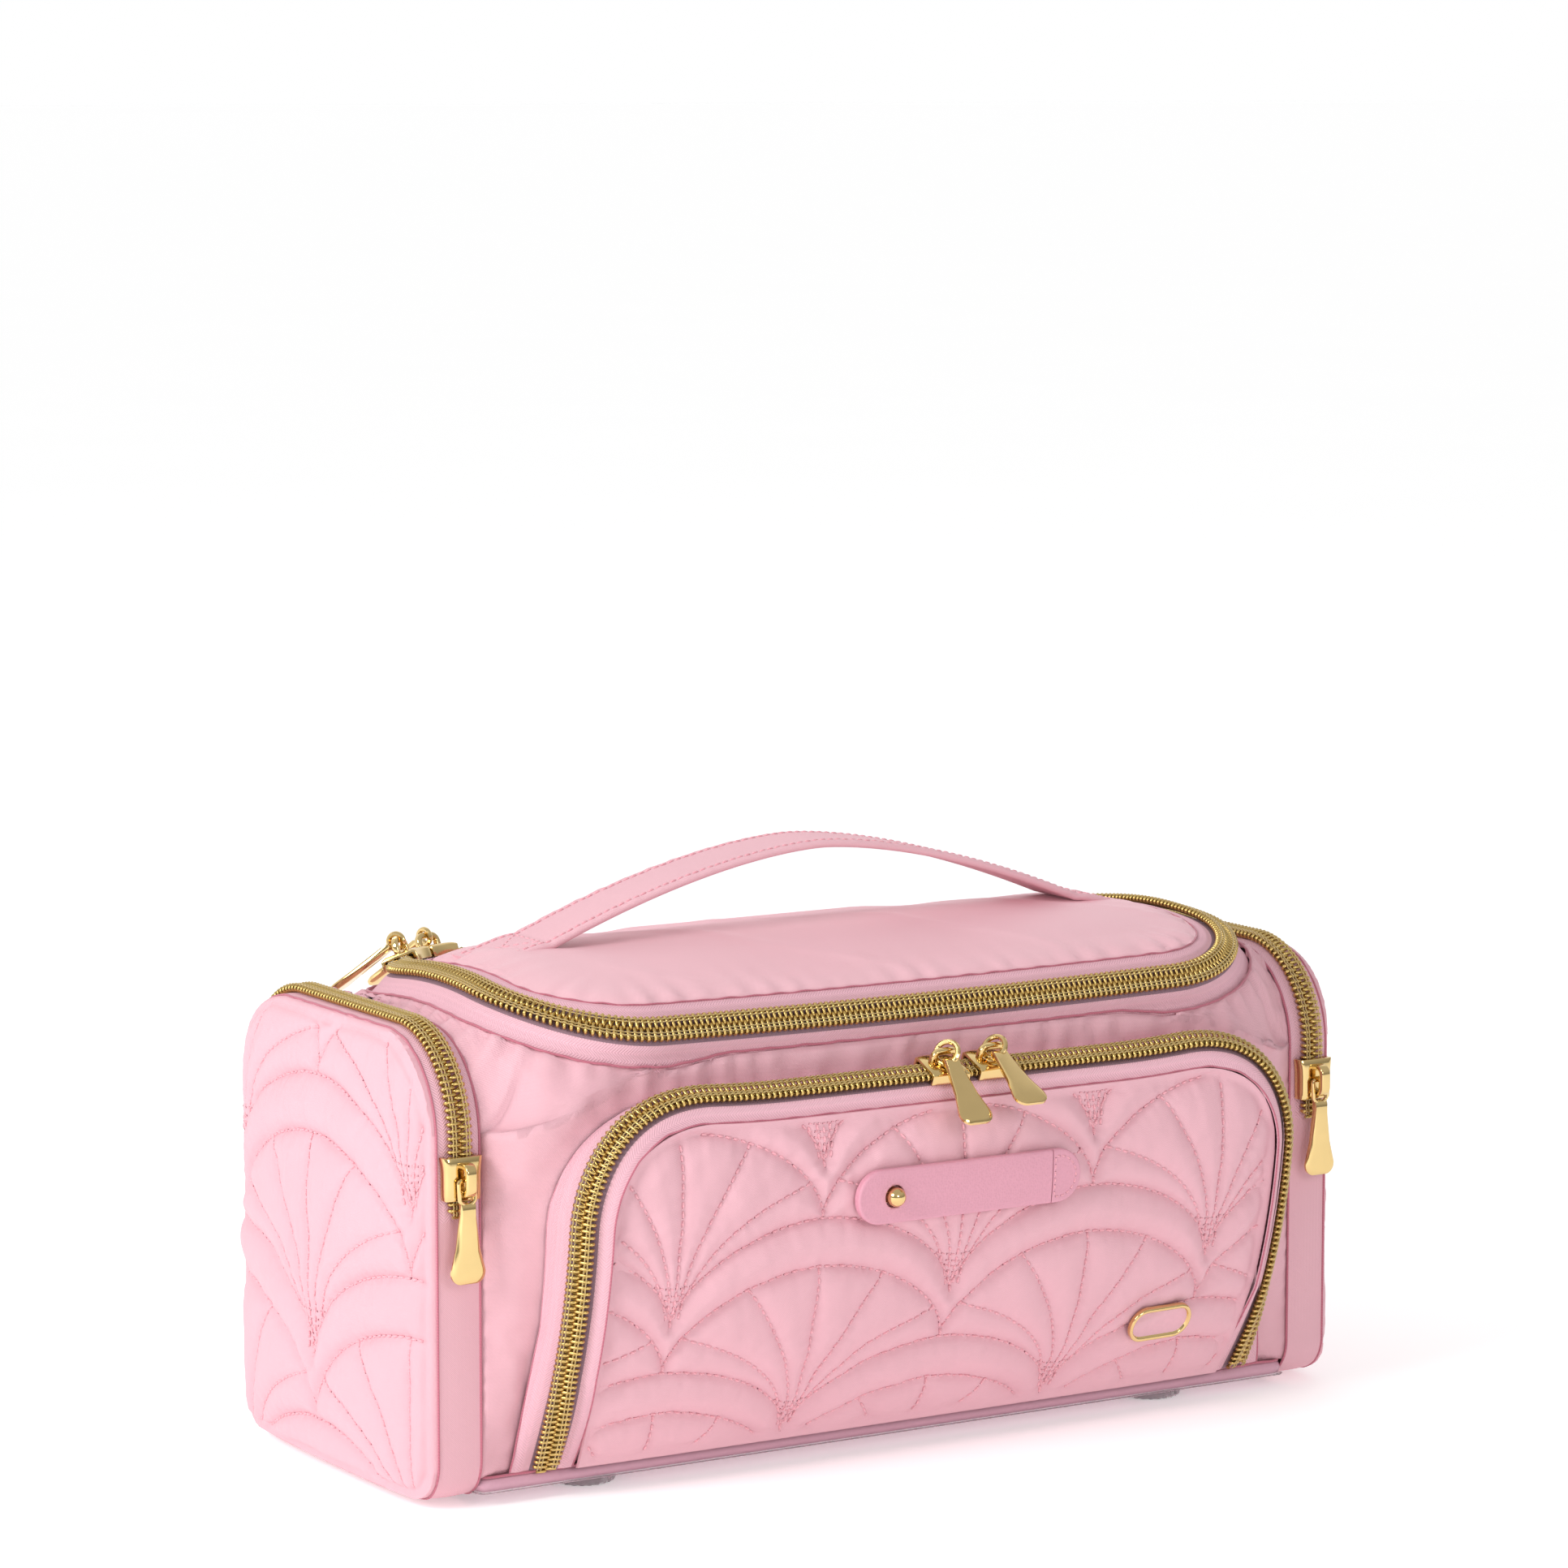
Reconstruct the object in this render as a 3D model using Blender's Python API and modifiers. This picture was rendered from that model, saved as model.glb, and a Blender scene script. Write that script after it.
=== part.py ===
"""Soft makeup train case: zip-round lid, drop-down quilted front pocket and two end pockets.

Units are metres, +Z up, +X along the case and -Y to its front. The origin is under the middle
of the whole object, at the level of the feet.
"""
import math

import bmesh
import bpy
import numpy as np
from mathutils import Matrix, Vector

MM = 0.001
GAP = 0.3 * MM

# The end pockets are centred on y = FRAME_Y, because the front pocket stands out on one side only.
FRAME_Y = 24.4 * MM

# Feet and base
FOOT_RADIUS = 10.0 * MM
FOOT_TOP_RADIUS = 9.2 * MM
FOOT_HEIGHT = 3.7 * MM
FOOT_X = 105.0 * MM
FOOT_Y = 47.0 * MM
BASE_COVER_Z = (4.0 * MM, 8.5 * MM)
BASE_COVER_HALF = (146.5 * MM, 60.5 * MM)
BASE_PANEL_HALF_X = 147.2 * MM
BASE_PANEL_Y = (-58.0 * MM, 59.5 * MM)
BASE_PANEL_Z = (8.8 * MM, 11.8 * MM)
BASE_BOARD_HALF_X = 142.7 * MM
BASE_BOARD_Y = (-53.5 * MM, 55.5 * MM)
BASE_BOARD_Z = (12.1 * MM, 14.6 * MM)
CORNER_RADIUS = 10.0 * MM

# End section of the case: a rounded rectangle in the YZ plane
SEAM_X = 148.2 * MM
END_HALF_DEPTH = 62.8 * MM
END_TOP = 142.0 * MM
END_BOTTOM = 3.0 * MM
END_TOP_RADIUS = 30.0 * MM
END_BOTTOM_RADIUS = 12.0 * MM
WALL = 3.0 * MM
WALL_EDGE_CLEAR = 1.8 * MM
INNER_WALL_INSET = 6.5 * MM
WALL_BOTTOM = 12.1 * MM
WALL_TOP_MIDDLE = 127.6 * MM
WALL_TOP_END = 111.5 * MM
BULGE_FROM_X = 105.0 * MM
TOP_CLOTH = 2.0 * MM
SHOULDER_PUFF = 2.0 * MM
BACK_TOP_FOLD = ((55.0 * MM, 144.0 * MM), (61.5 * MM, 137.0 * MM))

# Lining tub: narrow at the board, wider at its open top
LINING_CLOTH = 0.8 * MM
LINING_HALF_X = 143.2 * MM
LINING_LOW_Y = (-51.5 * MM, 53.5 * MM)
LINING_TOP_Y = (-58.0 * MM, 58.0 * MM)
LINING_TOP = 110.0 * MM

# Height against depth of the front and back walls at the middle of the case
FRONT_PROFILE = ((9, 58), (25, 62.5), (40, 66.5), (70, 74), (100, 78), (122, 78), (132, 77.3))
BACK_PROFILE = ((9, 60), (40, 64), (80, 66), (115, 65.5), (132, 64))

# Lid zip: a rounded rectangle in plan, carried on the arched top
LID_HALF_LENGTH = 132.5 * MM
LID_HALF_WIDTH = 60.3 * MM
LID_MIDDLE_Y = -14.3 * MM
LID_RADIUS = 39.6 * MM
LID_EDGE_Z = 141.6 * MM
LID_ARCH = 9.8 * MM
LID_FRONT_SAG = 1.8 * MM
LID_RISE = 3.3 * MM
LID_PAD = 3.2 * MM
LID_THICKNESS = 4.0 * MM
LID_LINING_INSET = 2.0 * MM
HINGE_Y = 46.0 * MM
HINGE_STRIP_RISE = 1.0 * MM
HINGE_STRIP_THICKNESS = 1.6 * MM

# Zip chain and its tape, measured across the zip and out from its surface
CHAIN_HALF = 4.25 * MM
CHAIN_LOW = 0.8 * MM
CHAIN_HIGH = 3.4 * MM
TAPE_HALF = 0.5 * MM
TAPE_OUTER = 12.0 * MM
TAPE_INNER = 6.7 * MM
FRONT_TAPE_INNER = 4.4 * MM
FRONT_TAPE_SPREAD = 5.0 * MM
FRONT_TAPE_FOOT_SPREAD = 6.0 * MM
FRONT_TAPE_FOOT_HEIGHT = 45.0 * MM
FRONT_TAPE_STAND_OFF = 1.3 * MM
FRONT_TAPE_DROP = 1.0 * MM
LID_RIM_FROM = 7.1 * MM
LID_RIM_TO = 11.0 * MM

# Front pocket zip: an upside-down U on a bellied surface
FRONT_ZIP_X = 126.8 * MM
FRONT_ZIP_RADIUS = 41.5 * MM
FRONT_ZIP_TOP = 127.2 * MM
FRONT_ZIP_BOTTOM = 9.2 * MM
FRONT_ZIP_SAG = 6.2 * MM
FRONT_ZIP_LEVEL_X = 58.0 * MM
FRONT_TURN_HEIGHT = 31.0 * MM
FRONT_BELLY_Y = (-59.0 * MM, -90.0 * MM)
FRONT_BELLY_Z = (5.0 * MM, 128.0 * MM)
FRONT_BELLY_POWER = 2.57
PANEL_SIDE_INSET = 6.3 * MM
PANEL_TOP_INSET = 6.5 * MM
PANEL_FORWARD = 5.5 * MM
PANEL_PAD = 5.0 * MM
PANEL_BOTTOM = 9.0 * MM
PANEL_MIDDLE_Z = 62.0 * MM
PANEL_BACK = 2.0 * MM
PANEL_FOOT_INSET = 3.0 * MM
PANEL_FOOT_HEIGHT = 36.0 * MM
PANEL_ROUND_OFF = 4.0 * MM
PANEL_LINING_INSET = 1.5 * MM

# End pockets
POCKET_ZIP_X = 155.8 * MM
POCKET_OUTER_X = 162.3 * MM
END_PANEL_X = 162.6 * MM
END_PANEL_THICKNESS = 2.5 * MM
END_PANEL_PAD = 4.5 * MM
FLAP_Z = 88.0 * MM

# Zip sliders and pulls
SLIDER_LENGTH = 13.0 * MM
SLIDER_HALF = 6.4 * MM
SLIDER_PLATE = 1.45 * MM
SLIDER_CLEAR = 0.35 * MM
SLIDER_SKIRT_GAP = 0.05 * MM
CROWN_RADIUS = 1.0 * MM
CROWN_HALF = 4.2 * MM
CROWN_TOP = 9.2 * MM
CROWN_FOOT = 4.6 * MM
CROWN_CORNER = 2.2 * MM
YOKE_LEVEL = 6.7 * MM
YOKE_ARM = 2.9 * MM
YOKE_BAR = 0.9 * MM
YOKE_WINDOW = (6.4 * MM, 1.5 * MM)
EYE_RADIUS = 3.0 * MM
EYE_BAR = 0.85 * MM
EYE_TAB_SHIFT = 4.0 * MM
PULL_LENGTH = 31.0 * MM
PULL_HALF_THICKNESS = 0.8 * MM
PULL_NECK = ((7.6 * MM, 2.6 * MM), (9.5 * MM, 2.7 * MM), (17.0 * MM, 4.1 * MM))
PULL_END = ((3.5 * MM, 5.7 * MM), (1.4 * MM, 5.0 * MM), (0.0, 3.0 * MM))
FRONT_SLIDER_X = (-4.0 * MM, 13.2 * MM)
POCKET_SLIDER_Z = 101.5 * MM
LID_SLIDER_ANGLES = (47.0, 70.0)
FRONT_PULL_LAY = (114.0, 100.0)
LID_PULL_LAY = 106.0

# Tilt of a zip's outer side below level at the ends and the front of the lid, in degrees
LID_CHAIN_TILT = (18.0, 56.0)
LID_OUTER_TILT = (28.0, 76.0)
LID_INNER_TILT = (8.0, 34.0)

# Turn of the front zip away from straight ahead at its sides and its top, in degrees
FRONT_CHAIN_FACE = (50.0, 68.0)
FRONT_INNER_FACE = (45.0, 12.0)

# Handle
HANDLE_WIDTH = 25.0 * MM
HANDLE_THICKNESS = 2.4 * MM
HANDLE_BASE_X = 97.0 * MM
HANDLE_END_X = 117.0 * MM
HANDLE_PEAK = 183.2 * MM
HANDLE_Y = -4.0 * MM

# Leather tab, stud and badge on the front panel
TAB_X = (-40.5 * MM, 40.2 * MM)
TAB_HINGE_X = 29.6 * MM
TAB_Z = 88.8 * MM
TAB_HALF_HEIGHT = 8.2 * MM
TAB_THICKNESS = 2.6 * MM
STUD_X = -27.6 * MM
STUD_RADIUS = 3.0 * MM
STUD_HOLE_RADIUS = 3.5 * MM
STUD_LIFT = 0.5 * MM
BADGE_CENTRE = (82.5 * MM, 34.0 * MM)
BADGE_HALF = (12.0 * MM, 5.6 * MM)
BADGE_RADIUS = 5.5 * MM
BADGE_THICKNESS = 1.6 * MM

COLOURS = {
    "pink_fabric": ((0.78, 0.45, 0.52, 1.0), 0.75, 0.0),
    "quilted_fabric": ((0.76, 0.43, 0.50, 1.0), 0.65, 0.0),
    "zip_tape": ((0.80, 0.47, 0.62, 1.0), 0.85, 0.0),
    "gold_metal": ((0.83, 0.62, 0.30, 1.0), 0.25, 1.0),
    "lining_fabric": ((0.82, 0.72, 0.72, 1.0), 0.8, 0.0),
    "base_vinyl": ((0.52, 0.31, 0.38, 1.0), 0.35, 0.0),
    "board": ((0.20, 0.18, 0.18, 1.0), 0.8, 0.0),
    "clear_plastic": ((0.80, 0.76, 0.78, 0.6), 0.15, 0.0),
    "pink_leather": ((0.84, 0.35, 0.50, 1.0), 0.55, 0.0),
}


# ---------------------------------------------------------------- scene and objects

def clear_scene():
    """Remove whatever objects the file starts with."""
    for obj in list(bpy.data.objects):
        bpy.data.objects.remove(obj, do_unlink=True)


def new_collection(name):
    collection = bpy.data.collections.new(name)
    bpy.context.scene.collection.children.link(collection)
    return collection


def make_material(node, slot):
    """Give one sub-part its own Principled BSDF."""
    colour, roughness, metallic = COLOURS[slot]
    material = bpy.data.materials.new(f"{node}_{slot}")
    material.use_nodes = True
    shader = material.node_tree.nodes["Principled BSDF"]
    shader.inputs["Base Color"].default_value = colour
    shader.inputs["Roughness"].default_value = roughness
    shader.inputs["Metallic"].default_value = metallic
    return material


def add_part(node, slot, mesh_data, origin=(0.0, 0.0, 0.0), smooth_angle=35.0):
    """Link a bmesh as a sub-part, with its origin at a point of the case frame."""
    origin = Vector(origin)
    bmesh.ops.recalc_face_normals(mesh_data, faces=mesh_data.faces)
    bmesh.ops.translate(mesh_data, vec=-origin, verts=mesh_data.verts)
    mesh = bpy.data.meshes.new(node)
    mesh_data.to_mesh(mesh)
    mesh_data.free()
    mesh.shade_smooth()
    mesh.set_sharp_from_angle(angle=math.radians(smooth_angle))
    mesh.materials.append(make_material(node, slot))
    obj = bpy.data.objects.new(node, mesh)
    obj.location = origin + Vector((0.0, FRAME_Y, 0.0))
    PARTS.objects.link(obj)
    return obj


def add_helper(name, mesh_data):
    """Link a bmesh as a hidden shape for a Boolean."""
    bmesh.ops.recalc_face_normals(mesh_data, faces=mesh_data.faces)
    bmesh.ops.translate(mesh_data, vec=Vector((0.0, FRAME_Y, 0.0)), verts=mesh_data.verts)
    mesh = bpy.data.meshes.new(name)
    mesh_data.to_mesh(mesh)
    mesh_data.free()
    obj = bpy.data.objects.new(name, mesh)
    obj.hide_render = True
    obj.display_type = "WIRE"
    HELPERS.objects.link(obj)
    return obj


def combine(part, helper, operation):
    modifier = part.modifiers.new(helper.name, "BOOLEAN")
    modifier.operation = operation
    modifier.solver = "EXACT"
    modifier.object = helper


# ---------------------------------------------------------------- closed solids from grids

def slab_mesh(side_a, side_b, closed=False):
    """Closed solid between two equal grids of points; closed joins the last column to the first."""
    rows, columns = side_a.shape[:2]
    mesh_data = bmesh.new()
    verts = [[[mesh_data.verts.new(p) for p in row] for row in side] for side in (side_a, side_b)]
    steps = columns if closed else columns - 1
    for row in range(rows - 1):
        for column in range(steps):
            after = (column + 1) % columns
            for side in verts:
                mesh_data.faces.new((side[row][column], side[row][after],
                                     side[row + 1][after], side[row + 1][column]))
    for row in (0, rows - 1):
        for column in range(steps):
            after = (column + 1) % columns
            mesh_data.faces.new((verts[0][row][column], verts[0][row][after],
                                 verts[1][row][after], verts[1][row][column]))
    if not closed:
        for column in (0, columns - 1):
            for row in range(rows - 1):
                mesh_data.faces.new((verts[0][row][column], verts[0][row + 1][column],
                                     verts[1][row + 1][column], verts[1][row][column]))
    bmesh.ops.triangulate(mesh_data, faces=mesh_data.faces)
    return mesh_data


def grid_normals(grid, closed=False, centre=(0.0, 0.0, 0.06)):
    """Unit normals of a grid of points, pointing away from the middle of the case."""
    if closed:
        wrapped = np.concatenate([grid[:, -1:], grid, grid[:, :1]], axis=1)
        along = (wrapped[:, 2:] - wrapped[:, :-2])
    else:
        along = np.gradient(grid, axis=1)
    across = np.gradient(grid, axis=0)
    normals = np.cross(along, across)
    normals /= np.linalg.norm(normals, axis=2, keepdims=True)
    outward = np.einsum("ijk,ijk->ij", normals, grid - np.array(centre))
    return normals * np.sign(outward)[:, :, None]


def skin(grid, low, high, closed=False):
    """Slab that follows a surface, from low to high along its outward normal."""
    normals = grid_normals(grid, closed)
    return slab_mesh(grid + normals * low, grid + normals * high, closed)


def rounded_box(half_x, y_range, z_range, radius):
    """Plate with round corners in plan."""
    y_middle = (y_range[0] + y_range[1]) / 2
    half_y = (y_range[1] - y_range[0]) / 2
    outline = rounded_outline(half_x, half_y, radius, 5)
    mesh_data = bmesh.new()
    verts = [mesh_data.verts.new((x, y + y_middle, z_range[0])) for x, y in outline]
    base = mesh_data.faces.new(verts)
    top = bmesh.ops.extrude_face_region(mesh_data, geom=[base])
    moved = [v for v in top["geom"] if isinstance(v, bmesh.types.BMVert)]
    bmesh.ops.translate(mesh_data, vec=(0.0, 0.0, z_range[1] - z_range[0]), verts=moved)
    return mesh_data


def rounded_outline(half_x, half_y, radius, steps):
    points = []
    for corner, (sx, sy) in enumerate(((1, 1), (-1, 1), (-1, -1), (1, -1))):
        for step in range(steps + 1):
            angle = math.radians(90.0 * (corner + step / steps))
            points.append((sx * (half_x - radius) + radius * math.cos(angle),
                           sy * (half_y - radius) + radius * math.sin(angle)))
    return points


# ---------------------------------------------------------------- surfaces of the case

def profile(z, table):
    """Depth of a wall at a height, through the few points of its profile."""
    heights = [row[0] * MM for row in table]
    depths = [row[1] * MM for row in table]
    return np.interp(z, heights, depths)


def end_share(x):
    """0 over the middle of the case, 1 at the seam with an end pocket."""
    return np.clip((np.abs(x) - BULGE_FROM_X) / (SEAM_X - BULGE_FROM_X), 0.0, 1.0) ** 3


def wall_depth(x, z, table):
    """Distance of the front or back wall from the middle plane of the end pockets."""
    share = end_share(x)
    return share * END_HALF_DEPTH + (1.0 - share) * profile(z, table)


def wall_top(x):
    """Height of a wall's upper edge, which drops towards the end pockets."""
    start = LID_HALF_LENGTH - LID_RADIUS
    share = np.clip((np.abs(x) - start) / (SEAM_X - start), 0.0, 1.0)
    smooth = share * share * (3.0 - 2.0 * share)
    return WALL_TOP_MIDDLE + (WALL_TOP_END - WALL_TOP_MIDDLE) * smooth


def lid_height(x, y):
    """Arched surface that carries the lid and its zip; behind the corner centres it runs on straight."""
    corner_y = LID_MIDDLE_Y + LID_HALF_WIDTH - LID_RADIUS
    reach = (np.minimum(y, corner_y) - LID_MIDDLE_Y) / LID_HALF_WIDTH
    slope = -2.0 * LID_ARCH * (corner_y - LID_MIDDLE_Y) / LID_HALF_WIDTH ** 2
    height = LID_EDGE_Z + LID_ARCH * (1.0 - reach ** 2) + slope * np.maximum(y - corner_y, 0.0)
    front = np.clip(-reach, 0.0, 1.0)
    return height - LID_FRONT_SAG * (1.0 - np.clip(np.abs(x) / LID_HALF_LENGTH, 0, 1) ** 2) * front


def front_zip_depth(z):
    """Depth of the bellied front pocket along its zip."""
    share = np.clip((z - FRONT_BELLY_Z[0]) / (FRONT_BELLY_Z[1] - FRONT_BELLY_Z[0]), 0.0, 1.0)
    near, far = FRONT_BELLY_Y
    return near + (far - near) * (1.0 - (1.0 - share) ** FRONT_BELLY_POWER)


def front_zip_droop(x):
    """How far the top of the front zip hangs below its corners; level where the sliders run."""
    share = np.clip((FRONT_ZIP_X - np.abs(x)) / (FRONT_ZIP_X - FRONT_ZIP_LEVEL_X), 0.0, 1.0)
    return FRONT_ZIP_SAG * share * (2.0 - share)


def panel_face(x, z):
    """Outer face of the front quilted panel."""
    across = np.clip(1.0 - (np.abs(x) / (FRONT_ZIP_X - PANEL_SIDE_INSET)) ** 4, 0.0, 1.0)
    reach = np.abs(z - PANEL_MIDDLE_Z) / (PANEL_MIDDLE_Z - PANEL_BOTTOM + PANEL_ROUND_OFF)
    upright = np.clip(1.0 - reach ** 4, 0.0, 1.0)
    return front_zip_depth(z) - PANEL_FORWARD - PANEL_PAD * across * upright


# ---------------------------------------------------------------- zip paths

class ZipPath:
    """Stations along a zip: centre point, tangent, direction across and outward normal."""

    def __init__(self, points, across, normals):
        self.points = np.array(points)
        self.across = np.array(across)
        self.normals = np.array(normals)

    def at(self, offset, out=0.0):
        return self.points + self.across * offset + self.normals * out

    def strip(self, offsets, out=0.0):
        """Grid of points, one row for each offset across the zip."""
        return np.array([self.at(offset, out) for offset in offsets])


def unit(vectors):
    vectors = np.array(vectors, dtype=float)
    return vectors / np.linalg.norm(vectors, axis=-1, keepdims=True)


def chain_mesh(path):
    strip = path.strip((-CHAIN_HALF, CHAIN_HALF))
    return slab_mesh(strip + path.normals * CHAIN_LOW, strip + path.normals * CHAIN_HIGH)


def lid_plan(side):
    """Plan points of one half of the lid zip, from the front middle to the back corner's end."""
    centre_x = LID_HALF_LENGTH - LID_RADIUS
    front_y = LID_MIDDLE_Y - LID_HALF_WIDTH
    corner_front = front_y + LID_RADIUS
    corner_back = LID_MIDDLE_Y + LID_HALF_WIDTH - LID_RADIUS
    points = [(x, front_y, 0.0, -1.0) for x in np.linspace(0.0, centre_x, 7)[:-1]]
    for angle in np.radians(np.linspace(-90.0, 0.0, 10)):
        points.append((centre_x + LID_RADIUS * math.cos(angle), corner_front + LID_RADIUS * math.sin(angle),
                       math.cos(angle), math.sin(angle)))
    points += [(LID_HALF_LENGTH, y, 1.0, 0.0) for y in np.linspace(corner_front, corner_back, 5)[1:-1]]
    for angle in np.radians(np.linspace(0.0, 88.0, 10)):
        points.append((centre_x + LID_RADIUS * math.cos(angle), corner_back + LID_RADIUS * math.sin(angle),
                       math.cos(angle), math.sin(angle)))
    return [(side * x, y, side * out_x, out_y) for x, y, out_x, out_y in points]


def back_plane_normal():
    """Upward normal of the plane in which the lid's back corners lie."""
    corner_y = LID_MIDDLE_Y + LID_HALF_WIDTH - LID_RADIUS
    slope = -2.0 * LID_ARCH * (corner_y - LID_MIDDLE_Y) / LID_HALF_WIDTH ** 2
    return unit((0.0, -slope, 1.0))


def lid_frame(x, y, out_x, out_y, tilt):
    """Point and directions of the lid zip for a tilt, in degrees, of its outer side below level."""
    point = np.array((x, y, lid_height(x, y)))
    corner_y = LID_MIDDLE_Y + LID_HALF_WIDTH - LID_RADIUS
    up = back_plane_normal() if y > corner_y - MM else np.array((0.0, 0.0, 1.0))
    outward = np.array((out_x, out_y, 0.0))
    outward = unit(outward - up * outward.dot(up))
    turn = math.radians(tilt)
    across = math.cos(turn) * outward - math.sin(turn) * up
    normal = math.sin(turn) * outward + math.cos(turn) * up
    return point, across, normal


def lid_zip_path(end_tilt, front_tilt):
    """The lid zip from the left back corner round the front to the right back corner."""
    plan = lid_plan(-1.0)[::-1] + lid_plan(1.0)[1:]
    stations = []
    for x, y, out_x, out_y in plan:
        facing_front = max(-out_y, 0.0) ** 2
        tilt = end_tilt + (front_tilt - end_tilt) * facing_front
        stations.append(lid_frame(x, y, out_x, out_y, tilt))
    points, across, normals = zip(*stations)
    return ZipPath(points, across, normals)


def front_plan():
    """Stations of the front zip in the XZ plane with their outward direction there."""
    corner_x = FRONT_ZIP_X - FRONT_ZIP_RADIUS
    corner_z = FRONT_ZIP_TOP - FRONT_ZIP_RADIUS
    half = [(FRONT_ZIP_X, z, 0.0) for z in np.linspace(FRONT_ZIP_BOTTOM, corner_z, 8)[:-1]]
    for angle in np.linspace(0.0, 90.0, 9):
        turn = math.radians(angle)
        half.append((corner_x + FRONT_ZIP_RADIUS * math.cos(turn),
                     corner_z + FRONT_ZIP_RADIUS * math.sin(turn), angle))
    half += [(x, FRONT_ZIP_TOP, 90.0) for x in np.linspace(corner_x, 0.0, 8)[1:]]
    left = [(-x, z, 180.0 - angle) for x, z, angle in half]
    return left + half[-2::-1]


def front_zip_path(side_face, top_face):
    """The front zip from bottom left over the top; the faces are the zip's turn away from straight ahead."""
    points = []
    across = []
    normals = []
    for x, z, angle in front_plan():
        turn = math.radians(angle)
        top_share = max(math.sin(turn), 0.0) ** 2
        low_share = min(0.25 + 0.75 * (z - FRONT_ZIP_BOTTOM) / FRONT_TURN_HEIGHT, 1.0)
        face = math.radians((side_face + (top_face - side_face) * top_share) * low_share)
        out = np.array((math.cos(turn), 0.0, math.sin(turn)))
        ahead = np.array((0.0, -1.0, 0.0))
        drop = front_zip_droop(x) * top_share
        points.append((x, front_zip_depth(z), z - drop))
        across.append(math.sin(face) * ahead - math.cos(face) * out)
        normals.append(math.sin(face) * out + math.cos(face) * ahead)
    return ZipPath(points, across, normals)


def end_loop(offset, steps, bottom_offset=0.0):
    """Closed outline of the end section, moved outward by offset."""
    half_depth = END_HALF_DEPTH + offset
    top = END_TOP + offset
    bottom = END_BOTTOM - offset + bottom_offset
    points = []
    top_radius = END_TOP_RADIUS + offset
    bottom_radius = END_BOTTOM_RADIUS + offset
    corners = ((1, top, top_radius, 0.0), (-1, top, top_radius, 90.0),
               (-1, bottom, bottom_radius, 180.0), (1, bottom, bottom_radius, 270.0))
    for side, level, radius, start in corners:
        centre_z = level - radius if start < 180.0 else level + radius
        for angle in np.radians(np.linspace(start, start + 90.0, steps)):
            points.append((side * (half_depth - radius) + radius * math.cos(angle),
                           centre_z + radius * math.sin(angle)))
    return points


def pocket_zip_path(side):
    """Zip of an end pocket, from the front low end over the top to the back low end."""
    corner_y = END_HALF_DEPTH - END_TOP_RADIUS
    corner_z = END_TOP - END_TOP_RADIUS
    stations = [(END_HALF_DEPTH, z, 0.0) for z in np.linspace(FLAP_Z + MM, corner_z, 3)[:-1]]
    for angle in np.linspace(0.0, 90.0, 9):
        turn = math.radians(angle)
        stations.append((corner_y + END_TOP_RADIUS * math.cos(turn),
                         corner_z + END_TOP_RADIUS * math.sin(turn), angle))
    stations.append((0.0, END_TOP, 90.0))
    full = [(-y, z, 180.0 - angle) for y, z, angle in stations] + stations[-2::-1]
    points = [(side * POCKET_ZIP_X, y, z) for y, z, angle in full]
    normals = [(0.0, math.cos(math.radians(a)), math.sin(math.radians(a))) for y, z, a in full]
    across = [(side, 0.0, 0.0)] * len(full)
    return ZipPath(points, across, normals)


# ---------------------------------------------------------------- base and body

def build_base():
    half_x, half_y = BASE_COVER_HALF
    cover = rounded_box(half_x, (-half_y, half_y), BASE_COVER_Z, CORNER_RADIUS)
    add_part("base_cover", "base_vinyl", cover)
    panel = rounded_box(BASE_PANEL_HALF_X, BASE_PANEL_Y, BASE_PANEL_Z, CORNER_RADIUS)
    add_part("base_panel", "pink_fabric", panel)
    board = rounded_box(BASE_BOARD_HALF_X, BASE_BOARD_Y, BASE_BOARD_Z, CORNER_RADIUS)
    add_part("base_board", "board", board)
    for row, back in (("front", -1.0), ("back", 1.0)):
        for name, side in (("left", -1.0), ("right", 1.0)):
            foot = bmesh.new()
            bmesh.ops.create_cone(foot, cap_ends=True, segments=24, radius1=FOOT_RADIUS,
                                  radius2=FOOT_TOP_RADIUS, depth=FOOT_HEIGHT)
            centre = (side * FOOT_X, back * FOOT_Y, FOOT_HEIGHT / 2)
            bmesh.ops.translate(foot, vec=centre, verts=foot.verts)
            add_part(f"foot_{row}_{name}", "clear_plastic", foot)


def mirrored(shares):
    """Shares of a half length, from 0 upwards, repeated on the other side of 0."""
    return np.array([-share for share in shares[:0:-1]] + list(shares))


def wall_grid(sign, table, inset):
    columns = SEAM_X * mirrored((0.0, 0.4, 0.63, 0.76, 0.85, 0.93, 1.0))
    grid = []
    for share in np.linspace(0.0, 1.0, 7):
        heights = WALL_BOTTOM + (wall_top(columns) - WALL_BOTTOM) * share
        depth = wall_depth(columns, heights, table) - inset
        grid.append(np.stack([columns, sign * depth, heights], axis=1))
    return np.array(grid)


def build_walls():
    """Front and back walls, and the two walls between the main space and the end pockets."""
    for node, sign, table in (("front_wall", -1.0, FRONT_PROFILE), ("back_wall", 1.0, BACK_PROFILE)):
        mesh_data = slab_mesh(wall_grid(sign, table, 0.0), wall_grid(sign, table, WALL))
        add_part(node, "pink_fabric", mesh_data)
    outline = end_loop(-INNER_WALL_INSET, 6, bottom_offset=WALL_BOTTOM - END_BOTTOM - INNER_WALL_INSET)
    for node, side in (("left_inner_wall", -1.0), ("right_inner_wall", 1.0)):
        faces = [[(side * x, y, z) for y, z in outline] for x in (SEAM_X - WALL, SEAM_X - GAP / 2)]
        add_part(node, "pink_fabric", prism(faces[0], faces[1]))


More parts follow.
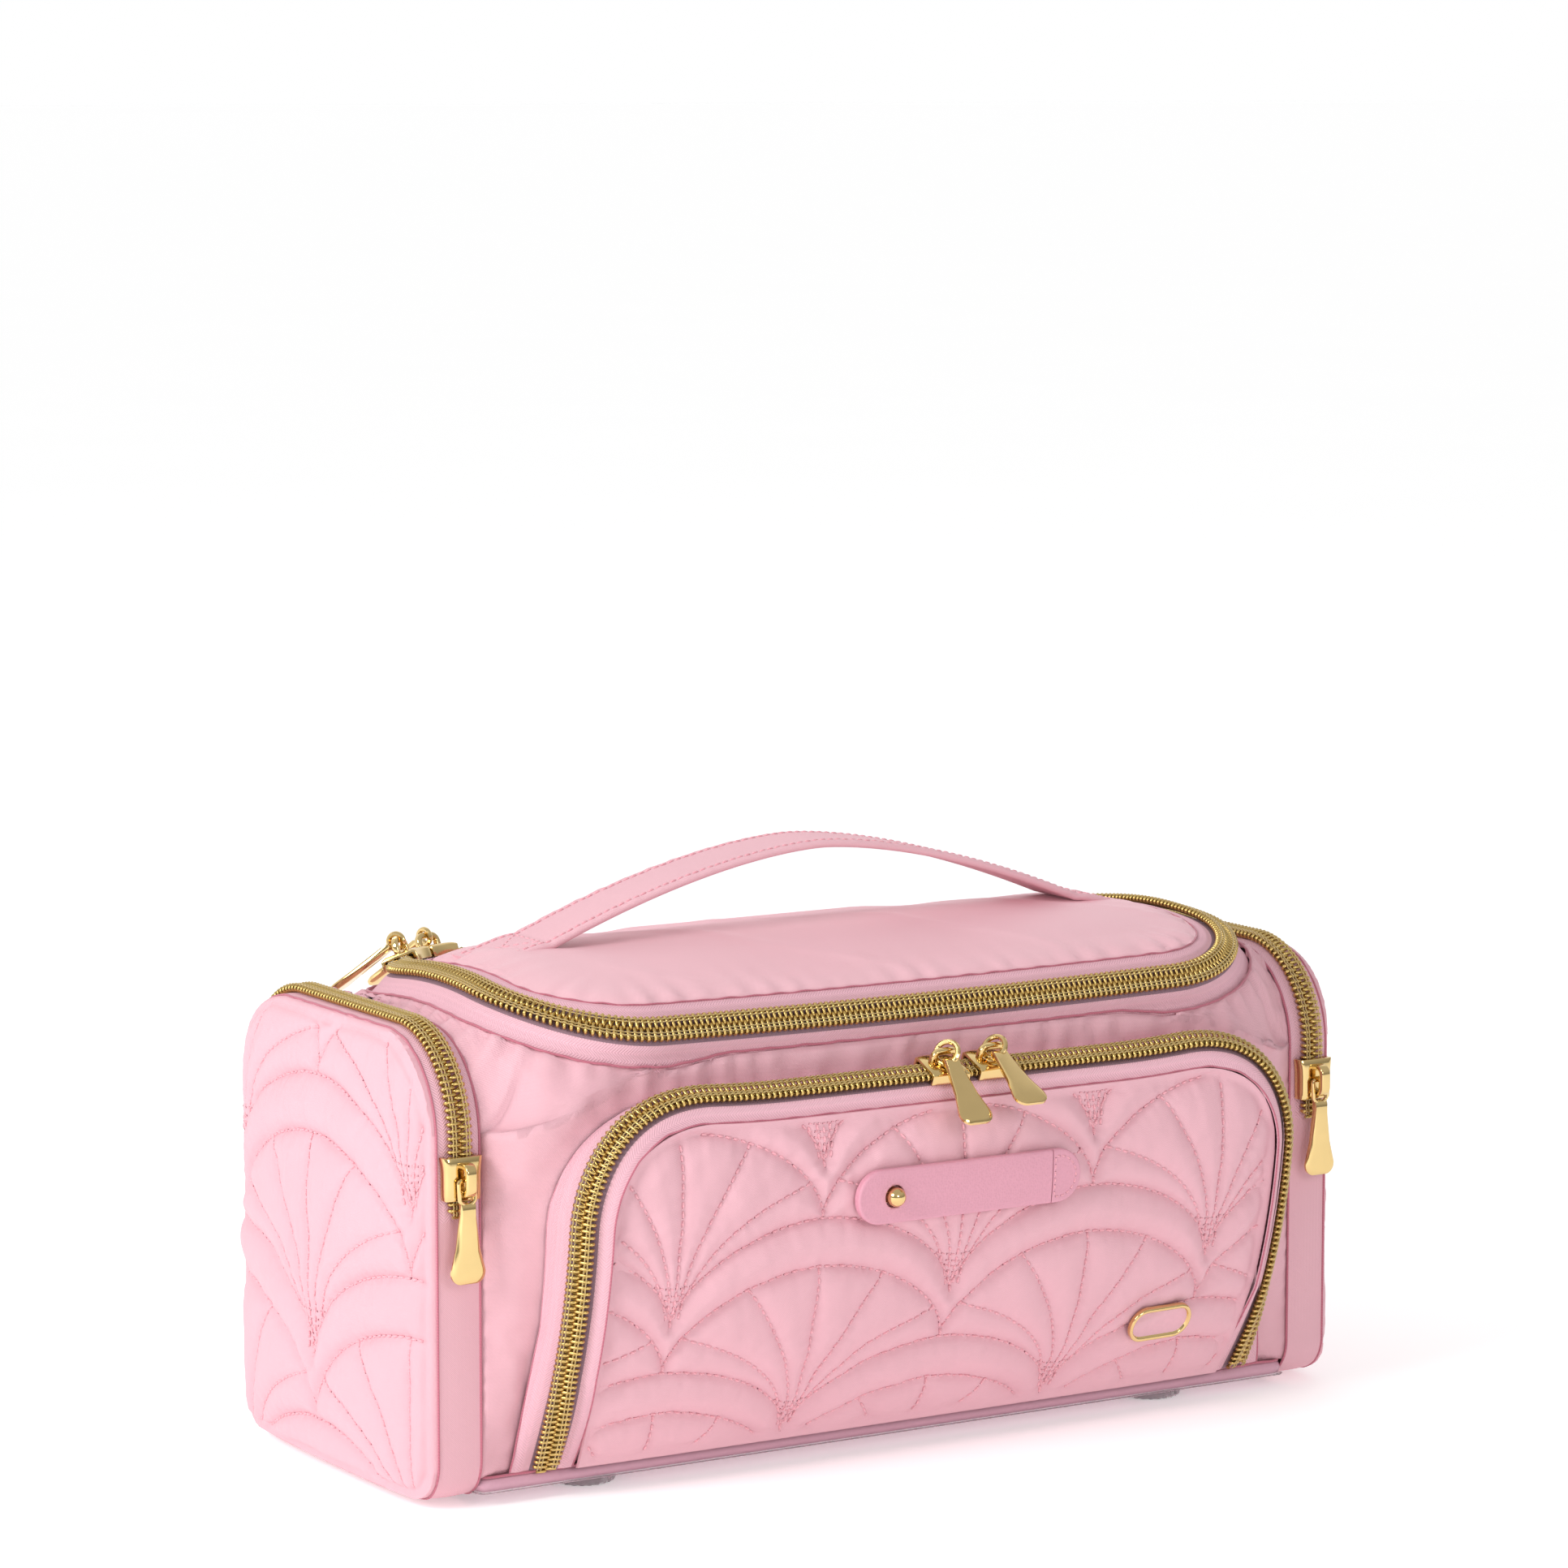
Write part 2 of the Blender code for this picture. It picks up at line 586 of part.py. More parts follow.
def prism(ring_a, ring_b):
    """Closed solid between two matching outlines."""
    mesh_data = bmesh.new()
    verts_a = [mesh_data.verts.new(p) for p in ring_a]
    verts_b = [mesh_data.verts.new(p) for p in ring_b]
    mesh_data.faces.new(verts_a)
    mesh_data.faces.new(verts_b[::-1])
    for index in range(len(verts_a)):
        after = (index + 1) % len(verts_a)
        mesh_data.faces.new((verts_a[index], verts_b[index], verts_b[after], verts_a[after]))
    return mesh_data


def shoulder_outer_edge(side, count):
    """Outer edge of a shoulder: the front wall's top, the end section, the back wall's top."""
    start_x = LID_HALF_LENGTH - LID_RADIUS
    front = []
    back = []
    for x in np.linspace(start_x, SEAM_X, 7):
        level = wall_top(x) + WALL_EDGE_CLEAR
        front.append((x, -wall_depth(x, level, FRONT_PROFILE), level))
        back.append((x, wall_depth(x, level, BACK_PROFILE), level))
    corner_y = END_HALF_DEPTH - END_TOP_RADIUS
    corner_z = END_TOP - END_TOP_RADIUS
    arc = [(SEAM_X, -corner_y - END_TOP_RADIUS * math.cos(t), corner_z + END_TOP_RADIUS * math.sin(t))
           for t in np.radians((12.0, 30.0, 48.0, 66.0, 84.0))]
    over = arc + [(x, -y, z) for x, y, z in arc[::-1]]
    route = np.array(front + over + back[::-1])
    route[:, 0] *= side
    return resample(route, count)


def resample(route, count):
    """Points spread evenly along a polyline."""
    lengths = np.concatenate([[0.0], np.cumsum(np.linalg.norm(np.diff(route, axis=0), axis=1))])
    wanted = np.linspace(0.0, lengths[-1], count)
    return np.stack([np.interp(wanted, lengths, route[:, axis]) for axis in range(3)], axis=1)


def build_shoulders():
    """Top of the body between the lid zip and the end pockets, and the strip behind the lid."""
    count = 21
    front_run = 6
    outer_path = lid_zip_path(*LID_OUTER_TILT)
    edge = outer_path.at(TAPE_OUTER + 2.0 * GAP)
    middle = len(edge) // 2
    for node, side in (("left_shoulder", -1.0), ("right_shoulder", 1.0)):
        half = edge[:middle + 1][::-1] if side < 0 else edge[middle:]
        inner = resample(half[front_run:], count)
        outer = shoulder_outer_edge(side, count)
        rows = [inner + (outer - inner) * share for share in (0.0, 0.35, 0.7, 1.0)]
        grid = np.array(rows)
        normals = grid_normals(grid)
        lift = np.array((0.0, SHOULDER_PUFF, SHOULDER_PUFF, 0.0))
        grid = grid + normals * lift[:, None, None]
        add_part(node, "pink_fabric", slab_mesh(grid, grid - grid_normals(grid) * TOP_CLOTH))
    columns = np.linspace(-1.0, 1.0, 9) * (LID_HALF_LENGTH - LID_RADIUS - 2.0 * MM)
    route = [(HINGE_Y + GAP, float(lid_height(0.0, HINGE_Y)))]
    route += BACK_TOP_FOLD
    route.append((wall_depth(0.0, WALL_TOP_MIDDLE, BACK_PROFILE), WALL_TOP_MIDDLE + WALL_EDGE_CLEAR))
    grid = np.array([[(x, y, z) for x in columns] for y, z in route])
    add_part("back_top_panel", "pink_fabric", slab_mesh(grid, grid - grid_normals(grid) * TOP_CLOTH))


def build_lining():
    """Tub of thin cloth in the main space, open at the top and wider there."""
    lining = bmesh.new()
    bmesh.ops.create_cube(lining, size=1.0)
    for vert in lining.verts:
        y_range = LINING_TOP_Y if vert.co.z > 0 else LINING_LOW_Y
        vert.co.x = math.copysign(LINING_HALF_X, vert.co.x)
        vert.co.y = y_range[1] if vert.co.y > 0 else y_range[0]
        vert.co.z = LINING_TOP if vert.co.z > 0 else BASE_BOARD_Z[1] + GAP
    lid_face = max(lining.faces, key=lambda face: face.calc_center_median().z)
    bmesh.ops.delete(lining, geom=[lid_face], context="FACES_ONLY")
    part = add_part("body_lining", "lining_fabric", lining)
    solidify = part.modifiers.new("cloth", "SOLIDIFY")
    solidify.thickness = LINING_CLOTH
    solidify.offset = -1.0


# ---------------------------------------------------------------- lid

def build_lid_zip():
    chain = lid_zip_path(*LID_CHAIN_TILT)
    outer = lid_zip_path(*LID_OUTER_TILT)
    rows = np.array([outer.at(TAPE_OUTER), outer.at(CHAIN_HALF), chain.at(0.0), chain.at(-TAPE_INNER)])
    normals = np.array([outer.normals, outer.normals, chain.normals, chain.normals])
    tape = slab_mesh(rows - normals * TAPE_HALF, rows + normals * TAPE_HALF)
    add_part("lid_zip_tape", "zip_tape", tape)
    add_part("lid_zip_chain", "gold_metal", chain_mesh(chain))


def lid_outline_y(x, inset, half_length):
    """Front and back edges of the lid panel at one x, inside the zip by inset."""
    radius = LID_RADIUS - inset
    front = LID_MIDDLE_Y - LID_HALF_WIDTH + inset
    back = LID_MIDDLE_Y + LID_HALF_WIDTH - inset
    past = np.clip(np.abs(x) - (half_length - radius), 0.0, radius)
    cut = radius - np.sqrt(np.maximum(radius ** 2 - past ** 2, 0.0))
    return front + cut, back - cut


def lid_grid(inset, rise, pad):
    """Surface of the lid inside its rim."""
    half_length = LID_HALF_LENGTH - inset
    shares = mirrored((0.0, 0.3, 0.6, 0.78, 0.87, 0.94, 0.985, 1.0))
    columns = shares * half_length
    front, back = lid_outline_y(columns, inset, half_length)
    grid = []
    for share in np.linspace(0.0, 1.0, 8):
        y = front + (back - front) * share
        edge = (1.0 - np.abs(shares) ** 6) * (1.0 - np.abs(2.0 * share - 1.0) ** 3)
        z = lid_height(columns, y) + rise + pad * edge
        grid.append(np.stack([columns, y, z], axis=1))
    return np.array(grid)


def lid_hinge():
    return (0.0, HINGE_Y, float(lid_height(0.0, HINGE_Y)) + HINGE_STRIP_RISE)


def build_lid():
    """Padded lid with its rim tape, lining and the strip of cloth that hinges it to the back."""
    origin = lid_hinge()
    top = lid_grid(LID_RIM_TO + GAP, LID_RISE, LID_PAD)
    bottom = lid_grid(LID_RIM_TO + GAP, LID_RISE - LID_THICKNESS, 0.0)
    add_part("lid_panel", "pink_fabric", slab_mesh(top, bottom), origin)
    lining_top = lid_grid(LID_RIM_TO + LID_LINING_INSET, LID_RISE - LID_THICKNESS - 2.0 * GAP, 0.0)
    lining_low = lining_top - np.array((0.0, 0.0, LINING_CLOTH))
    add_part("lid_lining", "lining_fabric", slab_mesh(lining_top, lining_low), origin)
    inner = lid_zip_path(*LID_INNER_TILT)
    chain = lid_zip_path(*LID_CHAIN_TILT)
    start = chain.at(-LID_RIM_FROM)
    end = start - inner.across * (LID_RIM_TO - LID_RIM_FROM)
    rows = np.array([start, end])
    rim = slab_mesh(rows - inner.normals * TAPE_HALF, rows + inner.normals * TAPE_HALF)
    add_part("lid_rim_tape", "zip_tape", rim, origin)
    columns = np.linspace(-1.0, 1.0, 5) * (LID_HALF_LENGTH - LID_RADIUS - 6.0 * MM)
    back_edge = LID_MIDDLE_Y + LID_HALF_WIDTH - LID_RIM_TO
    strip = np.array([[(x, y, lid_height(x, y) + HINGE_STRIP_RISE) for x in columns]
                      for y in (back_edge + GAP, HINGE_Y - GAP)])
    below = strip - np.array((0.0, 0.0, HINGE_STRIP_THICKNESS))
    add_part("lid_hinge_strip", "pink_fabric", slab_mesh(strip, below), origin)


def handle_route():
    """Middle line of the handle strap in the XZ plane, sewn flat at its ends."""
    seat = lid_seat_height(HANDLE_BASE_X)
    half = []
    for share in np.linspace(0.0, 1.0, 15):
        x = HANDLE_BASE_X * share
        half.append((x, seat + (HANDLE_PEAK - seat) * (1.0 - share ** 1.8)))
    for x in np.linspace(HANDLE_BASE_X, HANDLE_END_X, 4)[1:]:
        half.append((x, lid_seat_height(x)))
    return [(-x, z) for x, z in half[:0:-1]] + half


def lid_seat_height(x):
    """Height at which the strap's middle line lies when it is flat on the lid."""
    half_length = LID_HALF_LENGTH - LID_RIM_TO
    edge = 1.0 - (abs(x) / half_length) ** 6
    surface = float(lid_height(x, LID_MIDDLE_Y)) + LID_RISE + LID_PAD * edge
    return surface + 2.0 * GAP + HANDLE_THICKNESS / 2


def build_handle():
    route = np.array(handle_route())
    tangents = unit(np.gradient(route, axis=0))
    normals = np.stack([-tangents[:, 1], tangents[:, 0]], axis=1)
    normals *= np.sign(normals[:, 1])[:, None]
    sides = []
    for lift in (-HANDLE_THICKNESS / 2, HANDLE_THICKNESS / 2):
        line = route + normals * lift
        sides.append(np.array([[(x, HANDLE_Y + y, z) for x, z in line]
                               for y in (-HANDLE_WIDTH / 2, HANDLE_WIDTH / 2)]))
    add_part("handle_strap", "pink_fabric", slab_mesh(*sides), lid_hinge())


# ---------------------------------------------------------------- front pocket

def front_tape_edge(chain):
    """Seam of the front zip tape on the wall of the body."""
    edge = []
    for point, (x, z, angle) in zip(chain.points, front_plan()):
        turn = math.radians(angle)
        low = 1.0 - np.clip((z - FRONT_ZIP_BOTTOM) / FRONT_TAPE_FOOT_HEIGHT, 0.0, 1.0)
        spread = FRONT_TAPE_SPREAD + FRONT_TAPE_FOOT_SPREAD * low
        edge_x = point[0] + spread * math.cos(turn)
        edge_z = point[2] - FRONT_TAPE_DROP * math.sin(turn)
        edge_y = -wall_depth(edge_x, edge_z, FRONT_PROFILE) - FRONT_TAPE_STAND_OFF
        edge.append((edge_x, edge_y, edge_z))
    return np.array(edge)


def build_front_zip():
    """Tape that makes the pocket's side walls, flat under the chain, and the chain on it."""
    chain = front_zip_path(*FRONT_CHAIN_FACE)
    inner = front_zip_path(*FRONT_INNER_FACE)
    body_edge = front_tape_edge(chain)
    body_side = unit(body_edge - chain.at(-CHAIN_HALF))
    tangents = unit(np.gradient(chain.points, axis=0))
    body_normals = unit(np.cross(tangents, body_side))
    body_normals *= np.sign(np.einsum("ij,ij->i", body_normals, chain.normals))[:, None]
    panel_edge = chain.at(CHAIN_HALF) + inner.across * FRONT_TAPE_INNER
    rows = np.array([body_edge, chain.at(-CHAIN_HALF), chain.at(CHAIN_HALF), panel_edge])
    normals = np.array([body_normals, chain.normals, chain.normals, inner.normals])
    tape = slab_mesh(rows - normals * TAPE_HALF, rows + normals * TAPE_HALF)
    add_part("front_zip_tape", "zip_tape", tape)
    add_part("front_zip_chain", "gold_metal", chain_mesh(chain))


def panel_top(x, inset):
    """Height of the front panel's upper edge, with elliptical corners."""
    corner_x = FRONT_ZIP_X - FRONT_ZIP_RADIUS
    reach_x = FRONT_ZIP_RADIUS - PANEL_SIDE_INSET - inset
    reach_z = FRONT_ZIP_RADIUS - PANEL_TOP_INSET - inset
    past = np.clip((np.abs(x) - corner_x) / reach_x, 0.0, 1.0)
    corner_z = FRONT_ZIP_TOP - FRONT_ZIP_RADIUS
    rise = np.sqrt(np.maximum(1.0 - past ** 2, 0.0))
    return corner_z + (reach_z - front_zip_droop(x)) * rise


def front_grid(inset, setback, padded):
    """Surface of the drop-down panel."""
    half = FRONT_ZIP_X - PANEL_SIDE_INSET - inset
    shares = mirrored((0.0, 0.3, 0.6, 0.76, 0.86, 0.94, 0.985, 1.0))
    columns = shares * half
    tops = panel_top(columns, inset)
    grid = []
    for share in np.linspace(0.0, 1.0, 8):
        z = PANEL_BOTTOM + inset + (tops - PANEL_BOTTOM - inset) * share
        face = panel_face(columns, z) if padded else front_zip_depth(z) - PANEL_FORWARD
        foot = np.clip(1.0 - (z - PANEL_BOTTOM) / PANEL_FOOT_HEIGHT, 0.0, 1.0)
        grid.append(np.stack([columns - shares * foot * PANEL_FOOT_INSET, face + setback, z], axis=1))
    return np.array(grid)


def front_hinge():
    return (0.0, float(front_zip_depth(PANEL_BOTTOM)) - PANEL_FORWARD, PANEL_BOTTOM)


def build_front_panel():
    origin = front_hinge()
    panel = slab_mesh(front_grid(0.0, 0.0, True), front_grid(0.0, PANEL_BACK, False))
    add_part("front_panel", "quilted_fabric", panel, origin)
    front = front_grid(PANEL_LINING_INSET, PANEL_BACK + GAP, False)
    lining = slab_mesh(front, front + np.array((0.0, LINING_CLOTH, 0.0)))
    add_part("front_panel_lining", "lining_fabric", lining, origin)


def on_panel(x, z, out):
    """Point above the front panel's outer face."""
    step = 0.5 * MM
    slope_z = float(panel_face(x, z + step) - panel_face(x, z - step)) / (2.0 * step)
    normal = Vector((0.0, -1.0, slope_z)).normalized()
    return Vector((x, float(panel_face(x, z)), z)) + normal * out


def plate_on_panel(outline, low, high):
    """Solid plate with an outline in x and z, seated on the front panel."""
    return prism([on_panel(x, z, low) for x, z in outline], [on_panel(x, z, high) for x, z in outline])


def stadium_end(centre_x, centre_z, radius, start, end, steps=8):
    angles = np.radians(np.linspace(start, end, steps))
    return [(centre_x + radius * math.cos(a), centre_z + radius * math.sin(a)) for a in angles]


def build_tab():
    """Leather tab that hinges at its stitched end and buttons over a ball stud."""
    radius = TAB_HALF_HEIGHT
    low = 3.0 * GAP
    high = low + TAB_THICKNESS
    anchor = stadium_end(TAB_X[1] - radius, TAB_Z, radius, -90.0, 90.0)
    anchor += [(TAB_HINGE_X + GAP, TAB_Z + radius), (TAB_HINGE_X + GAP, TAB_Z - radius)]
    add_part("tab_anchor", "pink_leather", plate_on_panel(anchor, low, high), front_hinge())
    hinge = on_panel(TAB_HINGE_X, TAB_Z, high)
    strap = stadium_end(TAB_X[0] + radius, TAB_Z, radius, 90.0, 270.0)
    strap += [(TAB_HINGE_X - GAP, TAB_Z - radius), (TAB_HINGE_X - GAP, TAB_Z + radius)]
    tab = add_part("tab_strap", "pink_leather", plate_on_panel(strap, low, high), hinge)
    hole = stadium_end(STUD_X, TAB_Z, STUD_HOLE_RADIUS, 0.0, 337.5, 16)
    cutter = add_helper("tab_hole", plate_on_panel(hole, low - MM, high + MM))
    combine(tab, cutter, "DIFFERENCE")
    stud = bmesh.new()
    seat = on_panel(STUD_X, TAB_Z, GAP)
    head = on_panel(STUD_X, TAB_Z, high + STUD_LIFT)
    bmesh.ops.create_uvsphere(stud, u_segments=14, v_segments=9, radius=STUD_RADIUS)
    lowest = seat.y - head.y
    turn = Matrix.Rotation(math.radians(90.0), 4, "X")
    for vert in stud.verts:
        vert.co = turn @ vert.co
        if vert.co.y > STUD_RADIUS * 0.6:
            vert.co.y = lowest
    bmesh.ops.remove_doubles(stud, verts=stud.verts, dist=0.05 * MM)
    bmesh.ops.translate(stud, vec=head, verts=stud.verts)
    add_part("tab_stud", "gold_metal", stud, front_hinge())


def build_badge():
    half_x, half_z = BADGE_HALF
    shape = rounded_outline(half_x, half_z, BADGE_RADIUS, 5)
    outline = [(BADGE_CENTRE[0] + x, BADGE_CENTRE[1] + z) for x, z in shape]
    low = 2.0 * GAP
    add_part("badge", "gold_metal", plate_on_panel(outline, low, low + BADGE_THICKNESS), front_hinge())


# ---------------------------------------------------------------- end pockets

def end_top(y):
    past = np.clip(np.abs(y) - (END_HALF_DEPTH - END_TOP_RADIUS), 0.0, END_TOP_RADIUS)
    return END_TOP - END_TOP_RADIUS + np.sqrt(np.maximum(END_TOP_RADIUS ** 2 - past ** 2, 0.0))


def end_bottom(y):
    past = np.clip(np.abs(y) - (END_HALF_DEPTH - END_BOTTOM_RADIUS), 0.0, END_BOTTOM_RADIUS)
    return END_BOTTOM + END_BOTTOM_RADIUS - np.sqrt(np.maximum(END_BOTTOM_RADIUS ** 2 - past ** 2, 0.0))


def end_panel_mesh(side, low, high):
    """Part of an end panel between two edges given as functions of y."""
    shares = mirrored((0.0, 0.3, 0.6, 0.78, 0.9, 0.975, 1.0))
    columns = shares * END_HALF_DEPTH
    outer = []
    inner = []
    for share in np.linspace(0.0, 1.0, 6):
        z = low(columns) + (high(columns) - low(columns)) * share
        height = np.abs(z - END_TOP / 2) / (END_TOP / 2)
        pad = END_PANEL_PAD * (1.0 - np.abs(shares) ** 4) * (1.0 - np.clip(height, 0.0, 1.0) ** 4)
        x = END_PANEL_X + END_PANEL_THICKNESS + pad
        outer.append(np.stack([side * x, columns, z], axis=1))
        inner.append(np.stack([side * np.full_like(z, END_PANEL_X), columns, z], axis=1))
    return slab_mesh(np.array(outer), np.array(inner))


def build_end_pockets():
    for name, side in (("left", -1.0), ("right", 1.0)):
        loop = end_loop(0.0, 7)
        rows = [[(side * x, y, z) for y, z in loop] for x in (SEAM_X + GAP, POCKET_OUTER_X)]
        thick = skin(np.array(rows), -TAPE_HALF, TAPE_HALF, closed=True)
        add_part(f"{name}_pocket_gusset", "pink_fabric", thick)
        add_part(f"{name}_zip_chain", "gold_metal", chain_mesh(pocket_zip_path(side)))
        lower = end_panel_mesh(side, end_bottom, lambda y: np.full_like(y, FLAP_Z - GAP))
        add_part(f"{name}_end_panel_lower", "quilted_fabric", lower)
        hinge_x = side * (END_PANEL_X + END_PANEL_THICKNESS + END_PANEL_PAD)
        upper = end_panel_mesh(side, lambda y: np.full_like(y, FLAP_Z + GAP), end_top)
        add_part(f"{name}_end_panel_upper", "quilted_fabric", upper, (hinge_x, 0.0, FLAP_Z))


# ---------------------------------------------------------------- zip sliders and pulls

def placement(point, along, across, normal):
    """Matrix whose X, Y and Z run along the zip, across it and out of it."""
    matrix = Matrix((along, across, normal)).transposed().to_4x4()
    matrix.translation = Vector(point)
    return matrix


def channel_mesh(frames):
    """Slider body: a channel over the chain, swept through placements."""
    low = CHAIN_LOW + SLIDER_SKIRT_GAP
    roof = CHAIN_HIGH + SLIDER_CLEAR
    inner = CHAIN_HALF + SLIDER_CLEAR
    top = roof + SLIDER_PLATE
    section = ((-SLIDER_HALF, low), (-SLIDER_HALF, top), (SLIDER_HALF, top), (SLIDER_HALF, low),
               (inner, low), (inner, roof), (-inner, roof), (-inner, low))
    rings = []
    for frame in frames:
        rings.append([frame @ Vector((0.0, across, out)) for across, out in section])
    mesh_data = bmesh.new()
    verts = [[mesh_data.verts.new(p) for p in ring] for ring in rings]
    count = len(section)
    for before, after in zip(verts, verts[1:]):
        for index in range(count):
            following = (index + 1) % count
            mesh_data.faces.new((before[index], after[index], after[following], before[following]))
    mesh_data.faces.new(verts[0])
    mesh_data.faces.new(verts[-1][::-1])
    bmesh.ops.triangulate(mesh_data, faces=mesh_data.faces)
    return mesh_data


def tube_mesh(route, radius, sides, frame, closed=False):
    """Round bar along a route of points in a placement's XZ plane."""
    route = np.array(route)
    if closed:
        wrapped = np.concatenate([route[-1:], route, route[:1]])
        tangents = unit(wrapped[2:] - wrapped[:-2])
    else:
        tangents = unit(np.gradient(route, axis=0))
    mesh_data = bmesh.new()
    rings = []
    for (x, z), (tx, tz) in zip(route, tangents):
        ring = []
        for step in range(sides):
            angle = 2.0 * math.pi * step / sides
            out = radius * math.cos(angle)
            point = Vector((x - tz * out, radius * math.sin(angle), z + tx * out))
            ring.append(mesh_data.verts.new(frame @ point))
        rings.append(ring)
    last = len(rings) if closed else len(rings) - 1
    for index in range(last):
        before = rings[index]
        after = rings[(index + 1) % len(rings)]
        for step in range(sides):
            following = (step + 1) % sides
            mesh_data.faces.new((before[step], before[following], after[following], after[step]))
    if not closed:
        mesh_data.faces.new(rings[0])
        mesh_data.faces.new(rings[-1][::-1])
    return mesh_data


def crown_route():
    """Arch of the slider's crown, its feet sunk in the plate."""
    centre = (-CROWN_HALF + CROWN_CORNER, CROWN_TOP - CROWN_CORNER)
    route = [(-CROWN_HALF, CROWN_FOOT)]
    for angle in np.radians((180.0, 150.0, 120.0, 90.0)):
        route.append((centre[0] + CROWN_CORNER * math.cos(angle), centre[1] + CROWN_CORNER * math.sin(angle)))
    return route + [(-x, z) for x, z in route[::-1]]


def add_slider(node, frames, centre):
    """Slider with its crown; its origin is at the middle of the slider."""
    slider = add_part(node, "gold_metal", channel_mesh(frames), centre.translation)
    crown = add_helper(f"{node}_crown", tube_mesh(crown_route(), CROWN_RADIUS, 8, centre))
    combine(slider, crown, "UNION")


def pull_outline():
    """Reach and half width along the pull's flat tab."""
    return PULL_NECK + tuple((PULL_LENGTH - short, width) for short, width in PULL_END)


def add_yoke_pull(node, frame):
    """Pull that hangs from a cross bar under the crown and flips out from the case."""
    half = PULL_HALF_THICKNESS
    outline = [(YOKE_BAR, -YOKE_ARM), (YOKE_BAR, YOKE_ARM)]
    outline += [(-reach, width) for reach, width in pull_outline()]
    outline += [(-reach, -width) for reach, width in pull_outline()[::-1]]
    faces = [[frame @ Vector((x, y, YOKE_LEVEL + side * half)) for x, y in outline] for side in (-1.0, 1.0)]
    pivot = frame @ Vector((0.0, 0.0, YOKE_LEVEL))
    pull = add_part(node, "gold_metal", prism(*faces), pivot)
    depth, width = YOKE_WINDOW
    window = ((-YOKE_BAR, -width), (-YOKE_BAR, width), (-depth, width), (-depth, -width))
    sides = [[frame @ Vector((x, y, YOKE_LEVEL + side * 2.0 * half)) for x, y in window]
             for side in (-1.0, 1.0)]
    cutter = add_helper(f"{node}_window", prism(*sides))
    combine(pull, cutter, "DIFFERENCE")


def add_ring_pull(node, frame, lay_angle):
    """Pull whose eye rings the crown's top bar; lay_angle turns it down from straight out."""
    pivot = frame @ Vector((0.0, 0.0, CROWN_TOP))
    local = frame @ Matrix.Translation((0.0, 0.0, CROWN_TOP)) @ Matrix.Rotation(lay_angle, 4, "X")
    shape = [(reach - EYE_TAB_SHIFT, width) for reach, width in pull_outline()]
    outline = [(-width, reach) for reach, width in shape]
    outline += [(width, reach) for reach, width in shape[::-1]]
    faces = [[local @ Vector((x, side * PULL_HALF_THICKNESS, z)) for x, z in outline]
             for side in (-1.0, 1.0)]
    pull = add_part(node, "gold_metal", prism(*faces), pivot)
    angles = np.radians(np.arange(0.0, 360.0, 30.0))
    route = [(EYE_RADIUS * math.cos(a), EYE_RADIUS * math.sin(a)) for a in angles]
    across = local @ Matrix.Rotation(math.radians(90.0), 4, "Z")
    eye = add_helper(f"{node}_eye", tube_mesh(route, EYE_BAR, 6, across, closed=True))
    combine(pull, eye, "UNION")


def straight_frames(centre):
    return [centre @ Matrix.Translation((shift * SLIDER_LENGTH / 2, 0.0, 0.0)) for shift in (-1.0, 1.0)]


def build_pocket_sliders():
    for name, side in (("left", -1.0), ("right", 1.0)):
        along = Vector((0.0, 0.0, 1.0))
        normal = Vector((0.0, -1.0, 0.0))
        across = normal.cross(along)
        centre = placement((side * POCKET_ZIP_X, -END_HALF_DEPTH, POCKET_SLIDER_Z), along, across, normal)
        add_slider(f"{name}_slider", straight_frames(centre), centre)
        add_yoke_pull(f"{name}_pull", centre)


def build_front_sliders():
    path = front_zip_path(*FRONT_CHAIN_FACE)
    middle = len(path.points) // 2
    normal = Vector(path.normals[middle])
    along = Vector((1.0, 0.0, 0.0))
    across = normal.cross(along)
    for name, x, lay in zip(("front_left", "front_right"), FRONT_SLIDER_X, FRONT_PULL_LAY):
        point = Vector(path.points[middle])
        point.x = x
        centre = placement(point, along, across, normal)
        add_slider(f"{name}_slider", straight_frames(centre), centre)
        add_ring_pull(f"{name}_pull", centre, math.radians(lay))


def lid_corner_frame(angle):
    """Placement on the lid zip, at an angle round the left back corner from its end run."""
    turn = math.radians(angle)
    corner = Vector((-(LID_HALF_LENGTH - LID_RADIUS), LID_MIDDLE_Y + LID_HALF_WIDTH - LID_RADIUS, 0.0))
    out = (-math.cos(turn), math.sin(turn))
    x = corner.x + LID_RADIUS * out[0]
    y = corner.y + LID_RADIUS * out[1]
    point, across, normal = lid_frame(x, y, out[0], out[1], LID_CHAIN_TILT[0])
    across = Vector(across)
    normal = Vector(normal)
    return placement(point, across.cross(normal), across, normal)


def build_lid_sliders():
    half_turn = math.degrees(SLIDER_LENGTH / 2 / LID_RADIUS)
    for name, angle in zip(("lid_first", "lid_second"), LID_SLIDER_ANGLES):
        frames = [lid_corner_frame(angle + half_turn * share) for share in (-1.0, -0.5, 0.0, 0.5, 1.0)]
        centre = lid_corner_frame(angle)
        add_slider(f"{name}_slider", frames, centre)
        add_ring_pull(f"{name}_pull", centre, math.radians(-LID_PULL_LAY))


# ---------------------------------------------------------------- the whole case

clear_scene()
PARTS = new_collection("makeup_train_case")
HELPERS = new_collection("cutters")
build_base()
build_walls()
build_shoulders()
build_lining()
build_lid_zip()
build_lid()
build_handle()
build_front_zip()
build_front_panel()
build_tab()
build_badge()
build_end_pockets()
build_pocket_sliders()
build_front_sliders()
build_lid_sliders()
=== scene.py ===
"""Looks of the soft makeup train case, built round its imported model.

Units are metres, +Z up, +X along the case and -Y to its front. Shapes are worked out in the case's
own frame, whose y = 0 is the middle of the end pockets, and moved by FRAME_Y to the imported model.
"""
import math

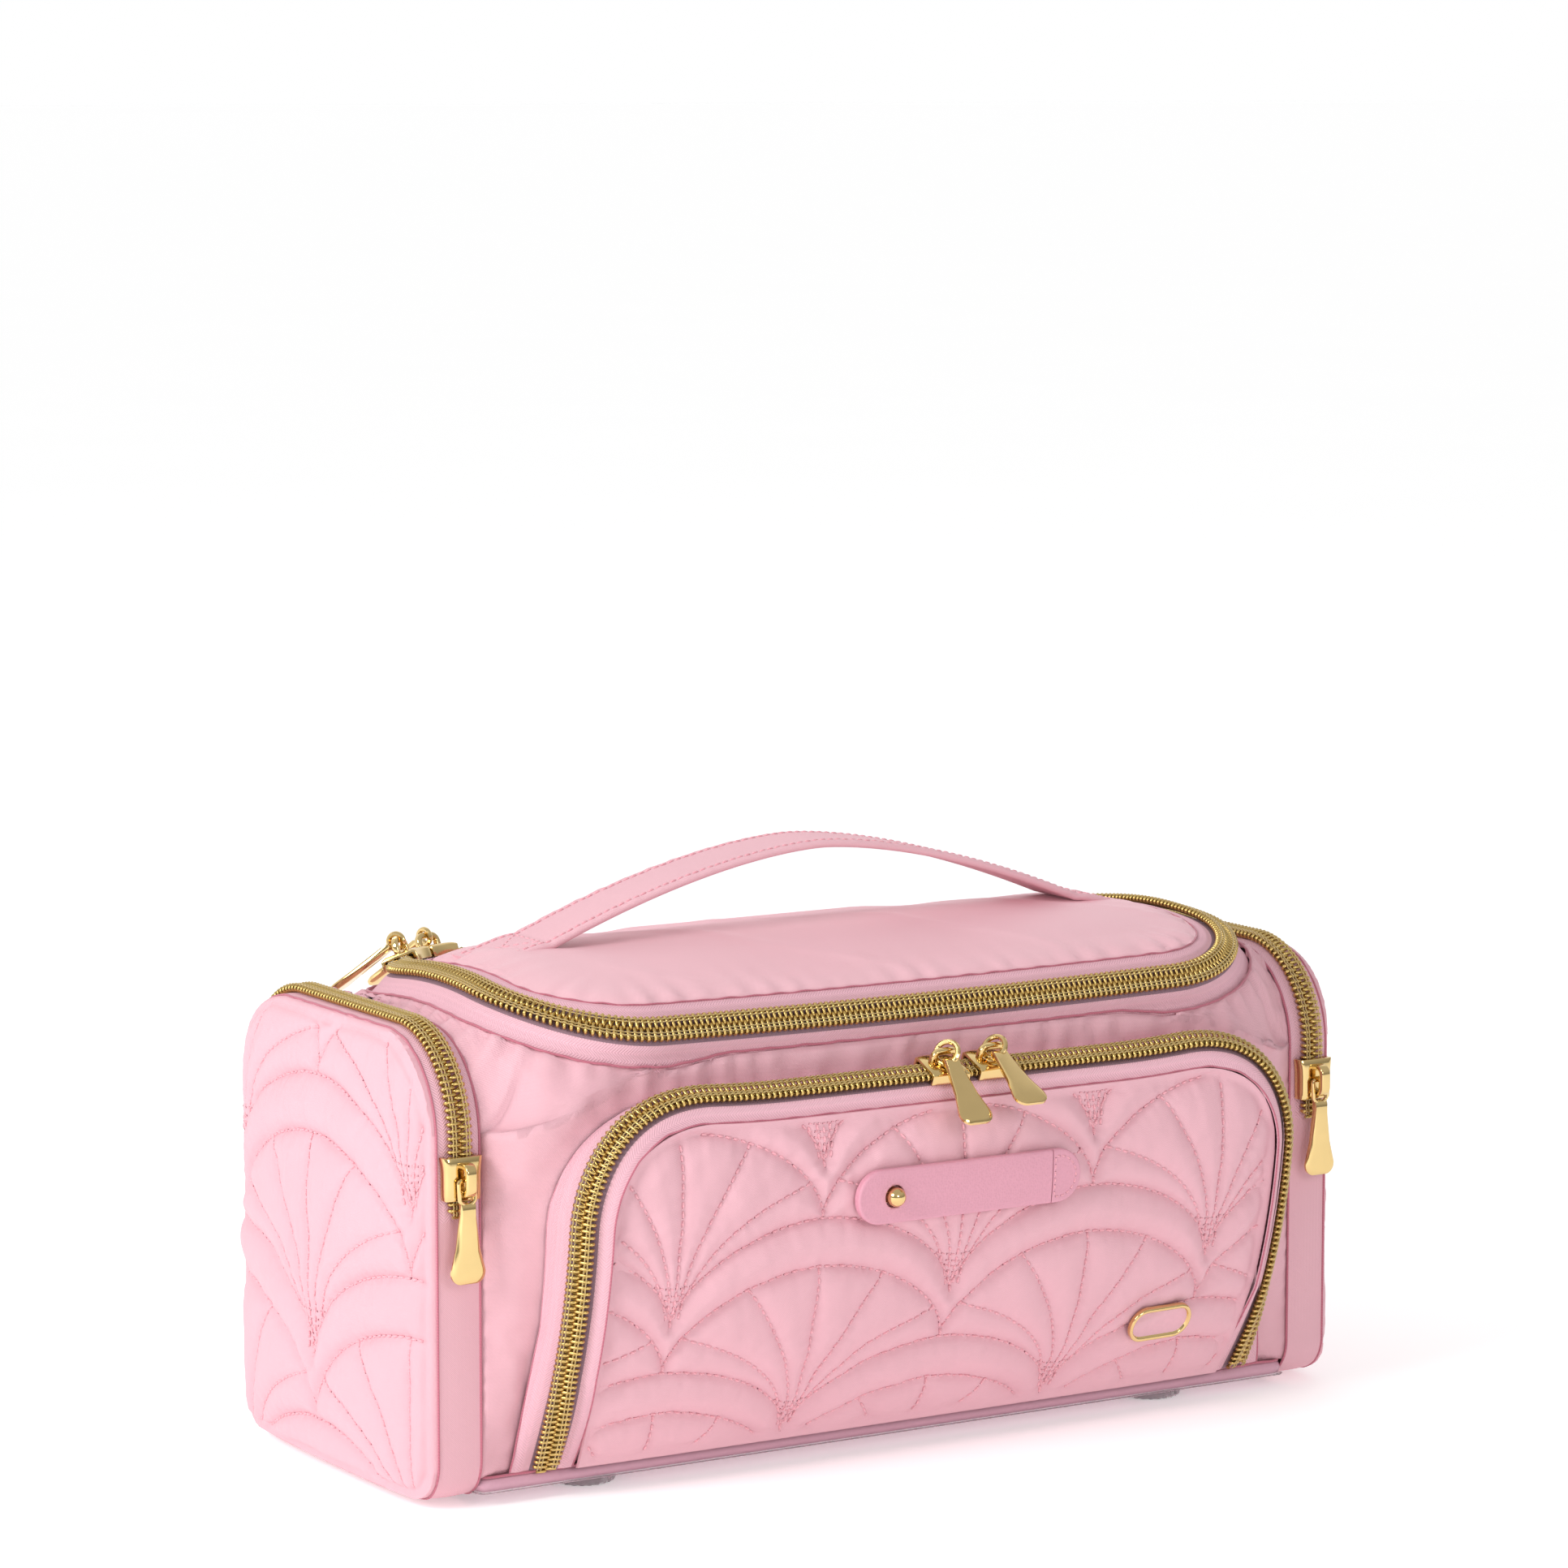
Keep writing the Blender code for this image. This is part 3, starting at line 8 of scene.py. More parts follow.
import bmesh
import bpy
import numpy as np
from mathutils import Matrix, Vector
from mathutils.kdtree import KDTree


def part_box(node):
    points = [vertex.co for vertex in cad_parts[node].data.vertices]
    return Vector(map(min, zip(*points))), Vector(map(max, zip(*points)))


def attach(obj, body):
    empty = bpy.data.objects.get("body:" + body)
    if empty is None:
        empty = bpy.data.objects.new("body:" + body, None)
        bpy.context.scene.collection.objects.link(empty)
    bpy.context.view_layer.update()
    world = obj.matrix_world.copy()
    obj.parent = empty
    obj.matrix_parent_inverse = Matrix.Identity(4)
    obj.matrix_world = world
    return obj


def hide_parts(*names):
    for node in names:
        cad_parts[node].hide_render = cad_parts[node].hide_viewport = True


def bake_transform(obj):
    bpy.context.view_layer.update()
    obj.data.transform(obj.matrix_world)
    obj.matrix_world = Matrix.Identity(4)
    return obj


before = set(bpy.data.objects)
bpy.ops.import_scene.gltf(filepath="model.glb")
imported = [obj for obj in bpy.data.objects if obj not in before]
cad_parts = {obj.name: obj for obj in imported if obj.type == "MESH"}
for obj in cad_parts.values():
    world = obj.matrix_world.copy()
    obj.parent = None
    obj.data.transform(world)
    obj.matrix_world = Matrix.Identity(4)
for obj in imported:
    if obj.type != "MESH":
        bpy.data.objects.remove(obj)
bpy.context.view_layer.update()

MM = 0.001


GUSSET_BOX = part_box("left_pocket_gusset")
FRAME_Y = (GUSSET_BOX[0][1] + GUSSET_BOX[1][1]) / 2

# Camera: the place and turn from which the case is seen
CAMERA_PLACE = (-0.9103, -1.4535, 0.4244)
CAMERA_AZIMUTH = -31.51
CAMERA_ELEVATION = 7.35
CAMERA_LENS = 127.12
SENSOR = 36.0

# Body, as in the model
SEAM_X = 148.2 * MM
END_HALF_DEPTH = 62.8 * MM
END_TOP = 142.0 * MM
END_BOTTOM = 3.0 * MM
END_TOP_RADIUS = 30.0 * MM
END_BOTTOM_RADIUS = 12.0 * MM
WALL_FOOT = 8.9 * MM
WALL_TOP_MIDDLE = 127.6 * MM
WALL_TOP_END = 111.5 * MM
WALL_EDGE_CLEAR = 1.8 * MM
BULGE_FROM_X = 105.0 * MM
FRONT_PROFILE = ((9, 58), (25, 62.5), (40, 66.5), (70, 74), (100, 78), (122, 78), (132, 77.3))
BACK_PROFILE = ((9, 60), (40, 64), (80, 66), (115, 65.5), (132, 64))

# Lid and its zip
LID_HALF_LENGTH = 132.5 * MM
LID_HALF_WIDTH = 60.3 * MM
LID_MIDDLE_Y = -14.3 * MM
LID_RADIUS = 39.6 * MM
LID_EDGE_Z = 141.6 * MM
LID_ARCH = 9.8 * MM
LID_FRONT_SAG = 1.8 * MM
LID_RISE = 3.3 * MM
LID_PAD = 3.2 * MM
LID_RIM_TO = 11.0 * MM
HINGE_Y = 46.0 * MM
HINGE_RISE = 1.0 * MM
HINGE_TUCK = 1.1 * MM
HINGE_UNDER = 0.3 * MM
LID_CHAIN_TILT = (18.0, 56.0)
LID_OUTER_TILT = (28.0, 76.0)
LID_INNER_TILT = (8.0, 34.0)

# Zip chain and tape
CHAIN_HALF = 4.25 * MM
CHAIN_LOW = 0.8 * MM
CHAIN_HIGH = 3.4 * MM
TAPE_OUTER = 12.0 * MM
FRONT_LAP = 2.6 * MM
FRONT_LAP_FADE = 25.0 * MM
FRONT_SEAM_RISE = 1.6 * MM
FRONT_TAPE_INNER = 4.4 * MM
FRONT_TAPE_SPREAD = 5.0 * MM
FRONT_TAPE_FOOT_SPREAD = 6.0 * MM
FRONT_TAPE_FOOT_HEIGHT = 45.0 * MM
FRONT_TAPE_STAND_OFF = 1.3 * MM
FRONT_TAPE_DROP = 1.0 * MM

# Front pocket
FRONT_ZIP_X = 126.8 * MM
FRONT_ZIP_RADIUS = 41.5 * MM
FRONT_ZIP_TOP = 127.2 * MM
FRONT_ZIP_BOTTOM = 9.2 * MM
FRONT_ZIP_SAG = 6.2 * MM
FRONT_ZIP_LEVEL_X = 58.0 * MM
FRONT_TURN_HEIGHT = 31.0 * MM
FRONT_BELLY_Y = (-59.0 * MM, -90.0 * MM)
FRONT_BELLY_Z = (5.0 * MM, 128.0 * MM)
FRONT_BELLY_POWER = 2.57
FRONT_CHAIN_FACE = (50.0, 68.0)
FRONT_INNER_FACE = (45.0, 12.0)
PANEL_SIDE_INSET = 6.3 * MM
PANEL_TOP_INSET = 6.5 * MM
PANEL_FORWARD = 5.5 * MM
PANEL_PAD = 5.0 * MM
PANEL_BOTTOM = 9.0 * MM
PANEL_MIDDLE_Z = 62.0 * MM
PANEL_BACK = 2.0 * MM
PANEL_FOOT_INSET = 3.0 * MM
PANEL_FOOT_HEIGHT = 36.0 * MM
PANEL_ROUND_OFF = 4.0 * MM

# End pockets
POCKET_ZIP_X = 155.8 * MM
POCKET_OUTER_X = 162.4 * MM
FLAP_Z = 88.0 * MM

# Sliders and pulls
SLIDER_LENGTH = 13.0 * MM
SLIDER_HALF = 6.4 * MM
SLIDER_CLEAR = 0.35 * MM
SLIDER_PLATE = 1.45 * MM
CROWN_TOP = 9.2 * MM
YOKE_LEVEL = 6.7 * MM
FRONT_EYE = (3.6 * MM, 42.0)
LID_EYE = (2.4 * MM, 0.0)
EYE_SHIFT = 0.8 * MM
EYE_TAB_SHIFT = 4.0 * MM
PULL_LENGTH = 31.0 * MM
FRONT_SLIDER_X = (-4.0 * MM, 13.2 * MM)
POCKET_SLIDER_Z = 101.5 * MM
LID_SLIDER_ANGLES = (47.0, 70.0)
FRONT_PULL_LAY = (114.0, 100.0)
LID_PULL_LAY = 106.0

# Handle
HANDLE_WIDTH = 25.0 * MM
HANDLE_THICKNESS = 2.4 * MM
HANDLE_BASE_X = 97.0 * MM
HANDLE_END_X = 119.0 * MM
HANDLE_POWER = 1.65
HANDLE_SINK = 3.0 * MM
HANDLE_PEAK = 183.2 * MM
HANDLE_Y = -4.0 * MM

# Tab, stud and badge
TAB_X = (-40.5 * MM, 40.2 * MM)
TAB_HINGE_X = 29.6 * MM
TAB_Z = 88.8 * MM
TAB_HALF_HEIGHT = 8.2 * MM
TAB_LOW = 0.9 * MM
TAB_THICKNESS = 2.6 * MM
STUD_X = -27.6 * MM
STUD_RADIUS = 3.0 * MM
STUD_HOLE_RADIUS = 3.5 * MM
BADGE_CENTRE = (82.5 * MM, 34.0 * MM)
BADGE_HALF = (12.0 * MM, 5.6 * MM)

# Base
BASE_HALF = (147.6 * MM, 61.3 * MM)
BASE_RADIUS = 2.5 * MM
FOOT_X = 105.0 * MM
FOOT_Y = 47.0 * MM

# Coil of a zip: filament, pitch and how far its heads reach past the middle
COIL_PITCH = 1.95 * MM
COIL_RADIUS = 0.56 * MM
COIL_REACH = 0.75 * MM
COIL_SIDES = 6
THREAD_RADIUS = 0.2 * MM
TAPE_HALF = 0.28 * MM
TAPE_CORD = 0.38 * MM
HERRINGBONE_BAND = 2.4 * MM

# Quilting
STITCH_PITCH = 2.75 * MM
STITCH_LENGTH = 1.95 * MM
STITCH_RADIUS = 0.42 * MM
HOLE_RADIUS = 0.5 * MM
STITCH_MARGIN = 1.6 * MM
SCALLOP_POWER = 1.8
QUILT_HEIGHT = 3.5 * MM
QUILT_LEVEL = 0.72
ARCH_SOFTNESS = 3.4 * MM
RAY_SOFTNESS = 2.6 * MM
RAY_DEPTH = 0.55
STITCH_GROOVE = 0.4 * MM
STITCH_GROOVE_WIDTH = 0.7 * MM
PRESSED_REACH = 6.0 * MM
END_PAD = 7.0 * MM
END_LIP = 3.8 * MM

# Studio: glow of the floor, brightness of the surround by direction, and the soft boxes
FLOOR_HALF = 60.0
FLOOR_GLOW = 0.31
SURROUND = 1.0
SURROUND_DARK = 0.33
SURROUND_TOP = 0.58
KEY_POWER = 17.5
FRONT_POWER = 7.2


def linear(red, green, blue):
    """Scene-linear colour of an sRGB colour given from 0 to 255."""
    shares = np.array((red, green, blue)) / 255.0
    low = shares / 12.92
    high = ((shares + 0.055) / 1.055) ** 2.4
    return tuple(float(v) for v in np.where(shares <= 0.04045, low, high)) + (1.0,)


PINK = linear(222, 171, 181)
PINK_LIGHT = linear(230, 180, 189)
TAPE_PINK = linear(228, 177, 189)
THREAD_PINK = linear(232, 168, 178)
# Darker pink of the seam cords is painted shade of the creases where cloth meets tape.
SEAM_SHADE_PINK = linear(186, 104, 122)
# Very dark pink of the needle-hole plugs: painted shade of the holes.
HOLE_SHADE_PINK = linear(130, 60, 76)
LEATHER_PINK = linear(226, 160, 178)
MAUVE = linear(206, 158, 174)
# Darker grey for the tape under the coil: painted shade seen between the coil's turns.
UNDER_COIL_SHADE_GREY = linear(140, 110, 122)
GOLD = linear(228, 198, 138)
COIL_GOLD = linear(208, 178, 110)
CREAM = linear(236, 222, 220)
BOARD_GREY = linear(110, 104, 104)
WHITE = linear(250, 248, 249)


# ---------------------------------------------------------------- small maths

def unit(vectors):
    vectors = np.array(vectors, dtype=float)
    return vectors / np.maximum(np.linalg.norm(vectors, axis=-1, keepdims=True), 1e-12)


def smooth_step(values):
    share = np.clip(values, 0.0, 1.0)
    return share * share * (3.0 - 2.0 * share)


def arc_lengths(route):
    steps = np.linalg.norm(np.diff(route, axis=0), axis=1)
    return np.concatenate([[0.0], np.cumsum(steps)])


def along_route(route, wanted):
    """Points of a polyline at given distances along it."""
    lengths = arc_lengths(route)
    return np.stack([np.interp(wanted, lengths, route[:, axis]) for axis in range(route.shape[1])], axis=-1)


def resample(route, count):
    return along_route(route, np.linspace(0.0, arc_lengths(route)[-1], count))


def ripple(distance, wavelength, seed, waves=4):
    """Uneven waves, about 1 high, whose lengths vary round one wavelength."""
    random = np.random.default_rng(seed)
    total = np.zeros_like(distance)
    for length, phase in random.uniform((0.6, 0.0), (1.7, 2.0 * math.pi), (waves, 2)):
        total += np.sin(2.0 * math.pi * distance / (length * wavelength) + phase)
    return total / math.sqrt(waves)


def waves_over(points, wavelength, seed, waves=7):
    """Gentle uneven waves over a cloud of points, about 1 high."""
    random = np.random.default_rng(seed)
    total = np.zeros(points.shape[:-1])
    for _ in range(waves):
        direction = unit(random.normal(size=points.shape[-1]))
        length = wavelength * random.uniform(0.6, 1.8)
        total += np.sin(2.0 * math.pi * points @ direction / length + random.uniform(0.0, 2.0 * math.pi))
    return total / math.sqrt(waves)


def nearest(points, targets):
    """Distance to, and index of, the nearest target of each point."""
    tree = KDTree(len(targets))
    for index, target in enumerate(targets):
        tree.insert(target, index)
    tree.balance()
    found = [tree.find(point) for point in points]
    return np.array([row[2] for row in found]), np.array([row[1] for row in found])


def through_rows(rows, steps):
    """Rows of points on a smooth curve through a few rows of points."""
    rows = np.array(rows)
    padded = np.concatenate([2 * rows[:1] - rows[1:2], rows, 2 * rows[-1:] - rows[-2:-1]])
    result = []
    for index in range(1, len(padded) - 2):
        a, b, c, d = padded[index - 1:index + 3]
        for t in np.linspace(0.0, 1.0, steps, endpoint=False):
            result.append(0.5 * (2 * b + (c - a) * t + (2 * a - 5 * b + 4 * c - d) * t ** 2
                                 + (3 * b - a - 3 * c + d) * t ** 3))
    result.append(rows[-1])
    return np.array(result)


# ---------------------------------------------------------------- surfaces of the case

def profile(z, table):
    return np.interp(z, [row[0] * MM for row in table], [row[1] * MM for row in table])


def end_half_depth(z):
    """Half depth of the end section at a height, round its lower corners."""
    past = np.clip(END_BOTTOM + END_BOTTOM_RADIUS - z, 0.0, END_BOTTOM_RADIUS)
    return END_HALF_DEPTH - END_BOTTOM_RADIUS + np.sqrt(END_BOTTOM_RADIUS ** 2 - past ** 2)


def wall_depth(x, z, table):
    """Distance of the front or back wall from the middle plane of the end pockets."""
    share = np.clip((np.abs(x) - BULGE_FROM_X) / (SEAM_X - BULGE_FROM_X), 0.0, 1.0) ** 3
    return share * end_half_depth(z) + (1.0 - share) * profile(z, table)


def wall_top(x):
    start = LID_HALF_LENGTH - LID_RADIUS
    share = smooth_step((np.abs(x) - start) / (SEAM_X - start))
    return WALL_TOP_MIDDLE + (WALL_TOP_END - WALL_TOP_MIDDLE) * share


def lid_height(x, y):
    """Arched surface that carries the lid and its zip."""
    corner_y = LID_MIDDLE_Y + LID_HALF_WIDTH - LID_RADIUS
    reach = (np.minimum(y, corner_y) - LID_MIDDLE_Y) / LID_HALF_WIDTH
    slope = -2.0 * LID_ARCH * (corner_y - LID_MIDDLE_Y) / LID_HALF_WIDTH ** 2
    height = LID_EDGE_Z + LID_ARCH * (1.0 - reach ** 2) + slope * np.maximum(y - corner_y, 0.0)
    front = np.clip(-reach, 0.0, 1.0)
    return height - LID_FRONT_SAG * (1.0 - np.clip(np.abs(x) / LID_HALF_LENGTH, 0, 1) ** 2) * front


def front_zip_depth(z):
    share = np.clip((z - FRONT_BELLY_Z[0]) / (FRONT_BELLY_Z[1] - FRONT_BELLY_Z[0]), 0.0, 1.0)
    near, far = FRONT_BELLY_Y
    return near + (far - near) * (1.0 - (1.0 - share) ** FRONT_BELLY_POWER)


def front_zip_droop(x):
    share = np.clip((FRONT_ZIP_X - np.abs(x)) / (FRONT_ZIP_X - FRONT_ZIP_LEVEL_X), 0.0, 1.0)
    return FRONT_ZIP_SAG * share * (2.0 - share)


def panel_face(x, z):
    """Outer face of the front quilted panel."""
    across = np.clip(1.0 - (np.abs(x) / (FRONT_ZIP_X - PANEL_SIDE_INSET)) ** 4, 0.0, 1.0)
    reach = np.abs(z - PANEL_MIDDLE_Z) / (PANEL_MIDDLE_Z - PANEL_BOTTOM + PANEL_ROUND_OFF)
    upright = np.clip(1.0 - reach ** 4, 0.0, 1.0)
    return front_zip_depth(z) - PANEL_FORWARD - PANEL_PAD * across * upright


def panel_top(x):
    """Height of the front panel's upper edge, with elliptical corners."""
    corner_x = FRONT_ZIP_X - FRONT_ZIP_RADIUS
    reach_x = FRONT_ZIP_RADIUS - PANEL_SIDE_INSET
    reach_z = FRONT_ZIP_RADIUS - PANEL_TOP_INSET
    past = np.clip((np.abs(x) - corner_x) / reach_x, 0.0, 1.0)
    return FRONT_ZIP_TOP - FRONT_ZIP_RADIUS + (reach_z - front_zip_droop(x)) * np.sqrt(1.0 - past ** 2)


def on_panel(x, z, out):
    """Points above the front panel's outer face."""
    step = 0.5 * MM
    slope = (panel_face(x, z + step) - panel_face(x, z - step)) / (2.0 * step)
    normal = unit(np.stack([np.zeros_like(slope), -np.ones_like(slope), slope], axis=-1))
    return np.stack([x, panel_face(x, z), z], axis=-1) + normal * np.asarray(out)[..., None]


def end_top(y):
    past = np.clip(np.abs(y) - (END_HALF_DEPTH - END_TOP_RADIUS), 0.0, END_TOP_RADIUS)
    return END_TOP - END_TOP_RADIUS + np.sqrt(END_TOP_RADIUS ** 2 - past ** 2)


def end_bottom(y):
    past = np.clip(np.abs(y) - (END_HALF_DEPTH - END_BOTTOM_RADIUS), 0.0, END_BOTTOM_RADIUS)
    return END_BOTTOM + END_BOTTOM_RADIUS - np.sqrt(END_BOTTOM_RADIUS ** 2 - past ** 2)


def end_loop(offset, steps, run_steps):
    """Closed outline of the end section in y and z, moved outward by offset."""
    corners = ((1, END_TOP - END_TOP_RADIUS, END_TOP_RADIUS, 0.0),
               (-1, END_TOP - END_TOP_RADIUS, END_TOP_RADIUS, 90.0),
               (-1, END_BOTTOM + END_BOTTOM_RADIUS, END_BOTTOM_RADIUS, 180.0),
               (1, END_BOTTOM + END_BOTTOM_RADIUS, END_BOTTOM_RADIUS, 270.0))
    points = []
    for side, centre_z, radius, start in corners:
        for angle in np.radians(np.linspace(start, start + 90.0, steps)):
            points.append((side * (END_HALF_DEPTH - radius) + (radius + offset) * math.cos(angle),
                           centre_z + (radius + offset) * math.sin(angle)))
    route = np.array(points + points[:1])
    return resample(route, run_steps + 1)[:-1]


# ---------------------------------------------------------------- zip paths

class ZipPath:
    """Stations along a zip: centre point, direction across and outward normal."""

    def __init__(self, points, across, normals):
        self.points = np.array(points)
        self.across = unit(across)
        self.normals = unit(normals)
        self.lengths = arc_lengths(self.points)

    def at(self, offset, out=0.0):
        return self.points + self.across * offset + self.normals * out

    def spread(self, values, station):
        return np.stack([np.interp(station, self.lengths, values[:, axis]) for axis in range(3)], axis=-1)

    def place(self, station, offset, out):
        """Points at distances along the zip, across it and out of it."""
        return (self.spread(self.points, station)
                + unit(self.spread(self.across, station)) * offset[:, None]
                + unit(self.spread(self.normals, station)) * out[:, None])

    def heading(self, station):
        return unit(self.spread(np.gradient(self.points, axis=0), station))


def lid_plan(side):
    centre_x = LID_HALF_LENGTH - LID_RADIUS
    front_y = LID_MIDDLE_Y - LID_HALF_WIDTH
    corner_front = front_y + LID_RADIUS
    corner_back = LID_MIDDLE_Y + LID_HALF_WIDTH - LID_RADIUS
    points = [(x, front_y, 0.0, -1.0) for x in np.linspace(0.0, centre_x, 47)[:-1]]
    for start, end, centre_y in ((-90.0, 0.0, corner_front), (0.0, 88.0, corner_back)):
        for angle in np.radians(np.linspace(start, end, 33)):
            points.append((centre_x + LID_RADIUS * math.cos(angle), centre_y + LID_RADIUS * math.sin(angle),
                           math.cos(angle), math.sin(angle)))
        if start < 0.0:
            between = np.linspace(corner_front, corner_back, 23)[1:-1]
            points += [(LID_HALF_LENGTH, y, 1.0, 0.0) for y in between]
    return [(side * x, y, side * out_x, out_y) for x, y, out_x, out_y in points]


def lid_frame(x, y, out_x, out_y, tilt):
    """Point and directions of the lid zip for a tilt, in degrees, of its outer side below level."""
    point = np.array((x, y, float(lid_height(x, y))))
    corner_y = LID_MIDDLE_Y + LID_HALF_WIDTH - LID_RADIUS
    slope = -2.0 * LID_ARCH * (corner_y - LID_MIDDLE_Y) / LID_HALF_WIDTH ** 2
    up = unit((0.0, -slope, 1.0)) if y > corner_y - MM else np.array((0.0, 0.0, 1.0))
    outward = np.array((out_x, out_y, 0.0))
    outward = unit(outward - up * outward.dot(up))
    turn = math.radians(tilt)
    across = math.cos(turn) * outward - math.sin(turn) * up
    normal = math.sin(turn) * outward + math.cos(turn) * up
    return point, across, normal


def lid_zip_path(end_tilt, front_tilt):
    stations = []
    for x, y, out_x, out_y in lid_plan(-1.0)[::-1] + lid_plan(1.0)[1:]:
        tilt = end_tilt + (front_tilt - end_tilt) * max(-out_y, 0.0) ** 2
        stations.append(lid_frame(x, y, out_x, out_y, tilt))
    return ZipPath(*zip(*stations))


def front_plan():
    corner_x = FRONT_ZIP_X - FRONT_ZIP_RADIUS
    corner_z = FRONT_ZIP_TOP - FRONT_ZIP_RADIUS
    half = [(FRONT_ZIP_X, z, 0.0) for z in np.linspace(FRONT_ZIP_BOTTOM, corner_z, 41)[:-1]]
    for angle in np.linspace(0.0, 90.0, 37):
        turn = math.radians(angle)
        half.append((corner_x + FRONT_ZIP_RADIUS * math.cos(turn),
                     corner_z + FRONT_ZIP_RADIUS * math.sin(turn), angle))
    half += [(x, FRONT_ZIP_TOP, 90.0) for x in np.linspace(corner_x, 0.0, 46)[1:]]
    left = [(-x, z, 180.0 - angle) for x, z, angle in half]
    return left + half[-2::-1]


def front_zip_path(side_face, top_face):
    points = []
    across = []
    normals = []
    for x, z, angle in front_plan():
        turn = math.radians(angle)
        top_share = max(math.sin(turn), 0.0) ** 2
        low_share = min(0.25 + 0.75 * (z - FRONT_ZIP_BOTTOM) / FRONT_TURN_HEIGHT, 1.0)
        face = math.radians((side_face + (top_face - side_face) * top_share) * low_share)
        out = np.array((math.cos(turn), 0.0, math.sin(turn)))
        ahead = np.array((0.0, -1.0, 0.0))
        points.append((x, float(front_zip_depth(z)), z - float(front_zip_droop(x)) * top_share))
        across.append(math.sin(face) * ahead - math.cos(face) * out)
        normals.append(math.sin(face) * out + math.cos(face) * ahead)
    return ZipPath(points, across, normals)


def front_tape_edge(chain):
    """Seam of the front zip tape on the wall of the body."""
    edge = []
    for point, (x, z, angle) in zip(chain.points, front_plan()):
        turn = math.radians(angle)
        low = 1.0 - np.clip((z - FRONT_ZIP_BOTTOM) / FRONT_TAPE_FOOT_HEIGHT, 0.0, 1.0)
        spread = FRONT_TAPE_SPREAD + FRONT_TAPE_FOOT_SPREAD * low
        edge_x = point[0] + spread * math.cos(turn)
        edge_z = point[2] - FRONT_TAPE_DROP * math.sin(turn)
        edge_y = -wall_depth(edge_x, edge_z, FRONT_PROFILE) - FRONT_TAPE_STAND_OFF
        edge.append((edge_x, edge_y, edge_z))
    return np.array(edge)


def pocket_zip_path(side):
    corner_y = END_HALF_DEPTH - END_TOP_RADIUS
    corner_z = END_TOP - END_TOP_RADIUS
    stations = [(END_HALF_DEPTH, z, 0.0) for z in np.linspace(FLAP_Z + MM, corner_z, 12)[:-1]]
    for angle in np.linspace(0.0, 90.0, 31):
        turn = math.radians(angle)
        stations.append((corner_y + END_TOP_RADIUS * math.cos(turn),
                         corner_z + END_TOP_RADIUS * math.sin(turn), angle))
    stations += [(y, END_TOP, 90.0) for y in np.linspace(corner_y, 0.0, 18)[1:]]
    full = [(-y, z, 180.0 - angle) for y, z, angle in stations] + stations[-2::-1]
    points = [(side * POCKET_ZIP_X, y, z) for y, z, angle in full]
    normals = [(0.0, math.cos(math.radians(a)), math.sin(math.radians(a))) for y, z, a in full]
    return ZipPath(points, [(side, 0.0, 0.0)] * len(full), normals)


# ---------------------------------------------------------------- materials

class Shader:
    """A material whose nodes are added one call at a time."""

    def __init__(self, name, roughness, metallic=0.0):
        self.material = bpy.data.materials.new(name)
        self.material.use_nodes = True
        self.tree = self.material.node_tree
        self.surface = self.tree.nodes["Principled BSDF"]
        self.set("Roughness", roughness)
        self.set("Metallic", metallic)

    def set(self, socket, value):
        self.surface.inputs[socket].default_value = value

    def node(self, kind, inputs=(), **settings):
        node = self.tree.nodes.new(kind)
        for key, value in settings.items():
            setattr(node, key, value)
        for socket, value in dict(inputs).items():
            if isinstance(value, bpy.types.NodeSocket):
                self.tree.links.new(value, node.inputs[socket])
            else:
                node.inputs[socket].default_value = value
        return node

    def link(self, output, socket):
        self.tree.links.new(output, self.surface.inputs[socket])

    def maths(self, operation, first, second=0.0):
        return self.node("ShaderNodeMath", {0: first, 1: second}, operation=operation).outputs[0]

    def noise(self, coordinates, scale, detail=3.0):
        inputs = {"Vector": coordinates, "Scale": scale, "Detail": detail}
        return self.node("ShaderNodeTexNoise", inputs).outputs[0]

    def object_place(self):
        return self.node("ShaderNodeTexCoord").outputs["Object"]

    def mix(self, factor, first, second):
        return self.node("ShaderNodeMix", {0: factor, 6: first, 7: second}, data_type="RGBA").outputs[2]

    def bump(self, height, strength, distance):
        node = self.node("ShaderNodeBump", {"Height": height, "Strength": strength, "Distance": distance})
        self.link(node.outputs[0], "Normal")


def shade(colour, factor):
    return tuple(min(value * factor, 1.0) for value in colour[:3]) + (1.0,)


def weave_height(shader, pattern, pitch):
    """Height of a cloth's threads from the cloth coordinates stored on its points."""
    cloth = shader.node("ShaderNodeAttribute", attribute_name="weave")
    parts = shader.node("ShaderNodeSeparateXYZ", {0: cloth.outputs["Vector"]})
    along, across = parts.outputs[0], parts.outputs[1]
    turns = 2.0 * math.pi / pitch
    if pattern == "herringbone":
        band = shader.maths("PINGPONG", across, HERRINGBONE_BAND)
        line = shader.maths("ADD", along, band)
    else:
        line = shader.maths("ADD", along, across)
    ridge = shader.maths("SINE", shader.maths("MULTIPLY", line, turns))
    cross = shader.maths("SINE", shader.maths("MULTIPLY", across, turns * 0.5))
    return shader.maths("ADD", ridge, shader.maths("MULTIPLY", cross, 0.35))


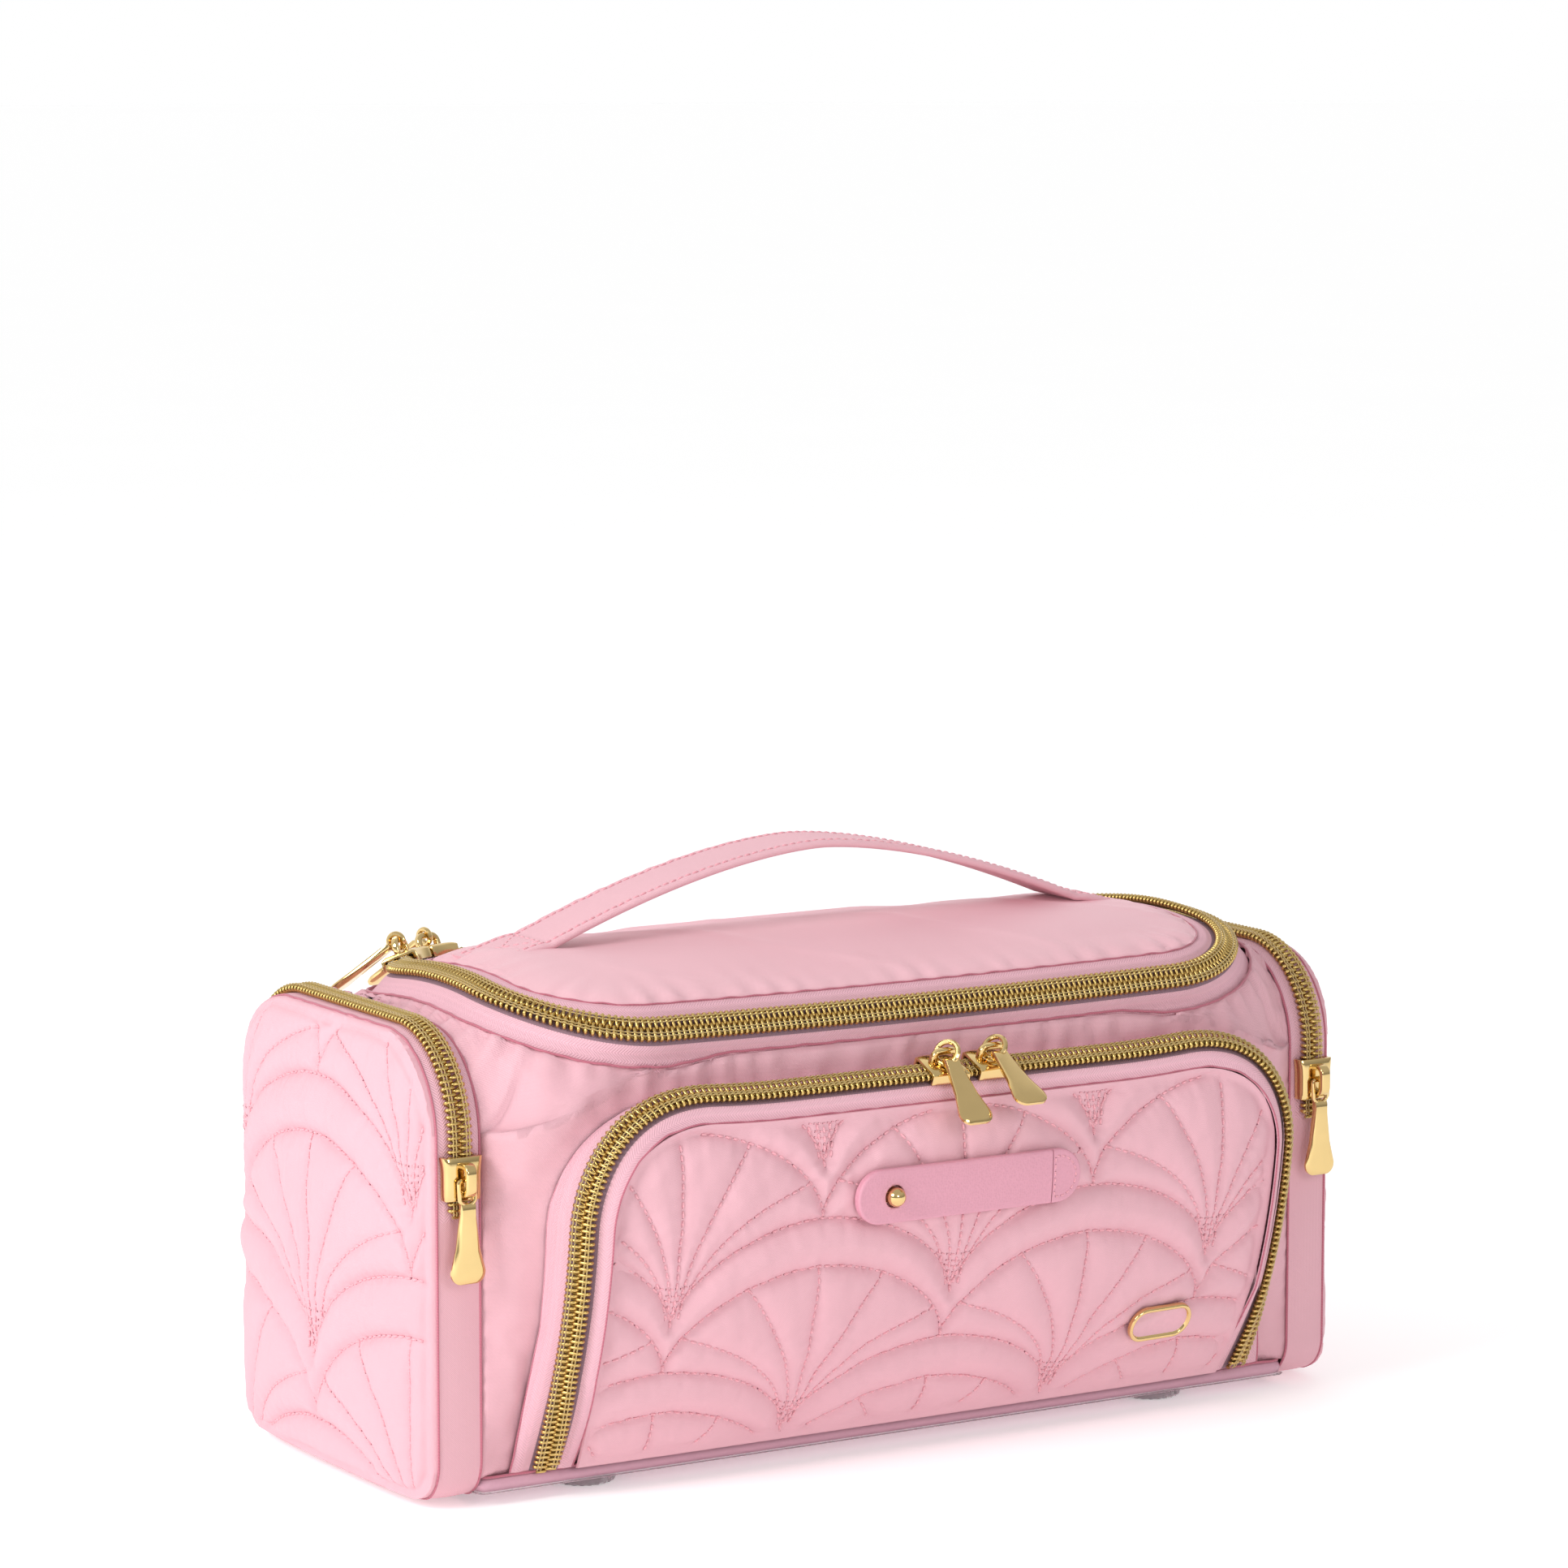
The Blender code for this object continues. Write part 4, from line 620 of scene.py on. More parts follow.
def fabric(name, colour, roughness, pitch, relief, pattern="twill", sheen=0.25, contrast=0.06):
    """Woven cloth with thread relief, a soft sheen and slightly uneven dye."""
    shader = Shader(name, roughness)
    place = shader.object_place()
    threads = weave_height(shader, pattern, pitch)
    fine = shader.noise(place, 900.0, 2.0)
    broad = shader.noise(place, 22.0)
    dyed = shader.mix(broad, shade(colour, 0.96), shade(colour, 1.05))
    shadow = shader.maths("MULTIPLY_ADD", threads, contrast)
    shadow.node.inputs[2].default_value = contrast
    threaded = shader.mix(shadow, dyed, shade(colour, 0.72))
    speckle = shader.maths("MULTIPLY", fine, 0.14)
    shader.link(shader.mix(speckle, threaded, shade(colour, 1.22)), "Base Color")
    rough = shader.maths("MULTIPLY_ADD", broad, 0.16)
    rough.node.inputs[2].default_value = roughness - 0.08
    shader.link(rough, "Roughness")
    shader.set("Sheen Weight", sheen)
    shader.set("Sheen Roughness", 0.4)
    shader.set("Sheen Tint", shade(colour, 1.2))
    height = shader.maths("ADD", threads, shader.maths("MULTIPLY", fine, 0.8))
    shader.bump(height, 0.5, relief)
    return shader.material


def thread_material(name, colour, roughness=0.5):
    """Twisted sewing thread."""
    shader = Shader(name, roughness)
    place = shader.object_place()
    twist = shader.node("ShaderNodeTexWave", {"Vector": place, "Scale": 700.0, "Distortion": 1.5},
                        bands_direction="DIAGONAL").outputs[1]
    shader.link(shader.mix(twist, shade(colour, 0.9), shade(colour, 1.1)), "Base Color")
    shader.set("Sheen Weight", 0.3)
    shader.bump(twist, 0.4, 0.05 * MM)
    return shader.material


def metal(name, colour, roughness, wear):
    """Plated metal with faint brushing and rubbed spots."""
    shader = Shader(name, roughness, 1.0)
    place = shader.object_place()
    rubbed = shader.noise(place, 160.0)
    scratch = shader.noise(place, 1400.0, 2.0)
    shader.link(shader.mix(rubbed, shade(colour, 0.93), shade(colour, 1.05)), "Base Color")
    rough = shader.maths("MULTIPLY_ADD", scratch, wear)
    rough.node.inputs[2].default_value = roughness - wear / 2
    shader.link(rough, "Roughness")
    shader.bump(scratch, 0.05, 0.02 * MM)
    return shader.material


def leather(name, colour):
    """Embossed cross-grain leather with soft sheen."""
    shader = Shader(name, 0.5)
    place = shader.object_place()
    cells = shader.node("ShaderNodeTexVoronoi", {"Vector": place, "Scale": 1250.0, "Randomness": 0.75})
    grain = cells.outputs["Distance"]
    broad = shader.noise(place, 60.0)
    base = shader.mix(broad, shade(colour, 0.97), shade(colour, 1.04))
    shader.link(shader.mix(shader.maths("MULTIPLY", grain, 0.5), shade(colour, 0.86), base), "Base Color")
    shader.set("Coat Weight", 0.08)
    shader.bump(grain, 0.6, 0.16 * MM)
    return shader.material


def moulded(name, colour, roughness, transmission=0.0):
    """Moulded or calendered plastic with a fine pebbled skin."""
    shader = Shader(name, roughness)
    place = shader.object_place()
    pebble = shader.noise(place, 700.0, 2.0)
    shader.link(shader.mix(pebble, shade(colour, 0.95), shade(colour, 1.05)), "Base Color")
    shader.set("Transmission Weight", transmission)
    shader.set("IOR", 1.45)
    shader.bump(pebble, 0.2, 0.06 * MM)
    return shader.material


def pressed_board(name, colour):
    """Grey board, fibrous and dull."""
    shader = Shader(name, 0.9)
    place = shader.object_place()
    fibre = shader.node("ShaderNodeTexNoise", {"Vector": place, "Scale": 320.0, "Detail": 6.0}).outputs[0]
    shader.link(shader.mix(fibre, shade(colour, 0.8), shade(colour, 1.2)), "Base Color")
    shader.bump(fibre, 0.5, 0.1 * MM)
    return shader.material


def lining_material(name, colour):
    """Thin plain-woven lining on a CAD node, which has no stored cloth coordinates."""
    shader = Shader(name, 0.6)
    place = shader.object_place()
    wave = {"Vector": place, "Scale": 420.0, "Distortion": 0.6}
    warp = shader.node("ShaderNodeTexWave", wave, bands_direction="DIAGONAL").outputs[1]
    broad = shader.noise(place, 25.0)
    dyed = shader.mix(broad, shade(colour, 0.94), shade(colour, 1.05))
    shader.link(shader.mix(shader.maths("MULTIPLY", warp, 0.2), dyed, shade(colour, 0.8)), "Base Color")
    shader.set("Sheen Weight", 0.2)
    shader.bump(warp, 0.4, 0.08 * MM)
    return shader.material


NYLON = fabric("nylon_twill", PINK, 0.62, 0.62 * MM, 0.05 * MM, contrast=0.05)
SATIN = fabric("nylon_satin", PINK_LIGHT, 0.46, 0.45 * MM, 0.02 * MM, sheen=0.35, contrast=0.03)
QUILT = fabric("quilted_nylon", PINK, 0.5, 0.45 * MM, 0.025 * MM, sheen=0.3, contrast=0.03)
TAPE = fabric("zip_tape_weave", TAPE_PINK, 0.75, 0.95 * MM, 0.12 * MM, "herringbone", 0.2, 0.2)
WEBBING = fabric("handle_weave", PINK_LIGHT, 0.6, 0.7 * MM, 0.06 * MM, contrast=0.06)
# Tape under the coil is darker as painted shade between the coil's turns.
TAPE_UNDER_COIL_SHADE = fabric("zip_tape_under_coil_shade", UNDER_COIL_SHADE_GREY, 0.8, 0.8 * MM, 0.05 * MM)
THREAD = thread_material("quilting_thread", THREAD_PINK)
# Seam cords take this dark pink as painted shade in the seam creases.
SEAM_SHADE = thread_material("seam_fold_painted_shade", SEAM_SHADE_PINK, 0.7)
# Needle holes are dark plugs coloured as painted shade.
HOLE_SHADE = thread_material("needle_hole_shade", HOLE_SHADE_PINK, 0.8)
COIL_THREAD = thread_material("coil_thread", shade(COIL_GOLD, 0.8))
COIL = metal("gold_coil", COIL_GOLD, 0.3, 0.12)
POLISHED = metal("polished_gold", GOLD, 0.12, 0.06)
LEATHER = leather("pink_leather", LEATHER_PINK)
VINYL = moulded("base_vinyl", MAUVE, 0.35)
ENAMEL = moulded("pink_enamel", PINK, 0.25)
CLEAR = moulded("clear_plastic", WHITE, 0.12, 0.85)
LINING = lining_material("lining_cloth", CREAM)
INNER_PINK = lining_material("inner_cloth", PINK)
BOARD = pressed_board("pressed_board", BOARD_GREY)


# ---------------------------------------------------------------- mesh building

def grid_faces(rows, columns, closed=False, start=0):
    index = np.arange(rows * columns).reshape(rows, columns) + start
    if closed:
        index = np.concatenate([index, index[:, :1]], axis=1)
    quads = np.stack([index[:-1, :-1], index[:-1, 1:], index[1:, 1:], index[1:, :-1]], axis=-1)
    return quads.reshape(-1, 4).tolist()


def rim_faces(edge, count):
    """Faces between an edge of one grid and the same edge of the next."""
    return [[a, b, b + count, a + count] for a, b in zip(edge[:-1], edge[1:])]


def grid_normals(grid, closed=False, centre=(0.0, 0.0, 0.06)):
    """Unit normals of a grid of points, pointing away from the middle of the case."""
    if closed:
        wrapped = np.concatenate([grid[:, -1:], grid, grid[:, :1]], axis=1)
        along = wrapped[:, 2:] - wrapped[:, :-2]
    else:
        along = np.gradient(grid, axis=1)
    normals = unit(np.cross(along, np.gradient(grid, axis=0)))
    outward = np.einsum("ijk,ijk->ij", normals, grid - np.array(centre))
    return normals * np.where(outward < 0.0, -1.0, 1.0)[:, :, None]


class Pile:
    """Points and faces of several shapes that make one mesh."""

    def __init__(self):
        self.points = []
        self.faces = []
        self.slots = []
        self.count = 0

    def add(self, points, faces, slot=0):
        points = np.array(points, dtype=float).reshape(-1, 3)
        self.points.append(points)
        self.faces += [[index + self.count for index in face] for face in faces]
        self.slots += [slot] * len(faces)
        self.count += len(points)

    def build(self, name, materials, turn_out=True):
        return make_object(name, np.concatenate(self.points), self.faces, materials, self.slots, turn_out)


def make_object(name, points, faces, materials, slots=None, turn_out=True):
    mesh = bpy.data.meshes.new(name)
    shifted = np.array(points) + np.array((0.0, FRAME_Y, 0.0))
    mesh.from_pydata(shifted.tolist(), [], faces)
    if turn_out:
        data = bmesh.new()
        data.from_mesh(mesh)
        bmesh.ops.recalc_face_normals(data, faces=data.faces)
        data.to_mesh(mesh)
        data.free()
    for material in materials:
        mesh.materials.append(material)
    if slots is not None:
        mesh.polygons.foreach_set("material_index", slots)
    mesh.shade_smooth()
    obj = bpy.data.objects.new(name, mesh)
    bpy.context.scene.collection.objects.link(obj)
    return obj


def store_weave(obj, coordinates):
    """Keep cloth coordinates, in metres along and across, on the points of a piece."""
    flat = np.zeros((len(obj.data.vertices), 3))
    flat[:, :2] = coordinates
    attribute = obj.data.attributes.new("weave", "FLOAT_VECTOR", "POINT")
    attribute.data.foreach_set("vector", flat.ravel())


def cloth_coordinates(grid):
    """Distance along and across a grid of points."""
    along = np.linalg.norm(np.diff(grid, axis=1), axis=2)
    across = np.linalg.norm(np.diff(grid, axis=0), axis=2)
    u = np.concatenate([np.zeros((grid.shape[0], 1)), np.cumsum(along, axis=1)], axis=1)
    v = np.concatenate([np.zeros((1, grid.shape[1])), np.cumsum(across, axis=0)], axis=0)
    middle = grid.shape[0] // 2
    return np.stack([np.broadcast_to(u[middle], u.shape), v], axis=-1).reshape(-1, 2)


def slab(name, outer, inner, materials, closed=False, slots=None):
    """Closed sheet between two equal grids of points, with its cloth coordinates."""
    rows, columns = outer.shape[:2]
    count = rows * columns
    faces = grid_faces(rows, columns, closed) + grid_faces(rows, columns, closed, count)
    index = np.arange(count).reshape(rows, columns)
    for edge in (index[0], index[-1]):
        edge = edge.tolist() + ([int(edge[0])] if closed else [])
        faces += rim_faces(edge, count)
    if not closed:
        for edge in (index[:, 0], index[:, -1]):
            faces += rim_faces(edge.tolist(), count)
    if slots is not None:
        slots = list(slots) * 2 + [0] * (len(faces) - 2 * len(slots))
    points = np.concatenate([outer.reshape(-1, 3), inner.reshape(-1, 3)])
    obj = make_object(name, points, faces, materials, slots)
    obj.data.set_sharp_from_angle(angle=math.radians(60.0))
    store_weave(obj, np.tile(cloth_coordinates(outer), (2, 1)))
    return obj


def ribbon(name, rows, materials, half=TAPE_HALF, closed=False, slots=None, centre=(0.0, 0.0, 0.06)):
    """Woven tape along a grid of points."""
    normals = grid_normals(rows, closed, centre)
    return slab(name, rows + normals * half, rows - normals * half, materials, closed, slots)


def tube(points, radii, references, sides, closed=False):
    """Points and faces of a round bar; references are directions that stay off its own."""
    points = np.array(points)
    if closed:
        wrapped = np.concatenate([points[-1:], points, points[:1]])
        tangents = unit(wrapped[2:] - wrapped[:-2])
    else:
        tangents = unit(np.gradient(points, axis=0))
    first = unit(np.cross(references, tangents))
    second = np.cross(tangents, first)
    angles = np.linspace(0.0, 2.0 * math.pi, sides, endpoint=False)
    ring = np.cos(angles)[None, :, None] * first[:, None] + np.sin(angles)[None, :, None] * second[:, None]
    result = points[:, None] + ring * np.broadcast_to(radii, len(points))[:, None, None]
    index = np.arange(len(points) * sides).reshape(len(points), sides)
    if closed:
        index = np.concatenate([index, index[:1]])
    wrapped_index = np.concatenate([index, index[:, :1]], axis=1)
    quads = np.stack([wrapped_index[:-1, :-1], wrapped_index[:-1, 1:],
                      wrapped_index[1:, 1:], wrapped_index[1:, :-1]], axis=-1)
    faces = quads.reshape(-1, 4).tolist()
    if not closed:
        faces += [index[0].tolist(), index[-1].tolist()[::-1]]
    return result.reshape(-1, 3), faces


def stacked(rings):
    """Points and faces of a closed solid through rings of equal count."""
    rings = np.array(rings)
    count = rings.shape[1]
    faces = grid_faces(len(rings), count, closed=True)
    faces += [list(range(count)), list(range((len(rings) - 1) * count, len(rings) * count))[::-1]]
    return rings.reshape(-1, 3), faces


def apply_modifiers(obj):
    graph = bpy.context.evaluated_depsgraph_get()
    mesh = bpy.data.meshes.new_from_object(obj.evaluated_get(graph))
    old = obj.data
    obj.modifiers.clear()
    obj.data = mesh
    bpy.data.meshes.remove(old)


def bevel_edges(obj, width, segments=2, angle=30.0):
    modifier = obj.modifiers.new("edges", "BEVEL")
    modifier.width = width
    modifier.segments = segments
    modifier.limit_method = "ANGLE"
    modifier.angle_limit = math.radians(angle)
    apply_modifiers(obj)
    obj.data.shade_smooth()
    obj.data.set_sharp_from_angle(angle=math.radians(40.0))


def coordinates_of(obj):
    points = np.empty(len(obj.data.vertices) * 3)
    obj.data.vertices.foreach_get("co", points)
    return points.reshape(-1, 3)


def normals_of(obj):
    normals = np.empty(len(obj.data.vertices) * 3)
    obj.data.vertex_normals.foreach_get("vector", normals)
    return normals.reshape(-1, 3)


def set_coordinates(obj, points):
    obj.data.vertices.foreach_set("co", points.ravel())
    obj.data.update()


def pucker(obj, seam, amplitude, reach, wavelength, seed):
    """Gather cloth in small folds that run out from a seam, given in the case frame."""
    seam = resample(np.array(seam), int(arc_lengths(np.array(seam))[-1] / (0.8 * MM)))
    shifted = seam + np.array((0.0, FRAME_Y, 0.0))
    points = coordinates_of(obj)
    distance, index = nearest(points, shifted)
    fold = ripple(arc_lengths(seam)[index], wavelength, seed)
    lift = amplitude * fold * np.exp(-distance / reach) * smooth_step(distance / (1.5 * MM))
    set_coordinates(obj, points + normals_of(obj) * lift[:, None])


def settle(obj, pinned, pressure, growth, cap, frames=20):
    """Let a piece settle as cloth, its pinned points held, and keep each point within cap of its start."""
    before = coordinates_of(obj)
    group = obj.vertex_groups.new(name="held")
    group.add([int(index) for index in pinned], 1.0, "REPLACE")
    modifier = obj.modifiers.new("cloth", "CLOTH")
    cloth = modifier.settings
    cloth.quality = 6
    cloth.mass = 0.15
    cloth.tension_stiffness = 20.0
    cloth.compression_stiffness = 20.0
    cloth.shear_stiffness = 8.0
    cloth.bending_stiffness = 0.4
    cloth.effector_weights.gravity = 0.0
    cloth.use_pressure = True
    cloth.uniform_pressure_force = pressure
    cloth.shrink_min = -growth
    cloth.vertex_group_mass = "held"
    modifier.collision_settings.use_collision = False
    modifier.point_cache.frame_start = 1
    modifier.point_cache.frame_end = frames
    scene = bpy.context.scene
    for number in range(1, frames + 1):
        scene.frame_set(number)
    graph = bpy.context.evaluated_depsgraph_get()
    settled = obj.evaluated_get(graph).to_mesh()
    after = np.empty(len(before) * 3)
    settled.vertices.foreach_get("co", after)
    moved = after.reshape(-1, 3) - before
    length = np.linalg.norm(moved, axis=1, keepdims=True)
    obj.evaluated_get(graph).to_mesh_clear()
    obj.modifiers.clear()
    obj.vertex_groups.clear()
    scene.frame_set(1)
    share = np.tanh(length / cap) * cap / np.maximum(length, 1e-9)
    set_coordinates(obj, before + moved * share)


def seam_shade_cord(name, route, material, body, radius=TAPE_CORD, closed=False):
    """Rolled fold of a seam along a route, slightly uneven; its dark colour is painted shade of the seam's
    crease.
    """
    route = np.array(route)
    total = arc_lengths(route)[-1]
    route = resample(route, max(int(total / (1.4 * MM)), 8))
    if closed:
        route = route[:-1]
    waver = ripple(arc_lengths(route), 9.0 * MM, len(name)) * 0.12 * MM
    route[:, 2] += waver
    outward = unit(route - np.array((0.0, 0.0, 0.06)))
    pile = Pile()
    pile.add(*tube(route, radius, outward, 6, closed))
    cord = pile.build(name, [material])
    if body:
        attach(cord, body)
    return cord


# ---------------------------------------------------------------- stitches

def stitch_rows(lines, pitch):
    """Start and end of each stitch along flat polylines."""
    starts = []
    ends = []
    for line in lines:
        total = arc_lengths(line)[-1]
        count = max(int(total / pitch), 1)
        place = (np.arange(count) + 0.5) * total / count
        half = STITCH_LENGTH / STITCH_PITCH * pitch / 2
        starts.append(along_route(line, place - half))
        ends.append(along_route(line, place + half))
    return np.concatenate(starts), np.concatenate(ends)


def sew(name, lines, surface, pitch=STITCH_PITCH, radius=STITCH_RADIUS, inside=None, holes=True):
    """Threads and needle holes along flat lines, laid on a surface given as points and normals; each hole is
    a small dark plug whose colour is painted shade of the hole.
    """
    starts, ends = stitch_rows(lines, pitch)
    if inside is not None:
        keep = inside(starts) & inside(ends)
        starts, ends = starts[keep], ends[keep]
    shares = np.array((0.0, 0.14, 0.5, 0.86, 1.0))
    lifts = np.array((-0.12, 0.08, 0.16, 0.08, -0.12)) * MM
    widths = np.array((0.45, 0.9, 1.0, 0.9, 0.45)) * radius
    flat = starts[:, None] + (ends - starts)[:, None] * shares[None, :, None]
    points, normals = surface(flat.reshape(-1, 2))
    points = points.reshape(len(starts), len(shares), 3)
    normals = normals.reshape(points.shape)
    centres = points + normals * lifts[None, :, None]
    tangents = unit(np.gradient(centres, axis=1))
    sideways = unit(np.cross(normals, tangents))
    upward = np.cross(tangents, sideways)
    sides = 6
    angles = np.linspace(0.0, 2.0 * math.pi, sides, endpoint=False)
    ring = (np.cos(angles)[:, None] * sideways[:, :, None] + np.sin(angles)[:, None] * upward[:, :, None])
    threads = centres[:, :, None] + ring * widths[None, :, None, None]
    pile = Pile()
    one = grid_faces(len(shares), sides, closed=True)
    one += [list(range(sides)), list(range((len(shares) - 1) * sides, len(shares) * sides))[::-1]]
    block = len(shares) * sides
    faces = [[index + stitch * block for index in face] for stitch in range(len(starts)) for face in one]
    pile.add(threads, faces)
    materials = [THREAD]
    if holes:
        # Short dark plugs at each stitch's start stand in for the needle holes: painted shade.
        materials.append(HOLE_SHADE)
        corner = points[:, 0] + normals[:, 0] * 0.05 * MM - tangents[:, 0] * 0.15 * MM
        low = corner - normals[:, 0] * 0.25 * MM
        disc = (np.cos(angles)[:, None] * sideways[:, 0][:, None]
                + np.sin(angles)[:, None] * tangents[:, 0][:, None])
        rims = np.stack([low[:, None] + disc * HOLE_RADIUS,
                         corner[:, None] + disc * HOLE_RADIUS * 0.8], axis=1)
        one = grid_faces(2, sides, closed=True) + [list(range(sides)), list(range(sides, 2 * sides))[::-1]]
        faces = [[index + hole * 2 * sides for index in face] for hole in range(len(starts)) for face in one]
        pile.add(rims, faces, 1)
    return pile.build(name, materials)


# ---------------------------------------------------------------- quilting pattern

def curve_points(controls, count=40):
    """Points of a quadratic curve with three controls."""
    a, b, c = np.array(controls, dtype=float)
    t = np.linspace(0.0, 1.0, count)[:, None]
    return (1 - t) ** 2 * a + 2 * t * (1 - t) * b + t ** 2 * c


class Scallops:
    """Fan and scallop quilting: arches in staggered rows, with rays that fan up from each foot."""

    HALF = 49.0 * MM
    ROW = 46.5 * MM
    ARCH = 30.7 * MM
    BAND = 15.6 * MM
    RAYS = (((1.0, 3.0), (2.5, 30.0), (24.0, 57.0)), ((2.0, 3.0), (7.0, 32.0), (44.4, 42.5)))
    CROSS_ROWS = ((3.5, 0.6), (5.5, 1.2), (7.5, 2.2), (9.5, 3.4), (11.5, 5.2), (14.0, 7.0))

    def __init__(self, origin, scale, reach):
        self.origin = np.array(origin)
        self.scale = scale
        self.reach = reach

    def apexes(self):
        """Feet of the fans that touch the sewn region."""
        half = self.HALF * self.scale
        row = self.ROW * self.scale
        feet = []
        for level in range(-3, 4):
            for step in range(-6, 7):
                if (level + step) % 2 == 0:
                    foot = self.origin + np.array((step * half, level * row))
                    if abs(foot[0]) < self.reach + half:
                        feet.append(foot)
        return feet

    def arch(self, drop):
        x = np.linspace(-1.0, 1.0, 121)
        x = np.sin(x * math.pi / 2)
        height = (1.0 - np.abs(x) ** SCALLOP_POWER) ** (1.0 / SCALLOP_POWER)
        return np.stack([x * self.HALF, self.ROW - drop + self.ARCH * height], axis=1)

    def arches(self):
        return [foot + self.arch(drop) * self.scale for foot in self.apexes() for drop in (0.0, self.BAND)]

    def rays(self):
        straight = np.array(((0.0, 2.0), (0.0, 61.5))) * MM
        shapes = [resample(straight, 40)]
        for controls in self.RAYS:
            bent = curve_points(controls) * MM
            shapes += [bent, bent * np.array((-1.0, 1.0))]
        return [foot + shape * self.scale for foot in self.apexes() for shape in shapes]

    def cross_rows(self):
        rows = []
        for height, width in self.CROSS_ROWS:
            bend = np.array(((-width, height + 0.5), (0.0, height - 0.6), (width, height + 0.5)))
            rows.append(curve_points(bend, 12) * MM)
        return [foot + row * self.scale for foot in self.apexes() for row in rows]


def flat_distance(flat, lines, step=0.6 * MM):
    """Distance to the nearest line, and the distance along that line, of flat points."""
    spots = []
    runs = []
    for line in lines:
        fine = resample(line, max(int(arc_lengths(line)[-1] / step), 2))
        spots.append(fine)
        runs.append(arc_lengths(fine))
    spots = np.concatenate(spots)
    runs = np.concatenate(runs)
    distance, index = nearest(np.pad(flat, ((0, 0), (0, 1))), np.pad(spots, ((0, 0), (0, 1))))
    return distance, runs[index]


def quilt_relief(flat, pattern, edge, seed):
    """Height of the quilted padding above its plain face; edge is the distance to the outer seam."""
    arch, arch_run = flat_distance(flat, pattern.arches())
    ray, ray_run = flat_distance(flat, pattern.rays())
    puffed = (1.0 - np.exp(-arch / ARCH_SOFTNESS)) * (1.0 - RAY_DEPTH * np.exp(-ray / RAY_SOFTNESS))
    border = 1.0 - np.exp(-edge / ARCH_SOFTNESS)
    height = QUILT_HEIGHT * (puffed * border - QUILT_LEVEL)
    arch_fade = np.exp(-arch / (3.2 * MM)) * smooth_step(arch / MM)
    ray_fade = np.exp(-ray / (2.4 * MM)) * smooth_step(ray / MM)
    height += 0.24 * MM * ripple(arch_run, 4.5 * MM, seed) * arch_fade
    height += 0.15 * MM * ripple(ray_run, 4.0 * MM, seed + 1) * ray_fade
    arch_groove = np.exp(-(arch / STITCH_GROOVE_WIDTH) ** 2)
    ray_groove = np.exp(-(ray / STITCH_GROOVE_WIDTH) ** 2)
    height -= STITCH_GROOVE * (arch_groove + 0.7 * ray_groove)
    height += 0.3 * MM * waves_over(flat, 26.0 * MM, seed + 2)
    height += 0.12 * MM * waves_over(flat, 9.0 * MM, seed + 3)
    return height


class QuiltSheet:
    """Grid of points between two edges, which can be read at any flat point."""

    def __init__(self, columns, low, high, rows, level_of):
        self.columns = columns
        self.low = low
        self.high = high
        self.level_of = level_of
        share = np.linspace(0.0, 1.0, rows)[:, None]
        self.levels = low(columns)[None] + (high(columns) - low(columns))[None] * share
        self.grid = None
        self.normals = None

    def inside(self, flat):
        column, level = flat[:, 0], self.level_of(flat[:, 1])
        reach = self.columns[-1] - STITCH_MARGIN
        slope = STITCH_MARGIN * (1.0 + 2.0 * (np.abs(column) / self.columns[-1]) ** 8)
        return (np.abs(column) < reach) & (level > self.low(column) + STITCH_MARGIN) \
            & (level < self.high(column) - slope)

    def read(self, flat):
        """Points and normals of the finished face at flat points."""
        column, level = flat[:, 0], self.level_of(flat[:, 1])
        low = self.low(column)
        share = np.clip((level - low) / (self.high(column) - low), 0.0, 1.0)
        row = share * (self.grid.shape[0] - 1)
        place = np.interp(column, self.columns, np.arange(len(self.columns)))
        row_low = np.clip(row.astype(int), 0, self.grid.shape[0] - 2)
        place_low = np.clip(place.astype(int), 0, self.grid.shape[1] - 2)
        r = (row - row_low)[:, None]
        c = (place - place_low)[:, None]
        result = []
        for values in (self.grid, self.normals):
            near = values[row_low, place_low] * (1 - c) + values[row_low, place_low + 1] * c
            far = values[row_low + 1, place_low] * (1 - c) + values[row_low + 1, place_low + 1] * c
            result.append(near * (1 - r) + far * r)
        return result[0], unit(result[1])


def spread_columns(half, count):
    """Columns from side to side, closer together near the sides."""
    t = np.linspace(-1.0, 1.0, count)
    return half * (0.6 * t + 0.4 * np.sin(t * math.pi / 2))


def edge_distance(flat, outline):
    distance, _ = nearest(np.pad(flat, ((0, 0), (0, 1))), np.pad(resample(outline, 900), ((0, 0), (0, 1))))
    return distance


# ---------------------------------------------------------------- zips

def coil_loop():
    """One turn of the coil: across, height, share of the pitch and thickness at each point."""
    high = CHAIN_HIGH - COIL_RADIUS
    low = CHAIN_LOW + COIL_RADIUS
    middle = (high + low) / 2
    bend = (high - low) / 2
    heel = CHAIN_HALF - COIL_RADIUS
    head = -COIL_REACH + COIL_RADIUS
    points = [(heel - bend, high, 0.0, 1.0), ((heel + head) / 2, high + 0.1 * MM, 0.0, 0.92),
              (head + bend, high, 0.02, 1.0)]
    for angle in (45.0, 90.0, 135.0):
        turn = math.radians(angle)
        points.append((head + bend - bend * math.sin(turn), middle + bend * math.cos(turn), 0.06, 0.9))
    points += [(head + bend, low, 0.2, 0.9), (heel - bend, low, 0.8, 0.9)]
    for angle in (-135.0, -90.0, -45.0):
        turn = math.radians(angle)
        points.append((heel - bend - bend * math.sin(turn), middle + bend * math.cos(turn), 0.97, 1.0))
    return np.array(points)


def coil_half(pile, path, side, phase):
    """One side of the coil, as one filament bent to and fro along its tape."""
    loop = coil_loop()
    turns = int(path.lengths[-1] / COIL_PITCH - phase)
    station = ((np.arange(turns)[:, None] + loop[None, :, 2] + phase) * COIL_PITCH).ravel()
    centres = path.place(station, side * np.tile(loop[:, 0], turns), np.tile(loop[:, 1], turns))
    pile.add(*tube(centres, np.tile(loop[:, 3], turns) * COIL_RADIUS, path.heading(station), COIL_SIDES))


